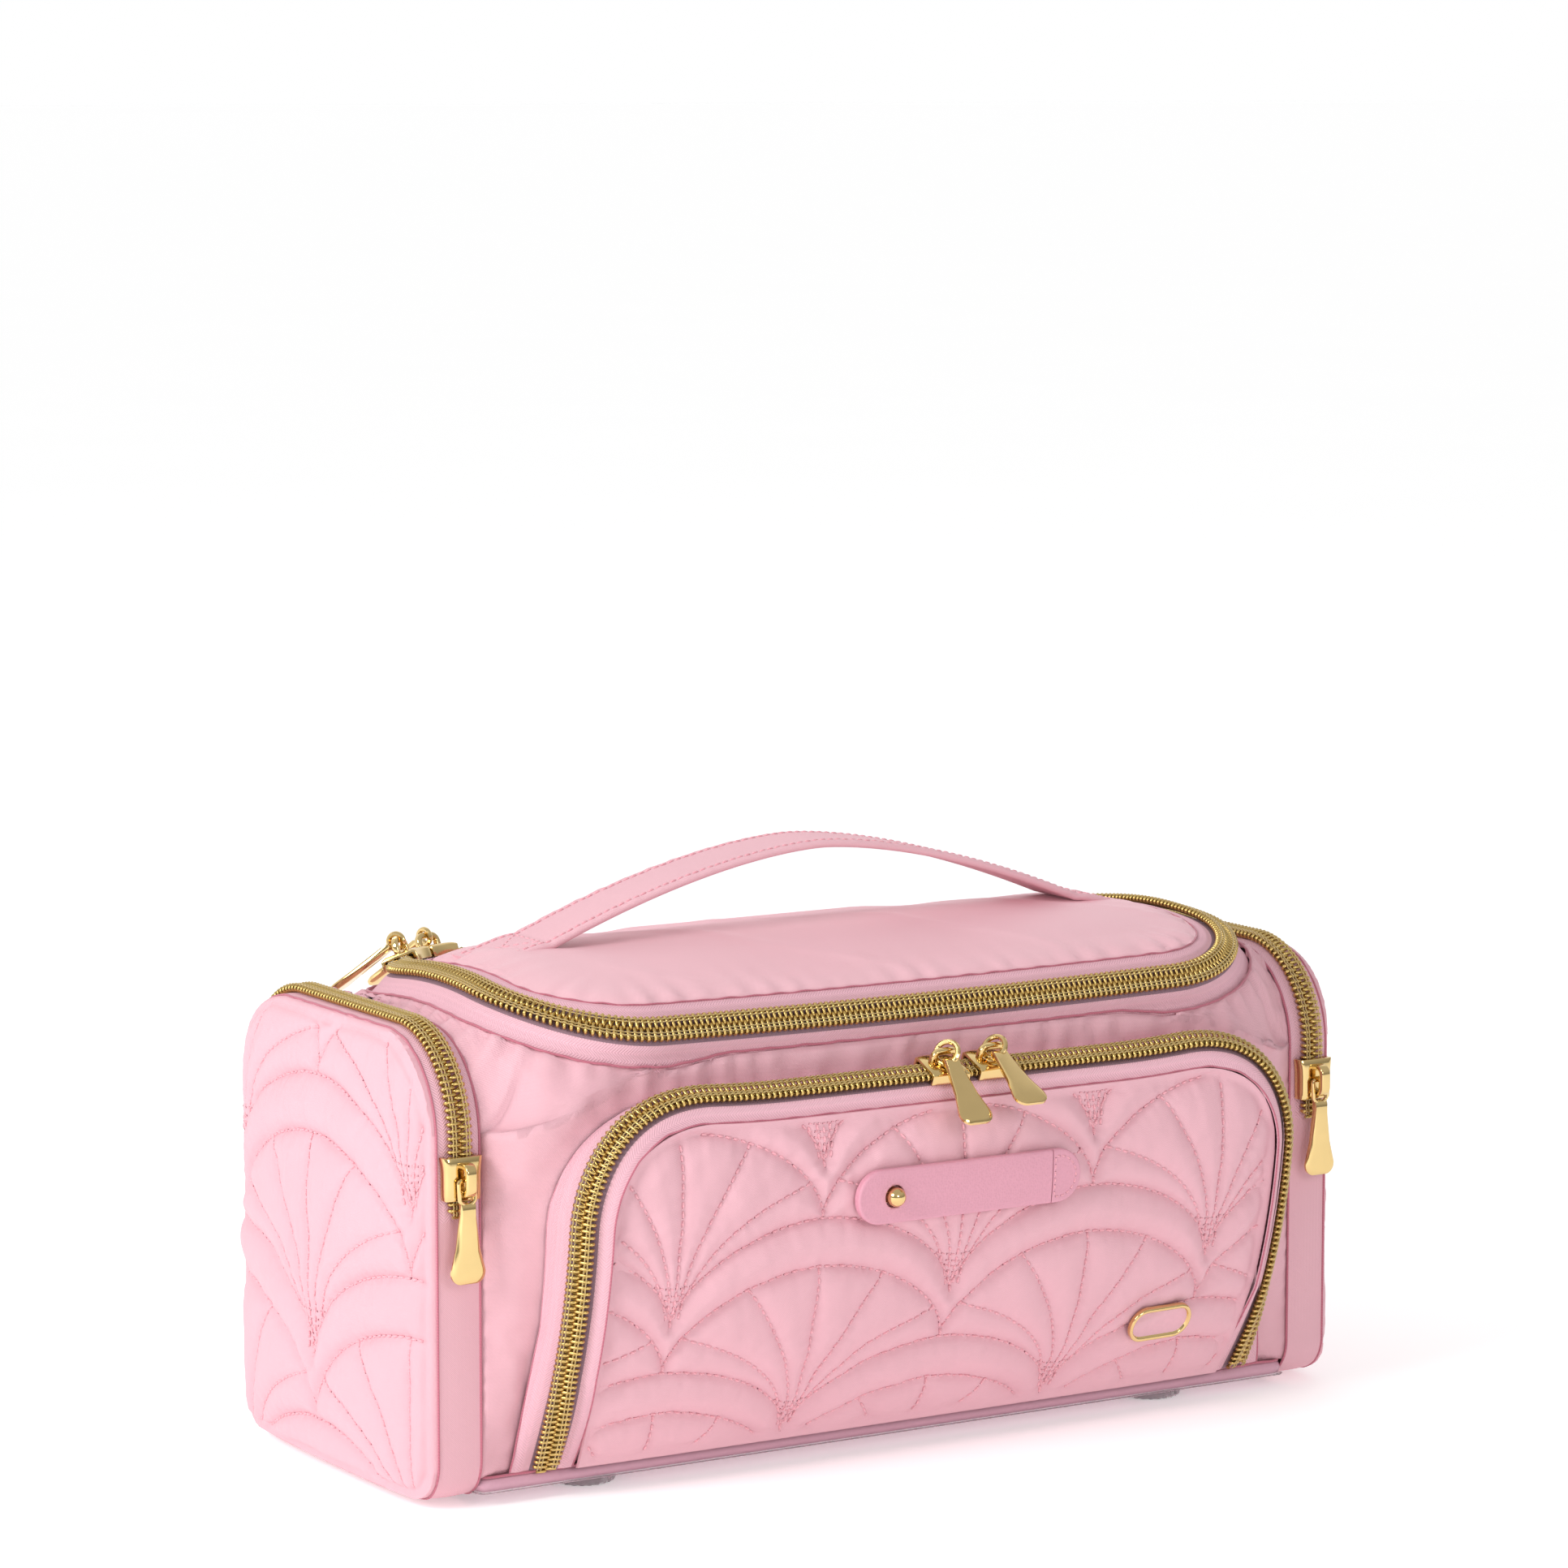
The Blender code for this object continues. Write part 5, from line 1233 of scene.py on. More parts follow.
def coil_threads(pile, path, side):
    """Two rows of lockstitch that hold the coil on its tape."""
    steps = int(path.lengths[-1] / COIL_PITCH * 4)
    station = np.linspace(0.5 * MM, path.lengths[-1] - 0.5 * MM, steps)
    dip = 0.22 * MM * np.cos(2.0 * math.pi * station / COIL_PITCH)
    for row in (1.75 * MM, 2.75 * MM):
        centres = path.place(station, np.full(steps, side * row), CHAIN_HIGH - 0.1 * MM + dip)
        pile.add(*tube(centres, THREAD_RADIUS, path.spread(path.normals, station), 5), 1)


def zip_side(name, path, side, phase):
    pile = Pile()
    coil_half(pile, path, side, phase)
    coil_threads(pile, path, side)
    piece = pile.build(name, [COIL, COIL_THREAD], turn_out=False)
    return piece


def tape_ribbon(name, keys, shaded_rows=1, steps=5):
    """Zip tape through key rows; its first rows, under the coil, take a darker grey as painted shade between
    the coil's turns.
    """
    rows = through_rows(keys, steps)
    columns = rows.shape[1] - 1
    slots = [1 if row < shaded_rows * steps else 0 for row in range(len(rows) - 1) for _ in range(columns)]
    tape = ribbon(name, rows, [TAPE, TAPE_UNDER_COIL_SHADE], slots=slots)
    return tape


def build_lid_zip():
    chain = lid_zip_path(*LID_CHAIN_TILT)
    outer = lid_zip_path(*LID_OUTER_TILT)
    inner = lid_zip_path(*LID_INNER_TILT)
    outer_coil = zip_side("lid_zip_outer_coil", chain, 1.0, 0.0)
    inner_coil = zip_side("lid_zip_inner_coil", chain, -1.0, 0.5)
    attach(outer_coil, "case")
    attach(inner_coil, "lid")
    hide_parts("lid_zip_chain")
    keys = [chain.at(0.15 * MM), chain.at(CHAIN_HALF + 0.3 * MM), outer.at(8.0 * MM, -0.2 * MM),
            outer.at(TAPE_OUTER, -1.3 * MM)]
    tape = tape_ribbon("lid_zip_outer_tape", keys)
    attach(tape, "case")
    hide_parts("lid_zip_tape")
    rim = lid_rim(chain, inner)
    middle = (chain.at(-CHAIN_HALF) + rim) / 2 + inner.normals * 0.3 * MM
    tape = tape_ribbon("lid_zip_inner_tape", [chain.at(-0.15 * MM), chain.at(-CHAIN_HALF - 0.3 * MM), middle,
                                              rim - inner.normals * 0.4 * MM])
    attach(tape, "lid")
    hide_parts("lid_rim_tape")
    seam_shade_cord("lid_seam", rim + inner.normals * 0.1 * MM, SEAM_SHADE, "lid", 0.3 * MM)
    seam_shade_cord("body_top_seam", lid_body_seam(outer, 0.35 * MM), SEAM_SHADE, "case", 0.42 * MM)


def front_cover(x):
    """How far the front wall's cloth laps over the lid's zip tape."""
    return FRONT_LAP * smooth_step((LID_HALF_LENGTH - LID_RADIUS - np.abs(x)) / FRONT_LAP_FADE)


def lid_body_seam(outer, out, lapped=True):
    """Edge of the body cloth on the lid's zip tape, higher up the tape along the front."""
    outward = unit(outer.across * np.array((1.0, 1.0, 0.0)))
    offset = TAPE_OUTER - FRONT_SEAM_RISE * np.clip(-outward[:, 1], 0.0, 1.0) ** 2
    if lapped:
        offset -= np.where(outer.points[:, 1] < LID_MIDDLE_Y, front_cover(outer.points[:, 0]), 0.0)
    return outer.points + outer.across * offset[:, None] + outer.normals * out


def lid_rim(chain, inner):
    """Seam between the lid's tape and its padded top."""
    start = chain.at(-7.1 * MM)
    return start - inner.across * 2.6 * MM


def build_front_zip():
    chain = front_zip_path(*FRONT_CHAIN_FACE)
    inner = front_zip_path(*FRONT_INNER_FACE)
    body_coil = zip_side("front_zip_body_coil", chain, -1.0, 0.0)
    panel_coil = zip_side("front_zip_panel_coil", chain, 1.0, 0.5)
    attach(body_coil, "case")
    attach(panel_coil, "front_pocket_panel")
    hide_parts("front_zip_chain")
    edge = front_tape_edge(chain)
    near = chain.at(-CHAIN_HALF - 0.3 * MM)
    swell = unit(chain.normals - chain.across) * 0.5 * MM
    keys = [chain.at(-0.15 * MM), near, near + (edge - near) * 0.5 + swell, edge]
    tape = tape_ribbon("front_zip_body_tape", keys)
    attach(tape, "case")
    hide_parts("front_zip_tape")
    panel_edge = chain.at(CHAIN_HALF) + inner.across * FRONT_TAPE_INNER
    middle = (chain.at(CHAIN_HALF + 0.3 * MM) + panel_edge) / 2 + inner.normals * 0.3 * MM
    hem = panel_edge + inner.across * 0.5 * MM - inner.normals * 0.3 * MM
    keys = [chain.at(0.15 * MM), chain.at(CHAIN_HALF + 0.3 * MM), middle, hem]
    tape = tape_ribbon("front_zip_panel_tape", keys)
    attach(tape, "front_pocket_panel")
    seam_shade_cord("front_panel_seam", panel_edge + inner.across * 0.5 * MM, SEAM_SHADE, "front_pocket_panel", 0.3 * MM)
    seam_shade_cord("front_body_seam", edge + np.array((0.0, -0.3 * MM, 0.0)), SEAM_SHADE, "case", 0.32 * MM)


def blend_to_flap(piece):
    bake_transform(piece)


# ---------------------------------------------------------------- body cloth

def hermite(start, end, leave, arrive, shares):
    """Curves from start points to end points with given directions, one row for each share."""
    span = np.linalg.norm(end - start, axis=1, keepdims=True) * 0.95
    rows = []
    for s in shares:
        rows.append((2 * s ** 3 - 3 * s ** 2 + 1) * start + (s ** 3 - 2 * s ** 2 + s) * leave * span
                    + (3 * s ** 2 - 2 * s ** 3) * end + (s ** 3 - s ** 2) * arrive * span)
    return np.array(rows)


def shoulder_patch(side):
    """Top of the body between the lid zip and an end pocket, and its outer edge on the walls."""
    start_x = LID_HALF_LENGTH - LID_RADIUS
    run = np.linspace(start_x, SEAM_X, 26)
    level = wall_top(run) + WALL_EDGE_CLEAR
    front = np.stack([run, -wall_depth(run, level, FRONT_PROFILE), level], axis=1)
    back = np.stack([run, wall_depth(run, level, BACK_PROFILE), level], axis=1)[::-1]
    corner_y = END_HALF_DEPTH - END_TOP_RADIUS
    corner_z = END_TOP - END_TOP_RADIUS
    first = math.degrees(math.asin((level[-1] - corner_z) / END_TOP_RADIUS))
    turns = np.radians(np.linspace(first, 90.0, 26))
    arc = np.stack([np.full(26, SEAM_X), -corner_y - END_TOP_RADIUS * np.cos(turns),
                    corner_z + END_TOP_RADIUS * np.sin(turns)], axis=1)
    top = np.stack([np.full(15, SEAM_X), np.linspace(-corner_y, 0.0, 15), np.full(15, END_TOP)], axis=1)
    arch = np.concatenate([arc, top[1:]])
    arch = np.concatenate([arch, (arch * np.array((1.0, -1.0, 1.0)))[-2::-1]])
    outer = np.concatenate([front, arch[1:-1], back])
    turned = smooth_step((SEAM_X - run) / (SEAM_X - start_x))
    upright = np.concatenate([turned, np.zeros(len(arch) - 2), turned[::-1]])
    fanned = np.stack([np.zeros(len(arch) - 2), arch[1:-1, 1] / END_HALF_DEPTH,
                       np.ones(len(arch) - 2)], axis=1)
    lift = np.concatenate([np.zeros((26, 3)), fanned, np.zeros((26, 3))]) * 0.3
    leave = unit(np.stack([-(1.0 - upright), np.zeros_like(upright), upright], axis=1) + lift)
    path = lid_zip_path(*LID_OUTER_TILT)
    edge = lid_body_seam(path, 0.0, lapped=False)
    middle = len(edge) // 2
    half = edge[middle:]
    arrive = -path.across[middle:]
    begin = int(np.argmax(half[:, 0] >= start_x - 0.01 * MM))
    lengths = arc_lengths(half[begin:])
    wanted = arc_lengths(outer) / arc_lengths(outer)[-1] * lengths[-1]
    inner = np.stack([np.interp(wanted, lengths, half[begin:, axis]) for axis in range(3)], axis=1)
    arrive = unit(np.stack([np.interp(wanted, lengths, arrive[begin:, axis]) for axis in range(3)], axis=1))
    patch = hermite(outer, inner, leave, arrive, np.linspace(0.0, 1.0, 22))
    patch[:, :, 0] *= side
    return patch, run


def wall_patch(sign, table, run):
    xs = np.concatenate([-run[::-1], np.linspace(-run[0], run[0], 81)[1:-1], run])
    shares = np.linspace(0.0, 1.0, 52)[:, None]
    top = wall_top(xs) + WALL_EDGE_CLEAR + (front_cover(xs) if sign < 0.0 else 0.0)
    z = WALL_FOOT + (top - WALL_FOOT)[None] * shares
    x = np.broadcast_to(xs, z.shape)
    return np.stack([x, sign * wall_depth(x, z, table), z], axis=-1)


def back_top_patch(left, right):
    """Cloth behind the lid, from the hinge line to the top of the back wall."""
    rows = []
    for side_curve in (left, right):
        x = side_curve[0, 0]
        start = np.array((x, HINGE_Y + 0.4 * MM, float(lid_height(x, HINGE_Y)) + HINGE_RISE))
        share = np.linspace(0.0, 1.0, 9)[:-1, None]
        rows.append(np.concatenate([start + (side_curve[0] - start) * share, side_curve]))
    t = np.linspace(0.0, 1.0, 81)
    return rows[0][:, None] * (1 - t)[None, :, None] + rows[1][:, None] * t[None, :, None]


def build_body_cloth():
    """Outer cloth of the body: front and back walls, shoulders and the strip behind the lid."""
    right, run = shoulder_patch(1.0)
    left, _ = shoulder_patch(-1.0)
    patches = [wall_patch(-1.0, FRONT_PROFILE, run), wall_patch(1.0, BACK_PROFILE, run), left, right,
               back_top_patch(left[::-1, -1], right[::-1, -1])]
    pile = Pile()
    weave = []
    for grid in patches:
        pile.add(grid, grid_faces(*grid.shape[:2]))
        weave.append(cloth_coordinates(grid))
    cloth = pile.build("body_cloth", [NYLON])
    store_weave(cloth, np.concatenate(weave))
    data = bmesh.new()
    data.from_mesh(cloth.data)
    bmesh.ops.remove_doubles(data, verts=data.verts, dist=0.25 * MM)
    bmesh.ops.recalc_face_normals(data, faces=data.faces)
    middle = Vector((0.0, FRAME_Y, 0.06))
    outward = 0.0
    for face in data.faces:
        outward += (face.calc_center_median() - middle).dot(face.normal) * face.calc_area()
    if outward < 0.0:
        bmesh.ops.reverse_faces(data, faces=data.faces)
    data.to_mesh(cloth.data)
    pinned = [vert.index for vert in data.verts if vert.is_boundary]
    data.free()
    lid_edge = lid_body_seam(lid_zip_path(*LID_OUTER_TILT), 0.0)
    front_edge = front_tape_edge(front_zip_path(*FRONT_CHAIN_FACE))
    near_zip, _ = nearest(coordinates_of(cloth), front_edge + np.array((0.0, FRAME_Y, 0.0)))
    pinned = sorted(set(pinned) | set(np.nonzero(near_zip < 2.5 * MM)[0].tolist()))
    pucker(cloth, lid_edge, 0.8 * MM, 11.0 * MM, 12.0 * MM, 11)
    pucker(cloth, lid_edge, 0.3 * MM, 4.0 * MM, 5.0 * MM, 14)
    for side in (-1.0, 1.0):
        loop = end_loop(0.0, 12, 240)
        seam = np.concatenate([np.full((len(loop), 1), side * SEAM_X), loop], axis=1)
        pucker(cloth, seam, 0.3 * MM, 5.0 * MM, 5.0 * MM, 12 + int(side))
    pucker(cloth, front_edge, 0.3 * MM, 7.0 * MM, 8.0 * MM, 15)
    settle(cloth, pinned, 0.6, 0.012, 2.2 * MM)
    points = coordinates_of(cloth)
    swell = 0.5 * MM * waves_over(points, 45.0 * MM, 17)
    swell[pinned] = 0.0
    set_coordinates(cloth, points + normals_of(cloth) * swell[:, None])
    thicken = cloth.modifiers.new("cloth", "SOLIDIFY")
    thicken.thickness = 1.2 * MM
    thicken.offset = -1.0
    apply_modifiers(cloth)
    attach(cloth, "case")
    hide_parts("front_wall", "back_wall", "left_shoulder", "right_shoulder", "back_top_panel")


# ---------------------------------------------------------------- lid

def build_lid_pad():
    """Padded top of the lid, settled as cloth so that it crowns and wrinkles softly."""
    chain = lid_zip_path(*LID_CHAIN_TILT)
    inner = lid_zip_path(*LID_INNER_TILT)
    rim = lid_rim(chain, inner) - inner.across * 0.3 * MM
    outline = resample(rim, 260)
    back_y = outline[0, 1]
    back = np.stack([np.linspace(outline[0, 0], outline[-1, 0], 260), np.full(260, back_y),
                     np.full(260, outline[0, 2])], axis=1)
    shares = 1.0 - np.cos(np.linspace(0.0, math.pi / 2, 64))
    shares = 0.5 * shares + 0.5 * np.linspace(0.0, 1.0, 64)
    grid = outline[None] + (back - outline)[None] * shares[:, None, None]
    seat = lid_height(grid[:, :, 0], grid[:, :, 1])
    step = outline[:, 2] - lid_height(outline[:, 0], outline[:, 1])
    border = edge_distance(grid[:, :, :2].reshape(-1, 2), np.concatenate([outline[:, :2], outline[:1, :2]]))
    border = border.reshape(seat.shape)
    rise = step[None] + (LID_RISE - step[None]) * smooth_step(border / (16.0 * MM))
    crown = LID_PAD * (1.0 - np.exp(-border / (7.0 * MM)))
    top = grid.copy()
    top[:, :, 2] = seat + rise + crown
    bottom = grid.copy()
    bottom[:, :, 2] = seat + rise - 0.6 * MM
    pad = slab("lid_pad", top, bottom, [SATIN])
    pucker(pad, outline, 0.55 * MM, 8.0 * MM, 8.0 * MM, 21)
    pucker(pad, outline, 0.25 * MM, 3.0 * MM, 3.5 * MM, 22)
    points = coordinates_of(pad)
    on_top = np.arange(len(points)) < top.shape[0] * top.shape[1]
    flat_border = np.concatenate([border.ravel(), border.ravel()])
    pinned = np.nonzero((flat_border < 1.0 * MM) | ~on_top)[0]
    settle(pad, pinned, 1.0, 0.02, 2.4 * MM)
    points = coordinates_of(pad)
    diagonal = points @ unit((1.0, 0.75, 0.0))
    crease = np.exp(-((np.mod(diagonal + 4.0 * MM * waves_over(points[:, :2], 70.0 * MM, 23), 0.052) - 0.026)
                      / (3.5 * MM)) ** 2)
    swell = (0.5 * crease + 0.35 * waves_over(points[:, :2], 38.0 * MM, 24)) * MM
    swell *= smooth_step(flat_border / (12.0 * MM)) * on_top
    set_coordinates(pad, points + np.array((0.0, 0.0, 1.0)) * swell[:, None])
    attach(pad, "lid")
    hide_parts("lid_panel")
    return top[-1]


def build_lid_hinge(back):
    """Strip of cloth that joins the lid to the back of the body."""
    left = min(back[0, 0], back[-1, 0])
    xs = np.linspace(left + 0.5 * MM, -left - 0.5 * MM, 120)
    front_y = back[0, 1] - HINGE_TUCK
    rear_y = HINGE_Y + 0.6 * MM
    order = np.argsort(back[:, 0])
    front_z = np.interp(xs, back[order, 0], back[order, 2]) - HINGE_UNDER
    rows = []
    for share in np.linspace(0.0, 1.0, 18):
        y = front_y + (rear_y - front_y) * share
        rear_z = float(lid_height(0.0, rear_y)) + HINGE_RISE
        z = front_z + (rear_z - front_z) * share + 0.5 * MM * math.sin(math.pi * share)
        rows.append(np.stack([xs, np.full_like(xs, y), np.full_like(xs, z)], axis=1))
    rows = np.array(rows)
    rows[:, :, 2] += 0.15 * MM * ripple(xs, 11.0 * MM, 31)[None]
    strip = ribbon("lid_hinge_cloth", rows, [NYLON], 0.5 * MM)
    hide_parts("lid_hinge_strip")
    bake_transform(strip)


def lid_seat_height(x):
    edge = 1.0 - (np.abs(x) / (LID_HALF_LENGTH - LID_RIM_TO)) ** 6
    cloth = lid_height(x, np.full_like(x, LID_MIDDLE_Y)) + LID_RISE + LID_PAD * edge
    return cloth + 0.6 * MM + HANDLE_THICKNESS / 2


def handle_line():
    """Middle line of the handle in x and z, sewn flat at its ends."""
    share = np.linspace(0.0, 1.0, 70)
    seat = float(lid_seat_height(np.array([HANDLE_BASE_X]))[0])
    x = HANDLE_BASE_X * share
    z = seat + (HANDLE_PEAK - seat) * (1.0 - share ** HANDLE_POWER)
    ends = np.linspace(HANDLE_BASE_X, HANDLE_END_X, 14)[1:]
    share = (ends - HANDLE_BASE_X) / (HANDLE_END_X - HANDLE_BASE_X)
    sunk = lid_seat_height(ends) - HANDLE_SINK * smooth_step(share)
    half = np.concatenate([np.stack([x, z], axis=1), np.stack([ends, sunk], axis=1)])
    return np.concatenate([(half * np.array((-1.0, 1.0)))[:0:-1], half])


def handle_surface(line, flat, lift):
    """Points and normals of the handle's upper side from distance along and across it."""
    lengths = arc_lengths(line)
    tangents = unit(np.gradient(line, axis=0))
    normals = np.stack([-tangents[:, 1], tangents[:, 0]], axis=1)
    place = along_route(line, flat[:, 0])
    normal = unit(np.stack([np.interp(flat[:, 0], lengths, normals[:, axis]) for axis in range(2)], axis=1))
    points = np.stack([place[:, 0], HANDLE_Y + flat[:, 1], place[:, 1]], axis=1)
    full = np.stack([normal[:, 0], np.zeros(len(flat)), normal[:, 1]], axis=1)
    return points + full * lift, full


def build_handle():
    """Folded strap with a raised bound edge and rows of stitching."""
    line = handle_line()
    total = arc_lengths(line)[-1]
    half = HANDLE_WIDTH / 2
    across = half * np.sin(np.linspace(-1.0, 1.0, 37) * math.pi / 2)
    along = np.linspace(0.0, total, 300)
    u, v = np.meshgrid(along, across)
    flat = np.stack([u.ravel(), v.ravel()], axis=1)
    near_edge = half - np.abs(flat[:, 1])
    rounded = np.sqrt(1.0 - (1.0 - np.clip(near_edge / (1.1 * MM), 0.0, 1.0)) ** 2)
    groove = 0.3 * MM * np.exp(-((near_edge - 2.6 * MM) / (0.5 * MM)) ** 2)
    puff = 0.12 * MM * ripple(flat[:, 0], 6.0 * MM, 41) * np.exp(-near_edge / (4.0 * MM))
    lift = (HANDLE_THICKNESS / 2 * rounded - groove + puff * rounded)[:, None]
    top, _ = handle_surface(line, flat, lift)
    low, _ = handle_surface(line, flat, -(HANDLE_THICKNESS / 2 * rounded - groove)[:, None])
    shape = (len(across), len(along), 3)
    strap = slab("handle", top.reshape(shape), low.reshape(shape), [WEBBING])
    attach(strap, "lid")
    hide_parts("handle_strap")
    rows = [np.array(((2.0 * MM, y), (total - 2.0 * MM, y))) for y in (-half + 2.6 * MM, half - 2.6 * MM)]
    box = HANDLE_END_X - HANDLE_BASE_X
    for start in (2.5 * MM, total - box):
        end = start + box - 4.0 * MM
        side = 8.0 * MM
        rows += [np.array(((start, -side), (start, side))), np.array(((end, -side), (end, side)))]
        rows += [np.array(((start, -side), (end, side))), np.array(((start, side), (end, -side)))]
    lift = HANDLE_THICKNESS / 2 - 0.15 * MM
    stitches = sew("handle_stitching", rows, lambda spots: handle_surface(line, spots, lift), holes=False)
    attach(stitches, "lid")


# ---------------------------------------------------------------- front panel

def panel_run():
    """Heights and distances up the front panel's face."""
    z = np.linspace(0.0, 130.0 * MM, 400)
    run = arc_lengths(np.stack([front_zip_depth(z), z], axis=1))
    return z, run - np.interp(PANEL_BOTTOM, z, run)


PANEL_Z, PANEL_RUN = panel_run()
FRONT_PATTERN = Scallops((0.0, 48.2 * MM), 1.0, 130.0 * MM)
END_PATTERN = Scallops((2.0 * MM, 35.0 * MM), 1.15, 70.0 * MM)


def under_hardware(x, z):
    """1 where the leather tab or the badge lies on the front panel, 0 away from them."""
    tab_middle = (TAB_X[0] + TAB_X[1]) / 2
    tab_half = (TAB_X[1] - TAB_X[0]) / 2 - TAB_HALF_HEIGHT
    tab = np.hypot(np.maximum(np.abs(x - tab_middle) - tab_half, 0.0), z - TAB_Z) - TAB_HALF_HEIGHT
    reach = BADGE_HALF[0] - BADGE_HALF[1]
    past = np.maximum(np.abs(x - BADGE_CENTRE[0]) - reach, 0.0)
    badge = np.hypot(past, z - BADGE_CENTRE[1]) - BADGE_HALF[1]
    return 1.0 - smooth_step(np.minimum(tab, badge) / PRESSED_REACH)


def build_front_quilt():
    half = FRONT_ZIP_X - PANEL_SIDE_INSET
    columns = spread_columns(half, 300)
    sheet = QuiltSheet(columns, lambda x: np.full_like(x, PANEL_BOTTOM), panel_top, 150,
                       lambda v: np.interp(v, PANEL_RUN, PANEL_Z))
    z = sheet.levels
    x = np.broadcast_to(columns, z.shape)
    flat = np.stack([x, np.interp(z, PANEL_Z, PANEL_RUN)], axis=-1).reshape(-1, 2)
    spots = np.stack([x, z], axis=-1)
    outline = np.concatenate([spots[0], spots[:, -1], spots[-1][::-1], spots[:, 0][::-1]])
    edge = edge_distance(np.stack([x, z], axis=-1).reshape(-1, 2), outline)
    relief = quilt_relief(flat, FRONT_PATTERN, edge, 51)
    relief = relief * smooth_step(edge / (3.0 * MM)) - 0.5 * MM * (1.0 - smooth_step(edge / (2.5 * MM)))
    seated = under_hardware(x.ravel(), z.ravel())
    relief = np.minimum(relief, 0.35 * MM) * seated + relief * (1.0 - seated)
    foot = np.clip(1.0 - (z - PANEL_BOTTOM) / PANEL_FOOT_HEIGHT, 0.0, 1.0)
    inset = x - x / half * foot * PANEL_FOOT_INSET
    face = np.stack([inset, panel_face(x, z), z], axis=-1)
    normals = grid_normals(face)
    sheet.grid = face + normals * relief.reshape(z.shape)[:, :, None]
    sheet.normals = grid_normals(sheet.grid)
    back = np.stack([inset, front_zip_depth(z) - PANEL_FORWARD + PANEL_BACK - 0.2 * MM, z], axis=-1)
    panel = slab("front_quilt", sheet.grid, back, [QUILT])
    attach(panel, "front_pocket_panel")
    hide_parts("front_panel")
    lines = FRONT_PATTERN.arches() + FRONT_PATTERN.rays()
    stitches = sew("front_quilt_stitching", lines, sheet.read, inside=sheet.inside)
    small = sew("front_fan_stitching", FRONT_PATTERN.cross_rows(), sheet.read, pitch=1.5 * MM,
                radius=0.2 * MM, inside=sheet.inside)
    for piece in (stitches, small):
        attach(piece, "front_pocket_panel")


# ---------------------------------------------------------------- tab, stud and badge

def tab_grid(x_range, round_left, low, high, edge=0.7 * MM):
    """Upper and lower faces of a leather tab with one round end and softened edges."""
    radius = TAB_HALF_HEIGHT
    length = x_range[1] - x_range[0]
    t = np.linspace(0.0, 1.0, 90)
    along = length * (t ** 1.6 if round_left else 1.0 - (1.0 - t) ** 1.6)
    xs = x_range[0] + along
    past = np.maximum(radius - (xs - x_range[0] if round_left else x_range[1] - xs), 0.0)
    half = np.sqrt(np.maximum(radius ** 2 - past ** 2, (0.05 * MM) ** 2))
    shares = np.sin(np.linspace(-1.0, 1.0, 25) * math.pi / 2)
    x = np.broadcast_to(xs, (25, 90))
    z = TAB_Z + half[None] * shares[:, None]
    if round_left:
        rim = radius - np.hypot(np.maximum(x_range[0] + radius - x, 0.0), z - TAB_Z)
    else:
        rim = radius - np.hypot(np.maximum(x - x_range[1] + radius, 0.0), z - TAB_Z)
    fall = edge * (1.0 - np.sqrt(1.0 - (1.0 - np.clip(rim / edge, 0.0, 1.0)) ** 2))
    return on_panel(x, z, high - fall), on_panel(x, z, low + fall * 0.5)


def build_tab():
    high = TAB_LOW + TAB_THICKNESS
    fixed_end = tab_grid((TAB_HINGE_X + 0.15 * MM, TAB_X[1]), False, TAB_LOW, high)
    anchor = slab("tab_anchor_leather", *fixed_end, [LEATHER])
    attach(anchor, "front_pocket_panel")
    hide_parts("tab_anchor")
    loose_end = tab_grid((TAB_X[0], TAB_HINGE_X - 0.15 * MM), True, TAB_LOW, high)
    strap = slab("tab_strap_leather", *loose_end, [LEATHER])
    hole = Pile()
    angles = np.linspace(0.0, 2.0 * math.pi, 32, endpoint=False)
    rings = []
    for out in (-2.0 * MM, 6.0 * MM):
        rings.append(on_panel(STUD_X + STUD_HOLE_RADIUS * np.cos(angles),
                              TAB_Z + STUD_HOLE_RADIUS * np.sin(angles), np.full(32, out)))
    hole.add(*stacked(rings))
    cutter = hole.build("stud_hole_cutter", [LEATHER])
    cut = strap.modifiers.new("hole", "BOOLEAN")
    cut.operation = "DIFFERENCE"
    cut.object = cutter
    apply_modifiers(strap)
    bpy.data.objects.remove(cutter, do_unlink=True)
    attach(strap, "snap_tab")
    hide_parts("tab_strap")
    build_tab_stitching(high)
    build_stud(high)


def build_tab_stitching(high):
    """D-shaped stitch row that sews down the fixed end of the tab."""
    radius = TAB_HALF_HEIGHT - 2.0 * MM
    centre = TAB_X[1] - TAB_HALF_HEIGHT
    left = TAB_HINGE_X + 0.9 * MM
    turns = np.linspace(-math.pi / 2, math.pi / 2, 24)
    bow = np.stack([centre + radius * np.cos(turns), TAB_Z + radius * np.sin(turns)], axis=1)
    route = np.concatenate([[(left, TAB_Z - radius)], bow, [(left, TAB_Z + radius), (left, TAB_Z - radius)]])

    def surface(flat):
        points = on_panel(flat[:, 0], flat[:, 1], np.full(len(flat), high - 0.05 * MM))
        return points, unit(points - on_panel(flat[:, 0], flat[:, 1], np.zeros(len(flat))))

    stitches = sew("tab_stitching", [route], surface, pitch=2.0 * MM, radius=0.2 * MM)
    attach(stitches, "front_pocket_panel")


def lathe(profile_points, seat, axis, sides=32):
    """Rings of a turned shape about an axis, from radius and height pairs."""
    axis = unit(axis)
    side = unit(np.cross(axis, (0.0, 0.0, 1.0)))
    up = np.cross(axis, side)
    angles = np.linspace(0.0, 2.0 * math.pi, sides, endpoint=False)
    circle = np.cos(angles)[:, None] * side + np.sin(angles)[:, None] * up
    return [np.array(seat) + circle * radius + axis * height for radius, height in profile_points]


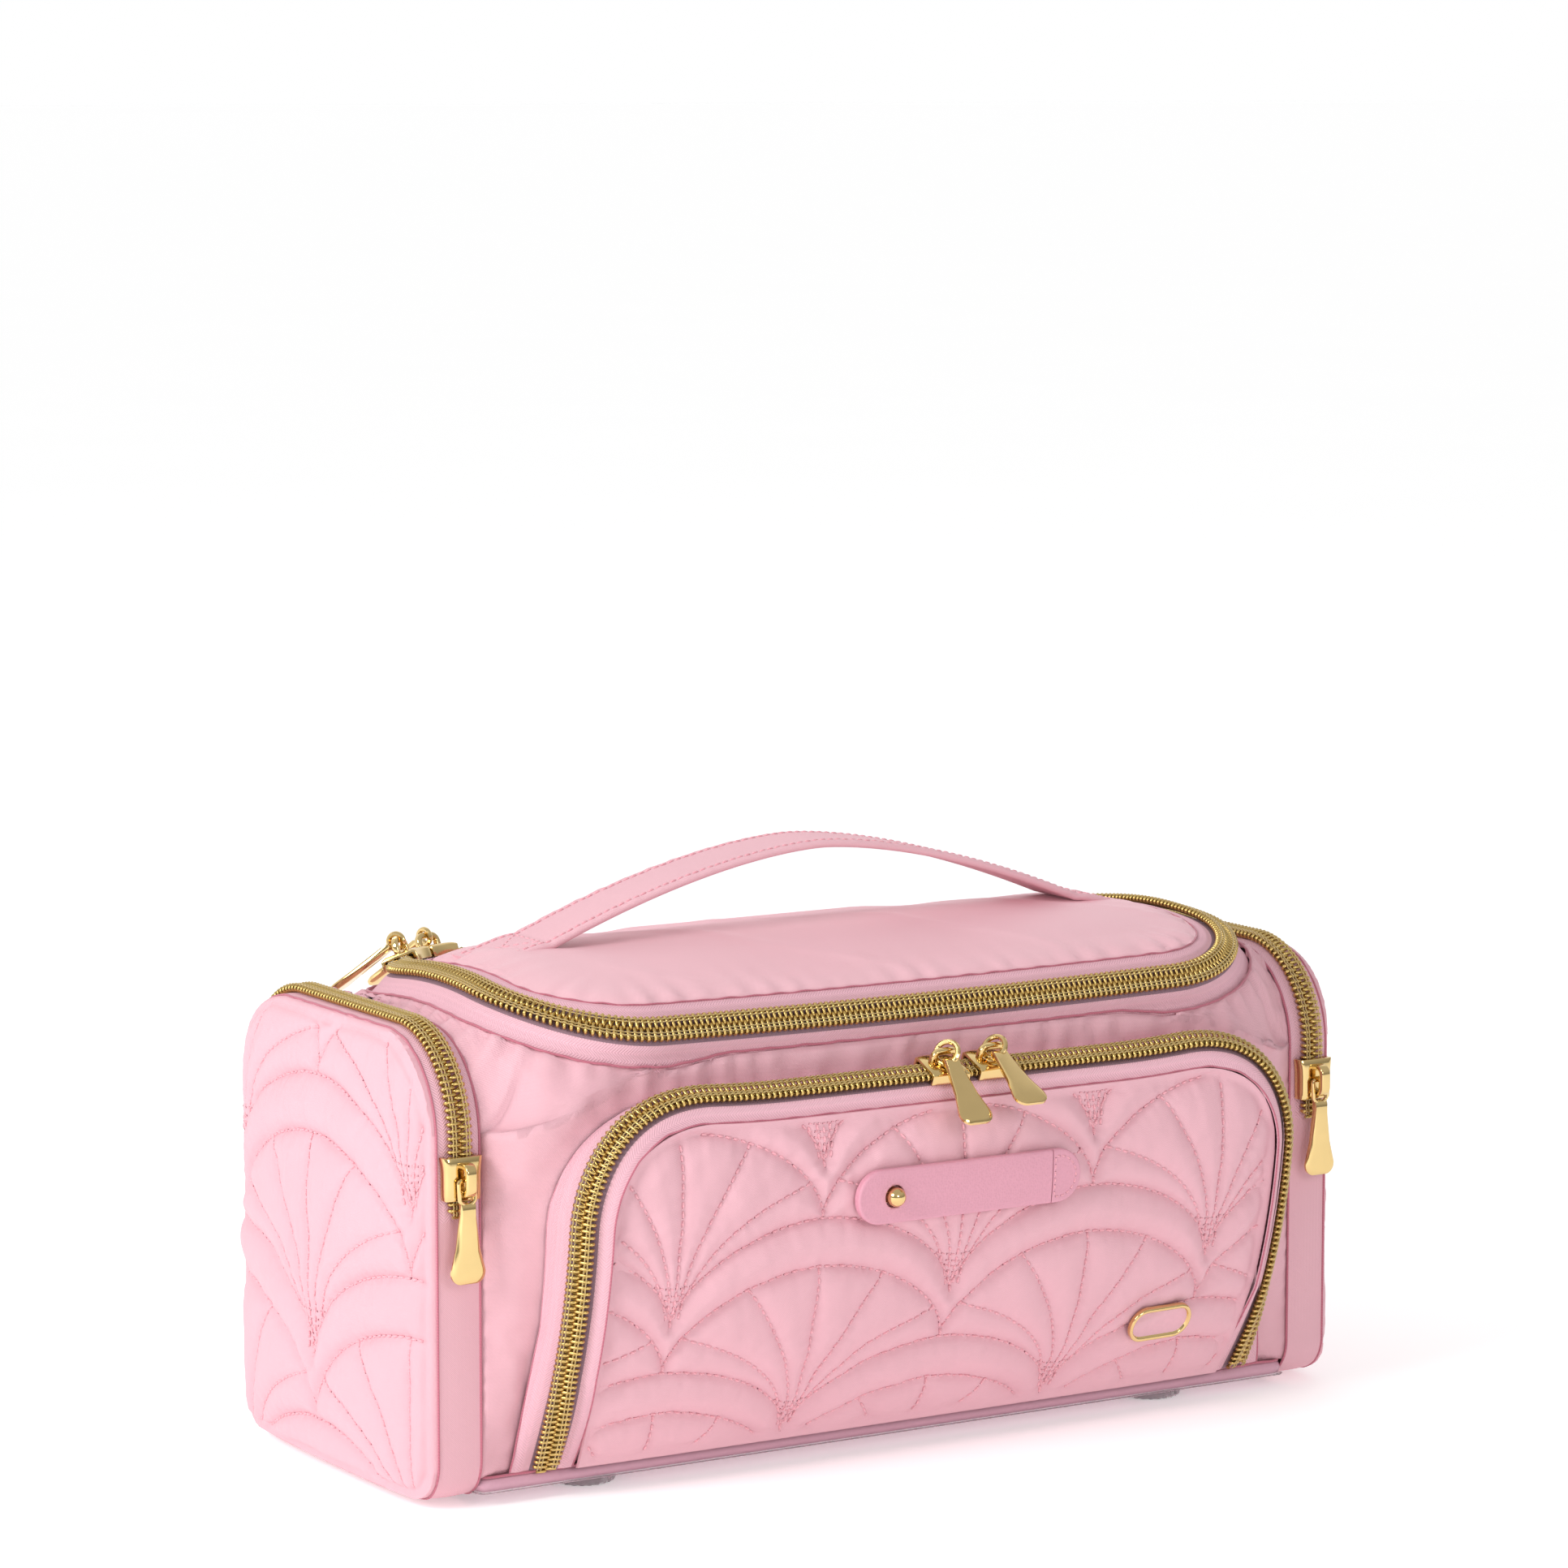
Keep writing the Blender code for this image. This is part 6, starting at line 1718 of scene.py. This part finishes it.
def build_stud(high):
    """Ball stud on a waisted neck."""
    seat = on_panel(np.array([STUD_X]), np.array([TAB_Z]), np.array([0.3 * MM]))[0]
    axis = on_panel(np.array([STUD_X]), np.array([TAB_Z]), np.array([1.0]))[0] - seat
    ball = high + 0.5 * MM - 0.3 * MM
    shape = [(2.6 * MM, 0.0), (2.7 * MM, 0.25 * MM), (2.5 * MM, 0.6 * MM), (1.5 * MM, 0.9 * MM)]
    for angle in np.radians(np.linspace(-58.0, 88.0, 16)):
        shape.append((STUD_RADIUS * math.cos(angle), ball + STUD_RADIUS * math.sin(angle)))
    pile = Pile()
    pile.add(*stacked(lathe(shape, seat, axis)))
    stud = pile.build("ball_stud", [POLISHED])
    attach(stud, "front_pocket_panel")
    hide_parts("tab_stud")


def stadium(half_x, half_z, inset, count=12):
    """Outline with fully round ends, moved in by inset."""
    radius = half_z - inset
    centre = half_x - half_z
    points = []
    for side, start in ((1.0, -90.0), (-1.0, 90.0)):
        for angle in np.radians(np.linspace(start, start + 180.0, count)):
            points.append((side * centre + radius * math.cos(angle), radius * math.sin(angle)))
    return np.array(points)


def build_badge():
    """Blank plate: a gold rim round a sunk field of pink enamel."""
    levels = ((0.0, 0.6), (0.0, 1.7), (0.2, 2.1), (0.5, 2.25),
              (0.9, 2.2), (1.2, 1.95), (1.35, 1.35), (1.4, 1.3))
    rings = []
    for inset, out in levels:
        outline = stadium(*BADGE_HALF, inset * MM, 16)
        rings.append(on_panel(BADGE_CENTRE[0] + outline[:, 0], BADGE_CENTRE[1] + outline[:, 1],
                              np.full(len(outline), out * MM)))
    points, faces = stacked(rings)
    pile = Pile()
    pile.add(points, faces)
    pile.slots[-1] = 1
    badge = pile.build("blank_badge", [POLISHED, ENAMEL])
    badge.data.set_sharp_from_angle(angle=math.radians(45.0))
    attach(badge, "front_pocket_panel")
    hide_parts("badge")


# ---------------------------------------------------------------- end pockets

def build_end_quilt(name, side):
    """Quilted end panel, one sheet across the flap's hinge line."""
    columns = spread_columns(END_HALF_DEPTH - 0.3 * MM, 150)
    sheet = QuiltSheet(columns, end_bottom, end_top, 165, lambda v: v)
    z = sheet.levels
    y = np.broadcast_to(columns, z.shape)
    flat = np.stack([y, z], axis=-1).reshape(-1, 2)
    loop = end_loop(-0.2 * MM, 16, 700)
    edge = edge_distance(flat, np.concatenate([loop, loop[:1]]))
    relief = quilt_relief(flat, END_PATTERN, edge, 61)
    relief = relief * smooth_step(edge / (2.0 * MM))
    lip = END_LIP * np.sqrt(1.0 - (1.0 - np.clip(edge / (4.0 * MM), 0.0, 1.0)) ** 2)
    reach_y = np.abs(flat[:, 0]) / END_HALF_DEPTH
    reach_z = np.abs(flat[:, 1] - 66.0 * MM) / (76.0 * MM)
    pad = END_PAD * (1.0 - np.clip(reach_y, 0, 1) ** 3) * (1.0 - np.clip(reach_z, 0, 1) ** 3.5)
    x = POCKET_OUTER_X + 0.1 * MM + lip + pad
    face = np.stack([side * x.reshape(z.shape), y, z], axis=-1)
    normals = grid_normals(face)
    sheet.grid = face + normals * relief.reshape(z.shape)[:, :, None]
    sheet.normals = grid_normals(sheet.grid)
    back = face.copy()
    back[:, :, 0] = side * (POCKET_OUTER_X - 0.4 * MM)
    quilt = slab(f"{name}_end_quilt", sheet.grid, back, [QUILT])
    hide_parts(f"{name}_end_panel_lower", f"{name}_end_panel_upper")
    lines = END_PATTERN.arches() + END_PATTERN.rays()
    stitches = sew(f"{name}_end_stitching", lines, sheet.read, inside=sheet.inside)
    small = sew(f"{name}_end_fan_stitching", END_PATTERN.cross_rows(), sheet.read, pitch=1.6 * MM,
                radius=0.2 * MM, inside=sheet.inside)
    for piece in (quilt, stitches, small):
        blend_to_flap(piece)


def gusset_rows(side, start, end, count, bulge):
    """Closed strip round an end pocket; below the zip both strips form one smooth swell."""
    loop = end_loop(0.0, 16, 330)
    middle = np.array((0.0, (END_TOP + END_BOTTOM) / 2))
    under_zip = 1.0 - smooth_step((loop[:, 1] - FLAP_Z + 4.0 * MM) / (4.0 * MM))
    rows = []
    for share in np.linspace(0.0, 1.0, count):
        x = start + (end - start) * share
        whole = (x - SEAM_X) / (POCKET_OUTER_X - SEAM_X)
        out = bulge * (math.sin(math.pi * share) * (1.0 - under_zip) + math.sin(math.pi * whole) * under_zip)
        shifted = loop + unit(loop - middle) * out[:, None]
        rows.append(np.concatenate([np.full((len(loop), 1), side * x), shifted], axis=1))
    return np.array(rows)


def gusset_slots(rows):
    """Zip tape above the zip's lower ends, plain cloth below them."""
    centre = (rows[:-1, :, 2] + np.roll(rows[:-1, :, 2], -1, axis=1)) / 2
    return (centre.ravel() < FLAP_Z).astype(int).tolist()


def build_end_pocket(name, side):
    inner = gusset_rows(side, SEAM_X + 0.2 * MM, POCKET_ZIP_X, 9, 0.4 * MM)
    band = ribbon(f"{name}_gusset_inner", inner, [TAPE, NYLON], closed=True, slots=gusset_slots(inner))
    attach(band, "case")
    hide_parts(f"{name}_pocket_gusset")
    outer = gusset_rows(side, POCKET_ZIP_X, POCKET_OUTER_X + 0.3 * MM, 9, 0.4 * MM)
    band = ribbon(f"{name}_gusset_outer", outer, [TAPE, NYLON], closed=True, slots=gusset_slots(outer))
    blend_to_flap(band)
    path = pocket_zip_path(side)
    coil = zip_side(f"{name}_zip_inner_coil", path, -1.0, 0.0)
    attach(coil, "case")
    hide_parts(f"{name}_zip_chain")
    coil = zip_side(f"{name}_zip_outer_coil", path, 1.0, 0.5)
    blend_to_flap(coil)
    loop = end_loop(0.35 * MM, 16, 330)
    loop = np.concatenate([loop, loop[:1]])
    route = np.concatenate([np.full((len(loop), 1), side * (SEAM_X + 0.1 * MM)), loop], axis=1)
    seam_shade_cord(f"{name}_body_seam", route, SEAM_SHADE, "case", 0.42 * MM, closed=True)
    route[:, 0] = side * (POCKET_OUTER_X + 0.15 * MM)
    cord = seam_shade_cord(f"{name}_quilt_seam", route, SEAM_SHADE, None, 0.36 * MM, closed=True)
    blend_to_flap(cord)
    build_end_quilt(name, side)


# ---------------------------------------------------------------- sliders and pulls

def placement(point, along, across, normal):
    """Matrix whose X, Y and Z run along the zip, across it and out of it."""
    matrix = Matrix((along, across, normal)).transposed().to_4x4()
    matrix.translation = Vector(point)
    return matrix


def moved(matrix, points):
    points = np.array(points, dtype=float)
    array = np.array(matrix)
    return points @ array[:3, :3].T + array[:3, 3]


def slider_body(frames):
    """Channel over the chain, waisted in plan and rounded over its top."""
    low = CHAIN_LOW + 0.1 * MM
    roof = CHAIN_HIGH + SLIDER_CLEAR
    top = roof + SLIDER_PLATE
    inner = CHAIN_HALF + SLIDER_CLEAR
    rings = []
    count = len(frames)
    for index, frame_matrix in enumerate(frames):
        share = 2.0 * index / (count - 1) - 1.0
        half = SLIDER_HALF - 0.5 * MM * (1.0 - share ** 2) - 0.6 * MM * max(-share, 0.0) ** 2
        end = 0.45 * MM * abs(share) ** 6
        section = [(-half, low), (-half, top - 1.1 * MM), (-half + 0.5 * MM, top - 0.35 * MM - end),
                   (-half + 1.5 * MM, top - end), (half - 1.5 * MM, top - end),
                   (half - 0.5 * MM, top - 0.35 * MM - end), (half, top - 1.1 * MM), (half, low),
                   (inner, low), (inner, roof), (-inner, roof), (-inner, low)]
        rings.append(moved(frame_matrix, [(0.0, across, out) for across, out in section]))
    return stacked(rings)


def crown_bar(frame_matrix, width):
    """Bridge of the slider: a flat bar bent into an arch."""
    reach = 4.2 * MM
    corner = 2.2 * MM
    centre_x = -reach + corner
    centre_z = CROWN_TOP - corner
    half = [(-reach, 4.6 * MM)]
    for angle in np.radians(np.linspace(180.0, 90.0, 8)):
        half.append((centre_x + corner * math.cos(angle), centre_z + corner * math.sin(angle)))
    route = np.array(half + [(-x, z) for x, z in half[::-1]])
    tangents = unit(np.gradient(route, axis=0))
    normals = np.stack([-tangents[:, 1], tangents[:, 0]], axis=1)
    rings = []
    for (x, z), (nx, nz) in zip(route, normals):
        thick = 0.95 * MM
        soft = 0.35 * MM
        section = [(-width + soft, thick), (width - soft, thick), (width, thick - soft),
                   (width, -thick + soft), (width - soft, -thick), (-width + soft, -thick),
                   (-width, -thick + soft), (-width, thick - soft)]
        rings.append(moved(frame_matrix, [(x + nx * out, across, z + nz * out) for across, out in section]))
    return stacked(rings)


def build_slider(name, node, frames, centre, crown_width):
    pile = Pile()
    pile.add(*slider_body(frames))
    pile.add(*crown_bar(centre, crown_width))
    slider = pile.build(name, [POLISHED])
    bevel_edges(slider, 0.22 * MM)
    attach(slider, f"{node.replace('_slider', '')}_zip_slider")
    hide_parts(node)


def pull_tab(start, end, neck, wide, thickness):
    """Flat tapering tab in X and Y with a round far end, as rings from its back to its face."""
    reach = end - start
    sides = [(start, neck), (start + 0.12 * reach, neck * 1.02),
             (start + 0.55 * reach, neck + 0.45 * (wide - neck))]
    tip_x = end - 3.6 * MM
    sides.append((tip_x, wide))
    tip = []
    for angle in np.radians(np.linspace(20.0, 90.0, 7)):
        half = wide * (0.42 + 0.58 * math.cos(angle)) if angle < 1.5 else wide * 0.42
        tip.append((tip_x + 3.6 * MM * math.sin(angle), half))
    upper = sides + tip
    outline = np.array([(x, y) for x, y in upper] + [(x, -y) for x, y in upper[::-1]])
    middle = outline.mean(axis=0)
    rings = []
    domed = ((2.0, -1.1), (0.6, -0.9), (0.0, -0.4), (0.0, 0.4), (0.6, 0.9), (1.3, 1.12), (2.0, 1.2))
    for inset, out in domed:
        shrunk = outline - unit(outline - middle) * inset * MM
        rings.append(np.concatenate([shrunk, np.full((len(shrunk), 1), out * thickness)], axis=1))
    return stacked(rings)


def ring_points(radius, count):
    angles = np.linspace(0.0, 2.0 * math.pi, count, endpoint=False)
    return np.stack([radius * np.cos(angles), radius * np.sin(angles)], axis=1)


def build_yoke_pull(name, node, body, frame_matrix):
    """Pull hung on a wire loop that passes under the crown."""
    width = 2.75 * MM
    wire = 0.68 * MM
    long_side = 6.0 * MM
    route = [(0.0, y) for y in np.linspace(-width + 1.0 * MM, width - 1.0 * MM, 4)]
    for angle in np.radians(np.linspace(0.0, 90.0, 5)):
        route.append((-1.0 * MM + 1.0 * MM * math.cos(angle), width - 1.0 * MM + 1.0 * MM * math.sin(angle)))
    route += [(-x, width - 0.25 * MM * share) for x, share in ((3.0 * MM, 0.4), (long_side, 1.0))]
    for angle in np.radians((30.0, 60.0, 90.0)):
        route.append((-long_side - 1.6 * MM * math.sin(angle), width * math.cos(angle) * 0.8))
    lower = [(x, -y) for x, y in route[4:-1]][::-1]
    loop = np.array(route + lower)
    points = np.concatenate([loop, np.full((len(loop), 1), YOKE_LEVEL)], axis=1)
    pile = Pile()
    bar_points, bar_faces = tube(points, wire, np.array((0.0, 0.0, 1.0)), 10, closed=True)
    pile.add(moved(frame_matrix, bar_points), bar_faces)
    tab_points, tab_faces = pull_tab(6.9 * MM, PULL_LENGTH, 2.4 * MM, 5.7 * MM, 1.0 * MM)
    tab_points = tab_points * np.array((-1.0, 1.0, 1.0)) + np.array((0.0, 0.0, YOKE_LEVEL))
    pile.add(moved(frame_matrix, tab_points), tab_faces)
    finish_pull(pile, name, node, body)


def build_ring_pull(name, node, body, frame_matrix, lay_angle, eye_radius, twist):
    """Pull whose ring goes round the crown's top bar, the ring turned by twist, in degrees, on the tab."""
    local = frame_matrix @ Matrix.Translation((0.0, 0.0, CROWN_TOP)) @ Matrix.Rotation(lay_angle, 4, "X")
    ring = ring_points(eye_radius, 32)
    turn = math.radians(twist)
    points = np.stack([ring[:, 0] * math.sin(turn), ring[:, 0] * math.cos(turn),
                       ring[:, 1] + EYE_SHIFT], axis=1)
    pile = Pile()
    across = np.array((math.cos(turn), -math.sin(turn), 0.0))
    bar_points, bar_faces = tube(points, 0.85 * MM, across, 10, closed=True)
    pile.add(moved(local, bar_points), bar_faces)
    tab_points, tab_faces = pull_tab(2.9 * MM, PULL_LENGTH - EYE_TAB_SHIFT, 2.5 * MM, 5.7 * MM, 1.0 * MM)
    upright = np.stack([tab_points[:, 1], tab_points[:, 2], tab_points[:, 0]], axis=1)
    pile.add(moved(local, upright), tab_faces)
    finish_pull(pile, name, node, body)


def finish_pull(pile, name, node, body):
    pull = pile.build(name, [POLISHED])
    pull.data.set_sharp_from_angle(angle=math.radians(32.0))
    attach(pull, body)
    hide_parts(node)


def straight_frames(centre):
    shifts = np.linspace(-0.5, 0.5, 9) * SLIDER_LENGTH
    return [centre @ Matrix.Translation((shift, 0.0, 0.0)) for shift in shifts]


def build_pocket_sliders():
    for name, side in (("left", -1.0), ("right", 1.0)):
        along = Vector((0.0, 0.0, 1.0))
        normal = Vector((0.0, -1.0, 0.0))
        centre = placement((side * POCKET_ZIP_X, -END_HALF_DEPTH, POCKET_SLIDER_Z), along,
                           normal.cross(along), normal)
        build_slider(f"{name}_pocket_slider", f"{name}_slider", straight_frames(centre), centre, 1.75 * MM)
        build_yoke_pull(f"{name}_pocket_pull", f"{name}_pull", f"{name}_zip_pull", centre)


def build_front_sliders():
    path = front_zip_path(*FRONT_CHAIN_FACE)
    middle = len(path.points) // 2
    normal = Vector(path.normals[middle])
    along = Vector((1.0, 0.0, 0.0))
    across = normal.cross(along)
    for name, x, lay in zip(("front_left", "front_right"), FRONT_SLIDER_X, FRONT_PULL_LAY):
        point = Vector(path.points[middle])
        point.x = x
        centre = placement(point, along, across, normal)
        build_slider(f"{name}_pocket_slider", f"{name}_slider", straight_frames(centre), centre, 1.0 * MM)
        build_ring_pull(f"{name}_pocket_pull", f"{name}_pull", f"{name}_zip_pull", centre, math.radians(lay),
                        *FRONT_EYE)


def lid_corner_frame(angle):
    """Placement on the lid zip, at an angle round the left back corner from its end run."""
    turn = math.radians(angle)
    out = (-math.cos(turn), math.sin(turn))
    x = -(LID_HALF_LENGTH - LID_RADIUS) + LID_RADIUS * out[0]
    y = LID_MIDDLE_Y + LID_HALF_WIDTH - LID_RADIUS + LID_RADIUS * out[1]
    point, across, normal = lid_frame(x, y, out[0], out[1], LID_CHAIN_TILT[0])
    across = Vector(across)
    normal = Vector(normal)
    return placement(point, across.cross(normal), across, normal)


def build_lid_sliders():
    half_turn = math.degrees(SLIDER_LENGTH / 2 / LID_RADIUS)
    for name, angle in zip(("lid_first", "lid_second"), LID_SLIDER_ANGLES):
        frames = [lid_corner_frame(angle + half_turn * share) for share in np.linspace(-1.0, 1.0, 9)]
        centre = lid_corner_frame(angle)
        build_slider(f"{name}_top_slider", f"{name}_slider", frames, centre, 1.0 * MM)
        build_ring_pull(f"{name}_top_pull", f"{name}_pull", f"{name}_zip_pull", centre,
                        math.radians(-LID_PULL_LAY), *LID_EYE)


# ---------------------------------------------------------------- base

def rounded_outline(half_x, half_y, radius, steps=9):
    points = []
    for corner, (sx, sy) in enumerate(((1, 1), (-1, 1), (-1, -1), (1, -1))):
        for step in range(steps + 1):
            angle = math.radians(90.0 * (corner + step / steps))
            points.append((sx * (half_x - radius) + radius * math.cos(angle),
                           sy * (half_y - radius) + radius * math.sin(angle)))
    return np.array(points)


def band_rings(levels, inner=0.0):
    rings = []
    for inset, z in levels:
        inset = (inset + inner) * MM
        outline = rounded_outline(BASE_HALF[0] - inset, BASE_HALF[1] - inset, BASE_RADIUS)
        outline = resample(np.concatenate([outline, outline[:1]]), 321)[:-1]
        rings.append(np.concatenate([outline, np.full((len(outline), 1), z * MM)], axis=1))
    return rings


def build_base():
    """Vinyl base with a soft edge, its clear welt, the seam above it with its cord darkened as painted
    shade, and four feet.
    """
    pile = Pile()
    swelled = ((4.0, 3.95), (1.0, 4.0), (0.0, 4.6), (-0.5, 6.2), (-0.1, 7.9), (0.9, 8.45), (4.0, 8.5))
    pile.add(*stacked(band_rings(swelled)))
    base = pile.build("vinyl_base", [VINYL])
    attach(base, "case")
    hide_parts("base_cover")
    welt = Pile()
    rings = band_rings(((-0.6, 3.9), (-1.1, 4.05), (-1.1, 4.35), (-0.5, 4.55), (0.6, 4.5), (0.6, 3.95)))
    rings.append(rings[0])
    rings = np.array(rings)
    welt.add(rings, grid_faces(*rings.shape[:2], closed=True))
    edge = welt.build("clear_welt", [CLEAR])
    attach(edge, "case")
    loop = band_rings(((0.2, 8.75),))[0]
    seam_shade_cord("base_seam", np.concatenate([loop, loop[:1]]), SEAM_SHADE, "case", 0.45 * MM, closed=True)
    for row, back in (("front", -1.0), ("back", 1.0)):
        for name, side in (("left", -1.0), ("right", 1.0)):
            build_foot(f"foot_{row}_{name}", side * FOOT_X, back * FOOT_Y)


def build_foot(node, x, y):
    """Clear ribbed foot."""
    angles = np.linspace(0.0, 2.0 * math.pi, 144, endpoint=False)
    ribs = 1.0 + 0.03 * np.cos(24.0 * angles)
    rings = []
    turned = ((6.0, 1.0), (6.5, 0.25), (8.6, 0.0), (9.6, 0.25),
              (10.0, 1.0), (9.9, 2.3), (9.3, 3.3), (8.4, 3.7))
    for radius, z in turned:
        rim = radius * MM * (ribs if radius > 8.5 else 1.0)
        rings.append(np.stack([x + rim * np.cos(angles), y + rim * np.sin(angles),
                               np.full(len(angles), z * MM)], axis=1))
    pile = Pile()
    pile.add(*stacked(rings))
    foot = pile.build(f"{node}_ribbed", [CLEAR])
    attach(foot, "case")
    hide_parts(node)


def dress_nodes():
    """Procedural finishes for the parts that are kept as they were made."""
    looks = {"base_panel": INNER_PINK, "base_board": BOARD, "body_lining": LINING, "lid_lining": LINING,
             "front_panel_lining": LINING, "left_inner_wall": INNER_PINK, "right_inner_wall": INNER_PINK}
    for node, material in looks.items():
        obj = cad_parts[node]
        for slot in obj.material_slots:
            slot.material = material


# ---------------------------------------------------------------- studio

def build_camera():
    azimuth = math.radians(CAMERA_AZIMUTH)
    elevation = math.radians(CAMERA_ELEVATION)
    back = Vector((math.sin(azimuth) * math.cos(elevation), -math.cos(azimuth) * math.cos(elevation),
                   math.sin(elevation)))
    right = Vector((math.cos(azimuth), math.sin(azimuth), 0.0))
    data = bpy.data.cameras.new("camera")
    data.lens = CAMERA_LENS
    data.sensor_width = SENSOR
    data.clip_end = 100.0
    camera = bpy.data.objects.new("camera", data)
    camera.matrix_world = placement(CAMERA_PLACE, right, back.cross(right), back)
    bpy.context.scene.collection.objects.link(camera)
    bpy.context.scene.camera = camera


def area_light(name, place, aim, size, power):
    data = bpy.data.lights.new(name, "AREA")
    data.shape = "RECTANGLE"
    data.size, data.size_y = size
    data.energy = power
    light = bpy.data.objects.new(name, data)
    light.location = place
    light.rotation_euler = (Vector(aim) - Vector(place)).to_track_quat("-Z", "Y").to_euler()
    bpy.context.scene.collection.objects.link(light)


def build_studio():
    """Pale floor, soft boxes and a bright surround."""
    scene = bpy.context.scene
    scene.view_settings.view_transform = "Standard"
    faces = Pile()
    corners = ((-1.0, -1.0), (1.0, -1.0), (1.0, 1.0), (-1.0, 1.0))
    faces.add([(x * FLOOR_HALF, y * FLOOR_HALF, 0.0) for x, y in corners], [[0, 1, 2, 3]])
    shader = Shader("studio_floor", 0.8)
    place = shader.object_place()
    uneven = shader.mix(shader.noise(place, 3.0), (0.94, 0.94, 0.94, 1.0), (0.96, 0.96, 0.96, 1.0))
    shader.link(uneven, "Base Color")
    shader.set("Emission Color", (1.0, 1.0, 1.0, 1.0))
    shader.set("Emission Strength", FLOOR_GLOW)
    floor = faces.build("studio_floor", [shader.material])
    floor.location.z = -0.05 * MM
    build_surround(scene)
    area_light("key", (-1.5, -0.3, 0.9), (-0.05, 0.0, 0.06), (0.7, 0.7), KEY_POWER)
    area_light("front", (-0.3, -1.9, 0.8), (0.0, 0.0, 0.1), (0.6, 0.5), FRONT_POWER)


def build_surround(scene):
    """White behind and above the case, darker behind the viewer, so that folds and metal read."""
    world = bpy.data.worlds.new("studio")
    scene.world = world
    world.use_nodes = True
    tree = world.node_tree
    background = tree.nodes["Background"]
    coordinates = tree.nodes.new("ShaderNodeTexCoord")
    parts = tree.nodes.new("ShaderNodeSeparateXYZ")
    tree.links.new(coordinates.outputs["Generated"], parts.inputs[0])
    ramps = []
    for axis, start, end, high in ((1, -0.1, 0.5, 1.0), (2, 0.1, 0.5, SURROUND_TOP)):
        ramp = tree.nodes.new("ShaderNodeMapRange")
        tree.links.new(parts.outputs[axis], ramp.inputs[0])
        for index, value in enumerate((start, end, SURROUND_DARK, high), 1):
            ramp.inputs[index].default_value = value
        ramps.append(ramp.outputs[0])
    brighter = tree.nodes.new("ShaderNodeMath")
    brighter.operation = "MAXIMUM"
    for index, ramp in enumerate(ramps):
        tree.links.new(ramp, brighter.inputs[index])
    tree.links.new(brighter.outputs[0], background.inputs[0])
    background.inputs[1].default_value = SURROUND


# ---------------------------------------------------------------- the whole case

build_camera()
build_studio()
build_body_cloth()
build_lid_zip()
build_lid_hinge(build_lid_pad())
build_handle()
build_front_zip()
build_front_quilt()
build_tab()
build_badge()
for pocket, pocket_side in (("left", -1.0), ("right", 1.0)):
    build_end_pocket(pocket, pocket_side)
build_pocket_sliders()
build_front_sliders()
build_lid_sliders()
build_base()
dress_nodes()
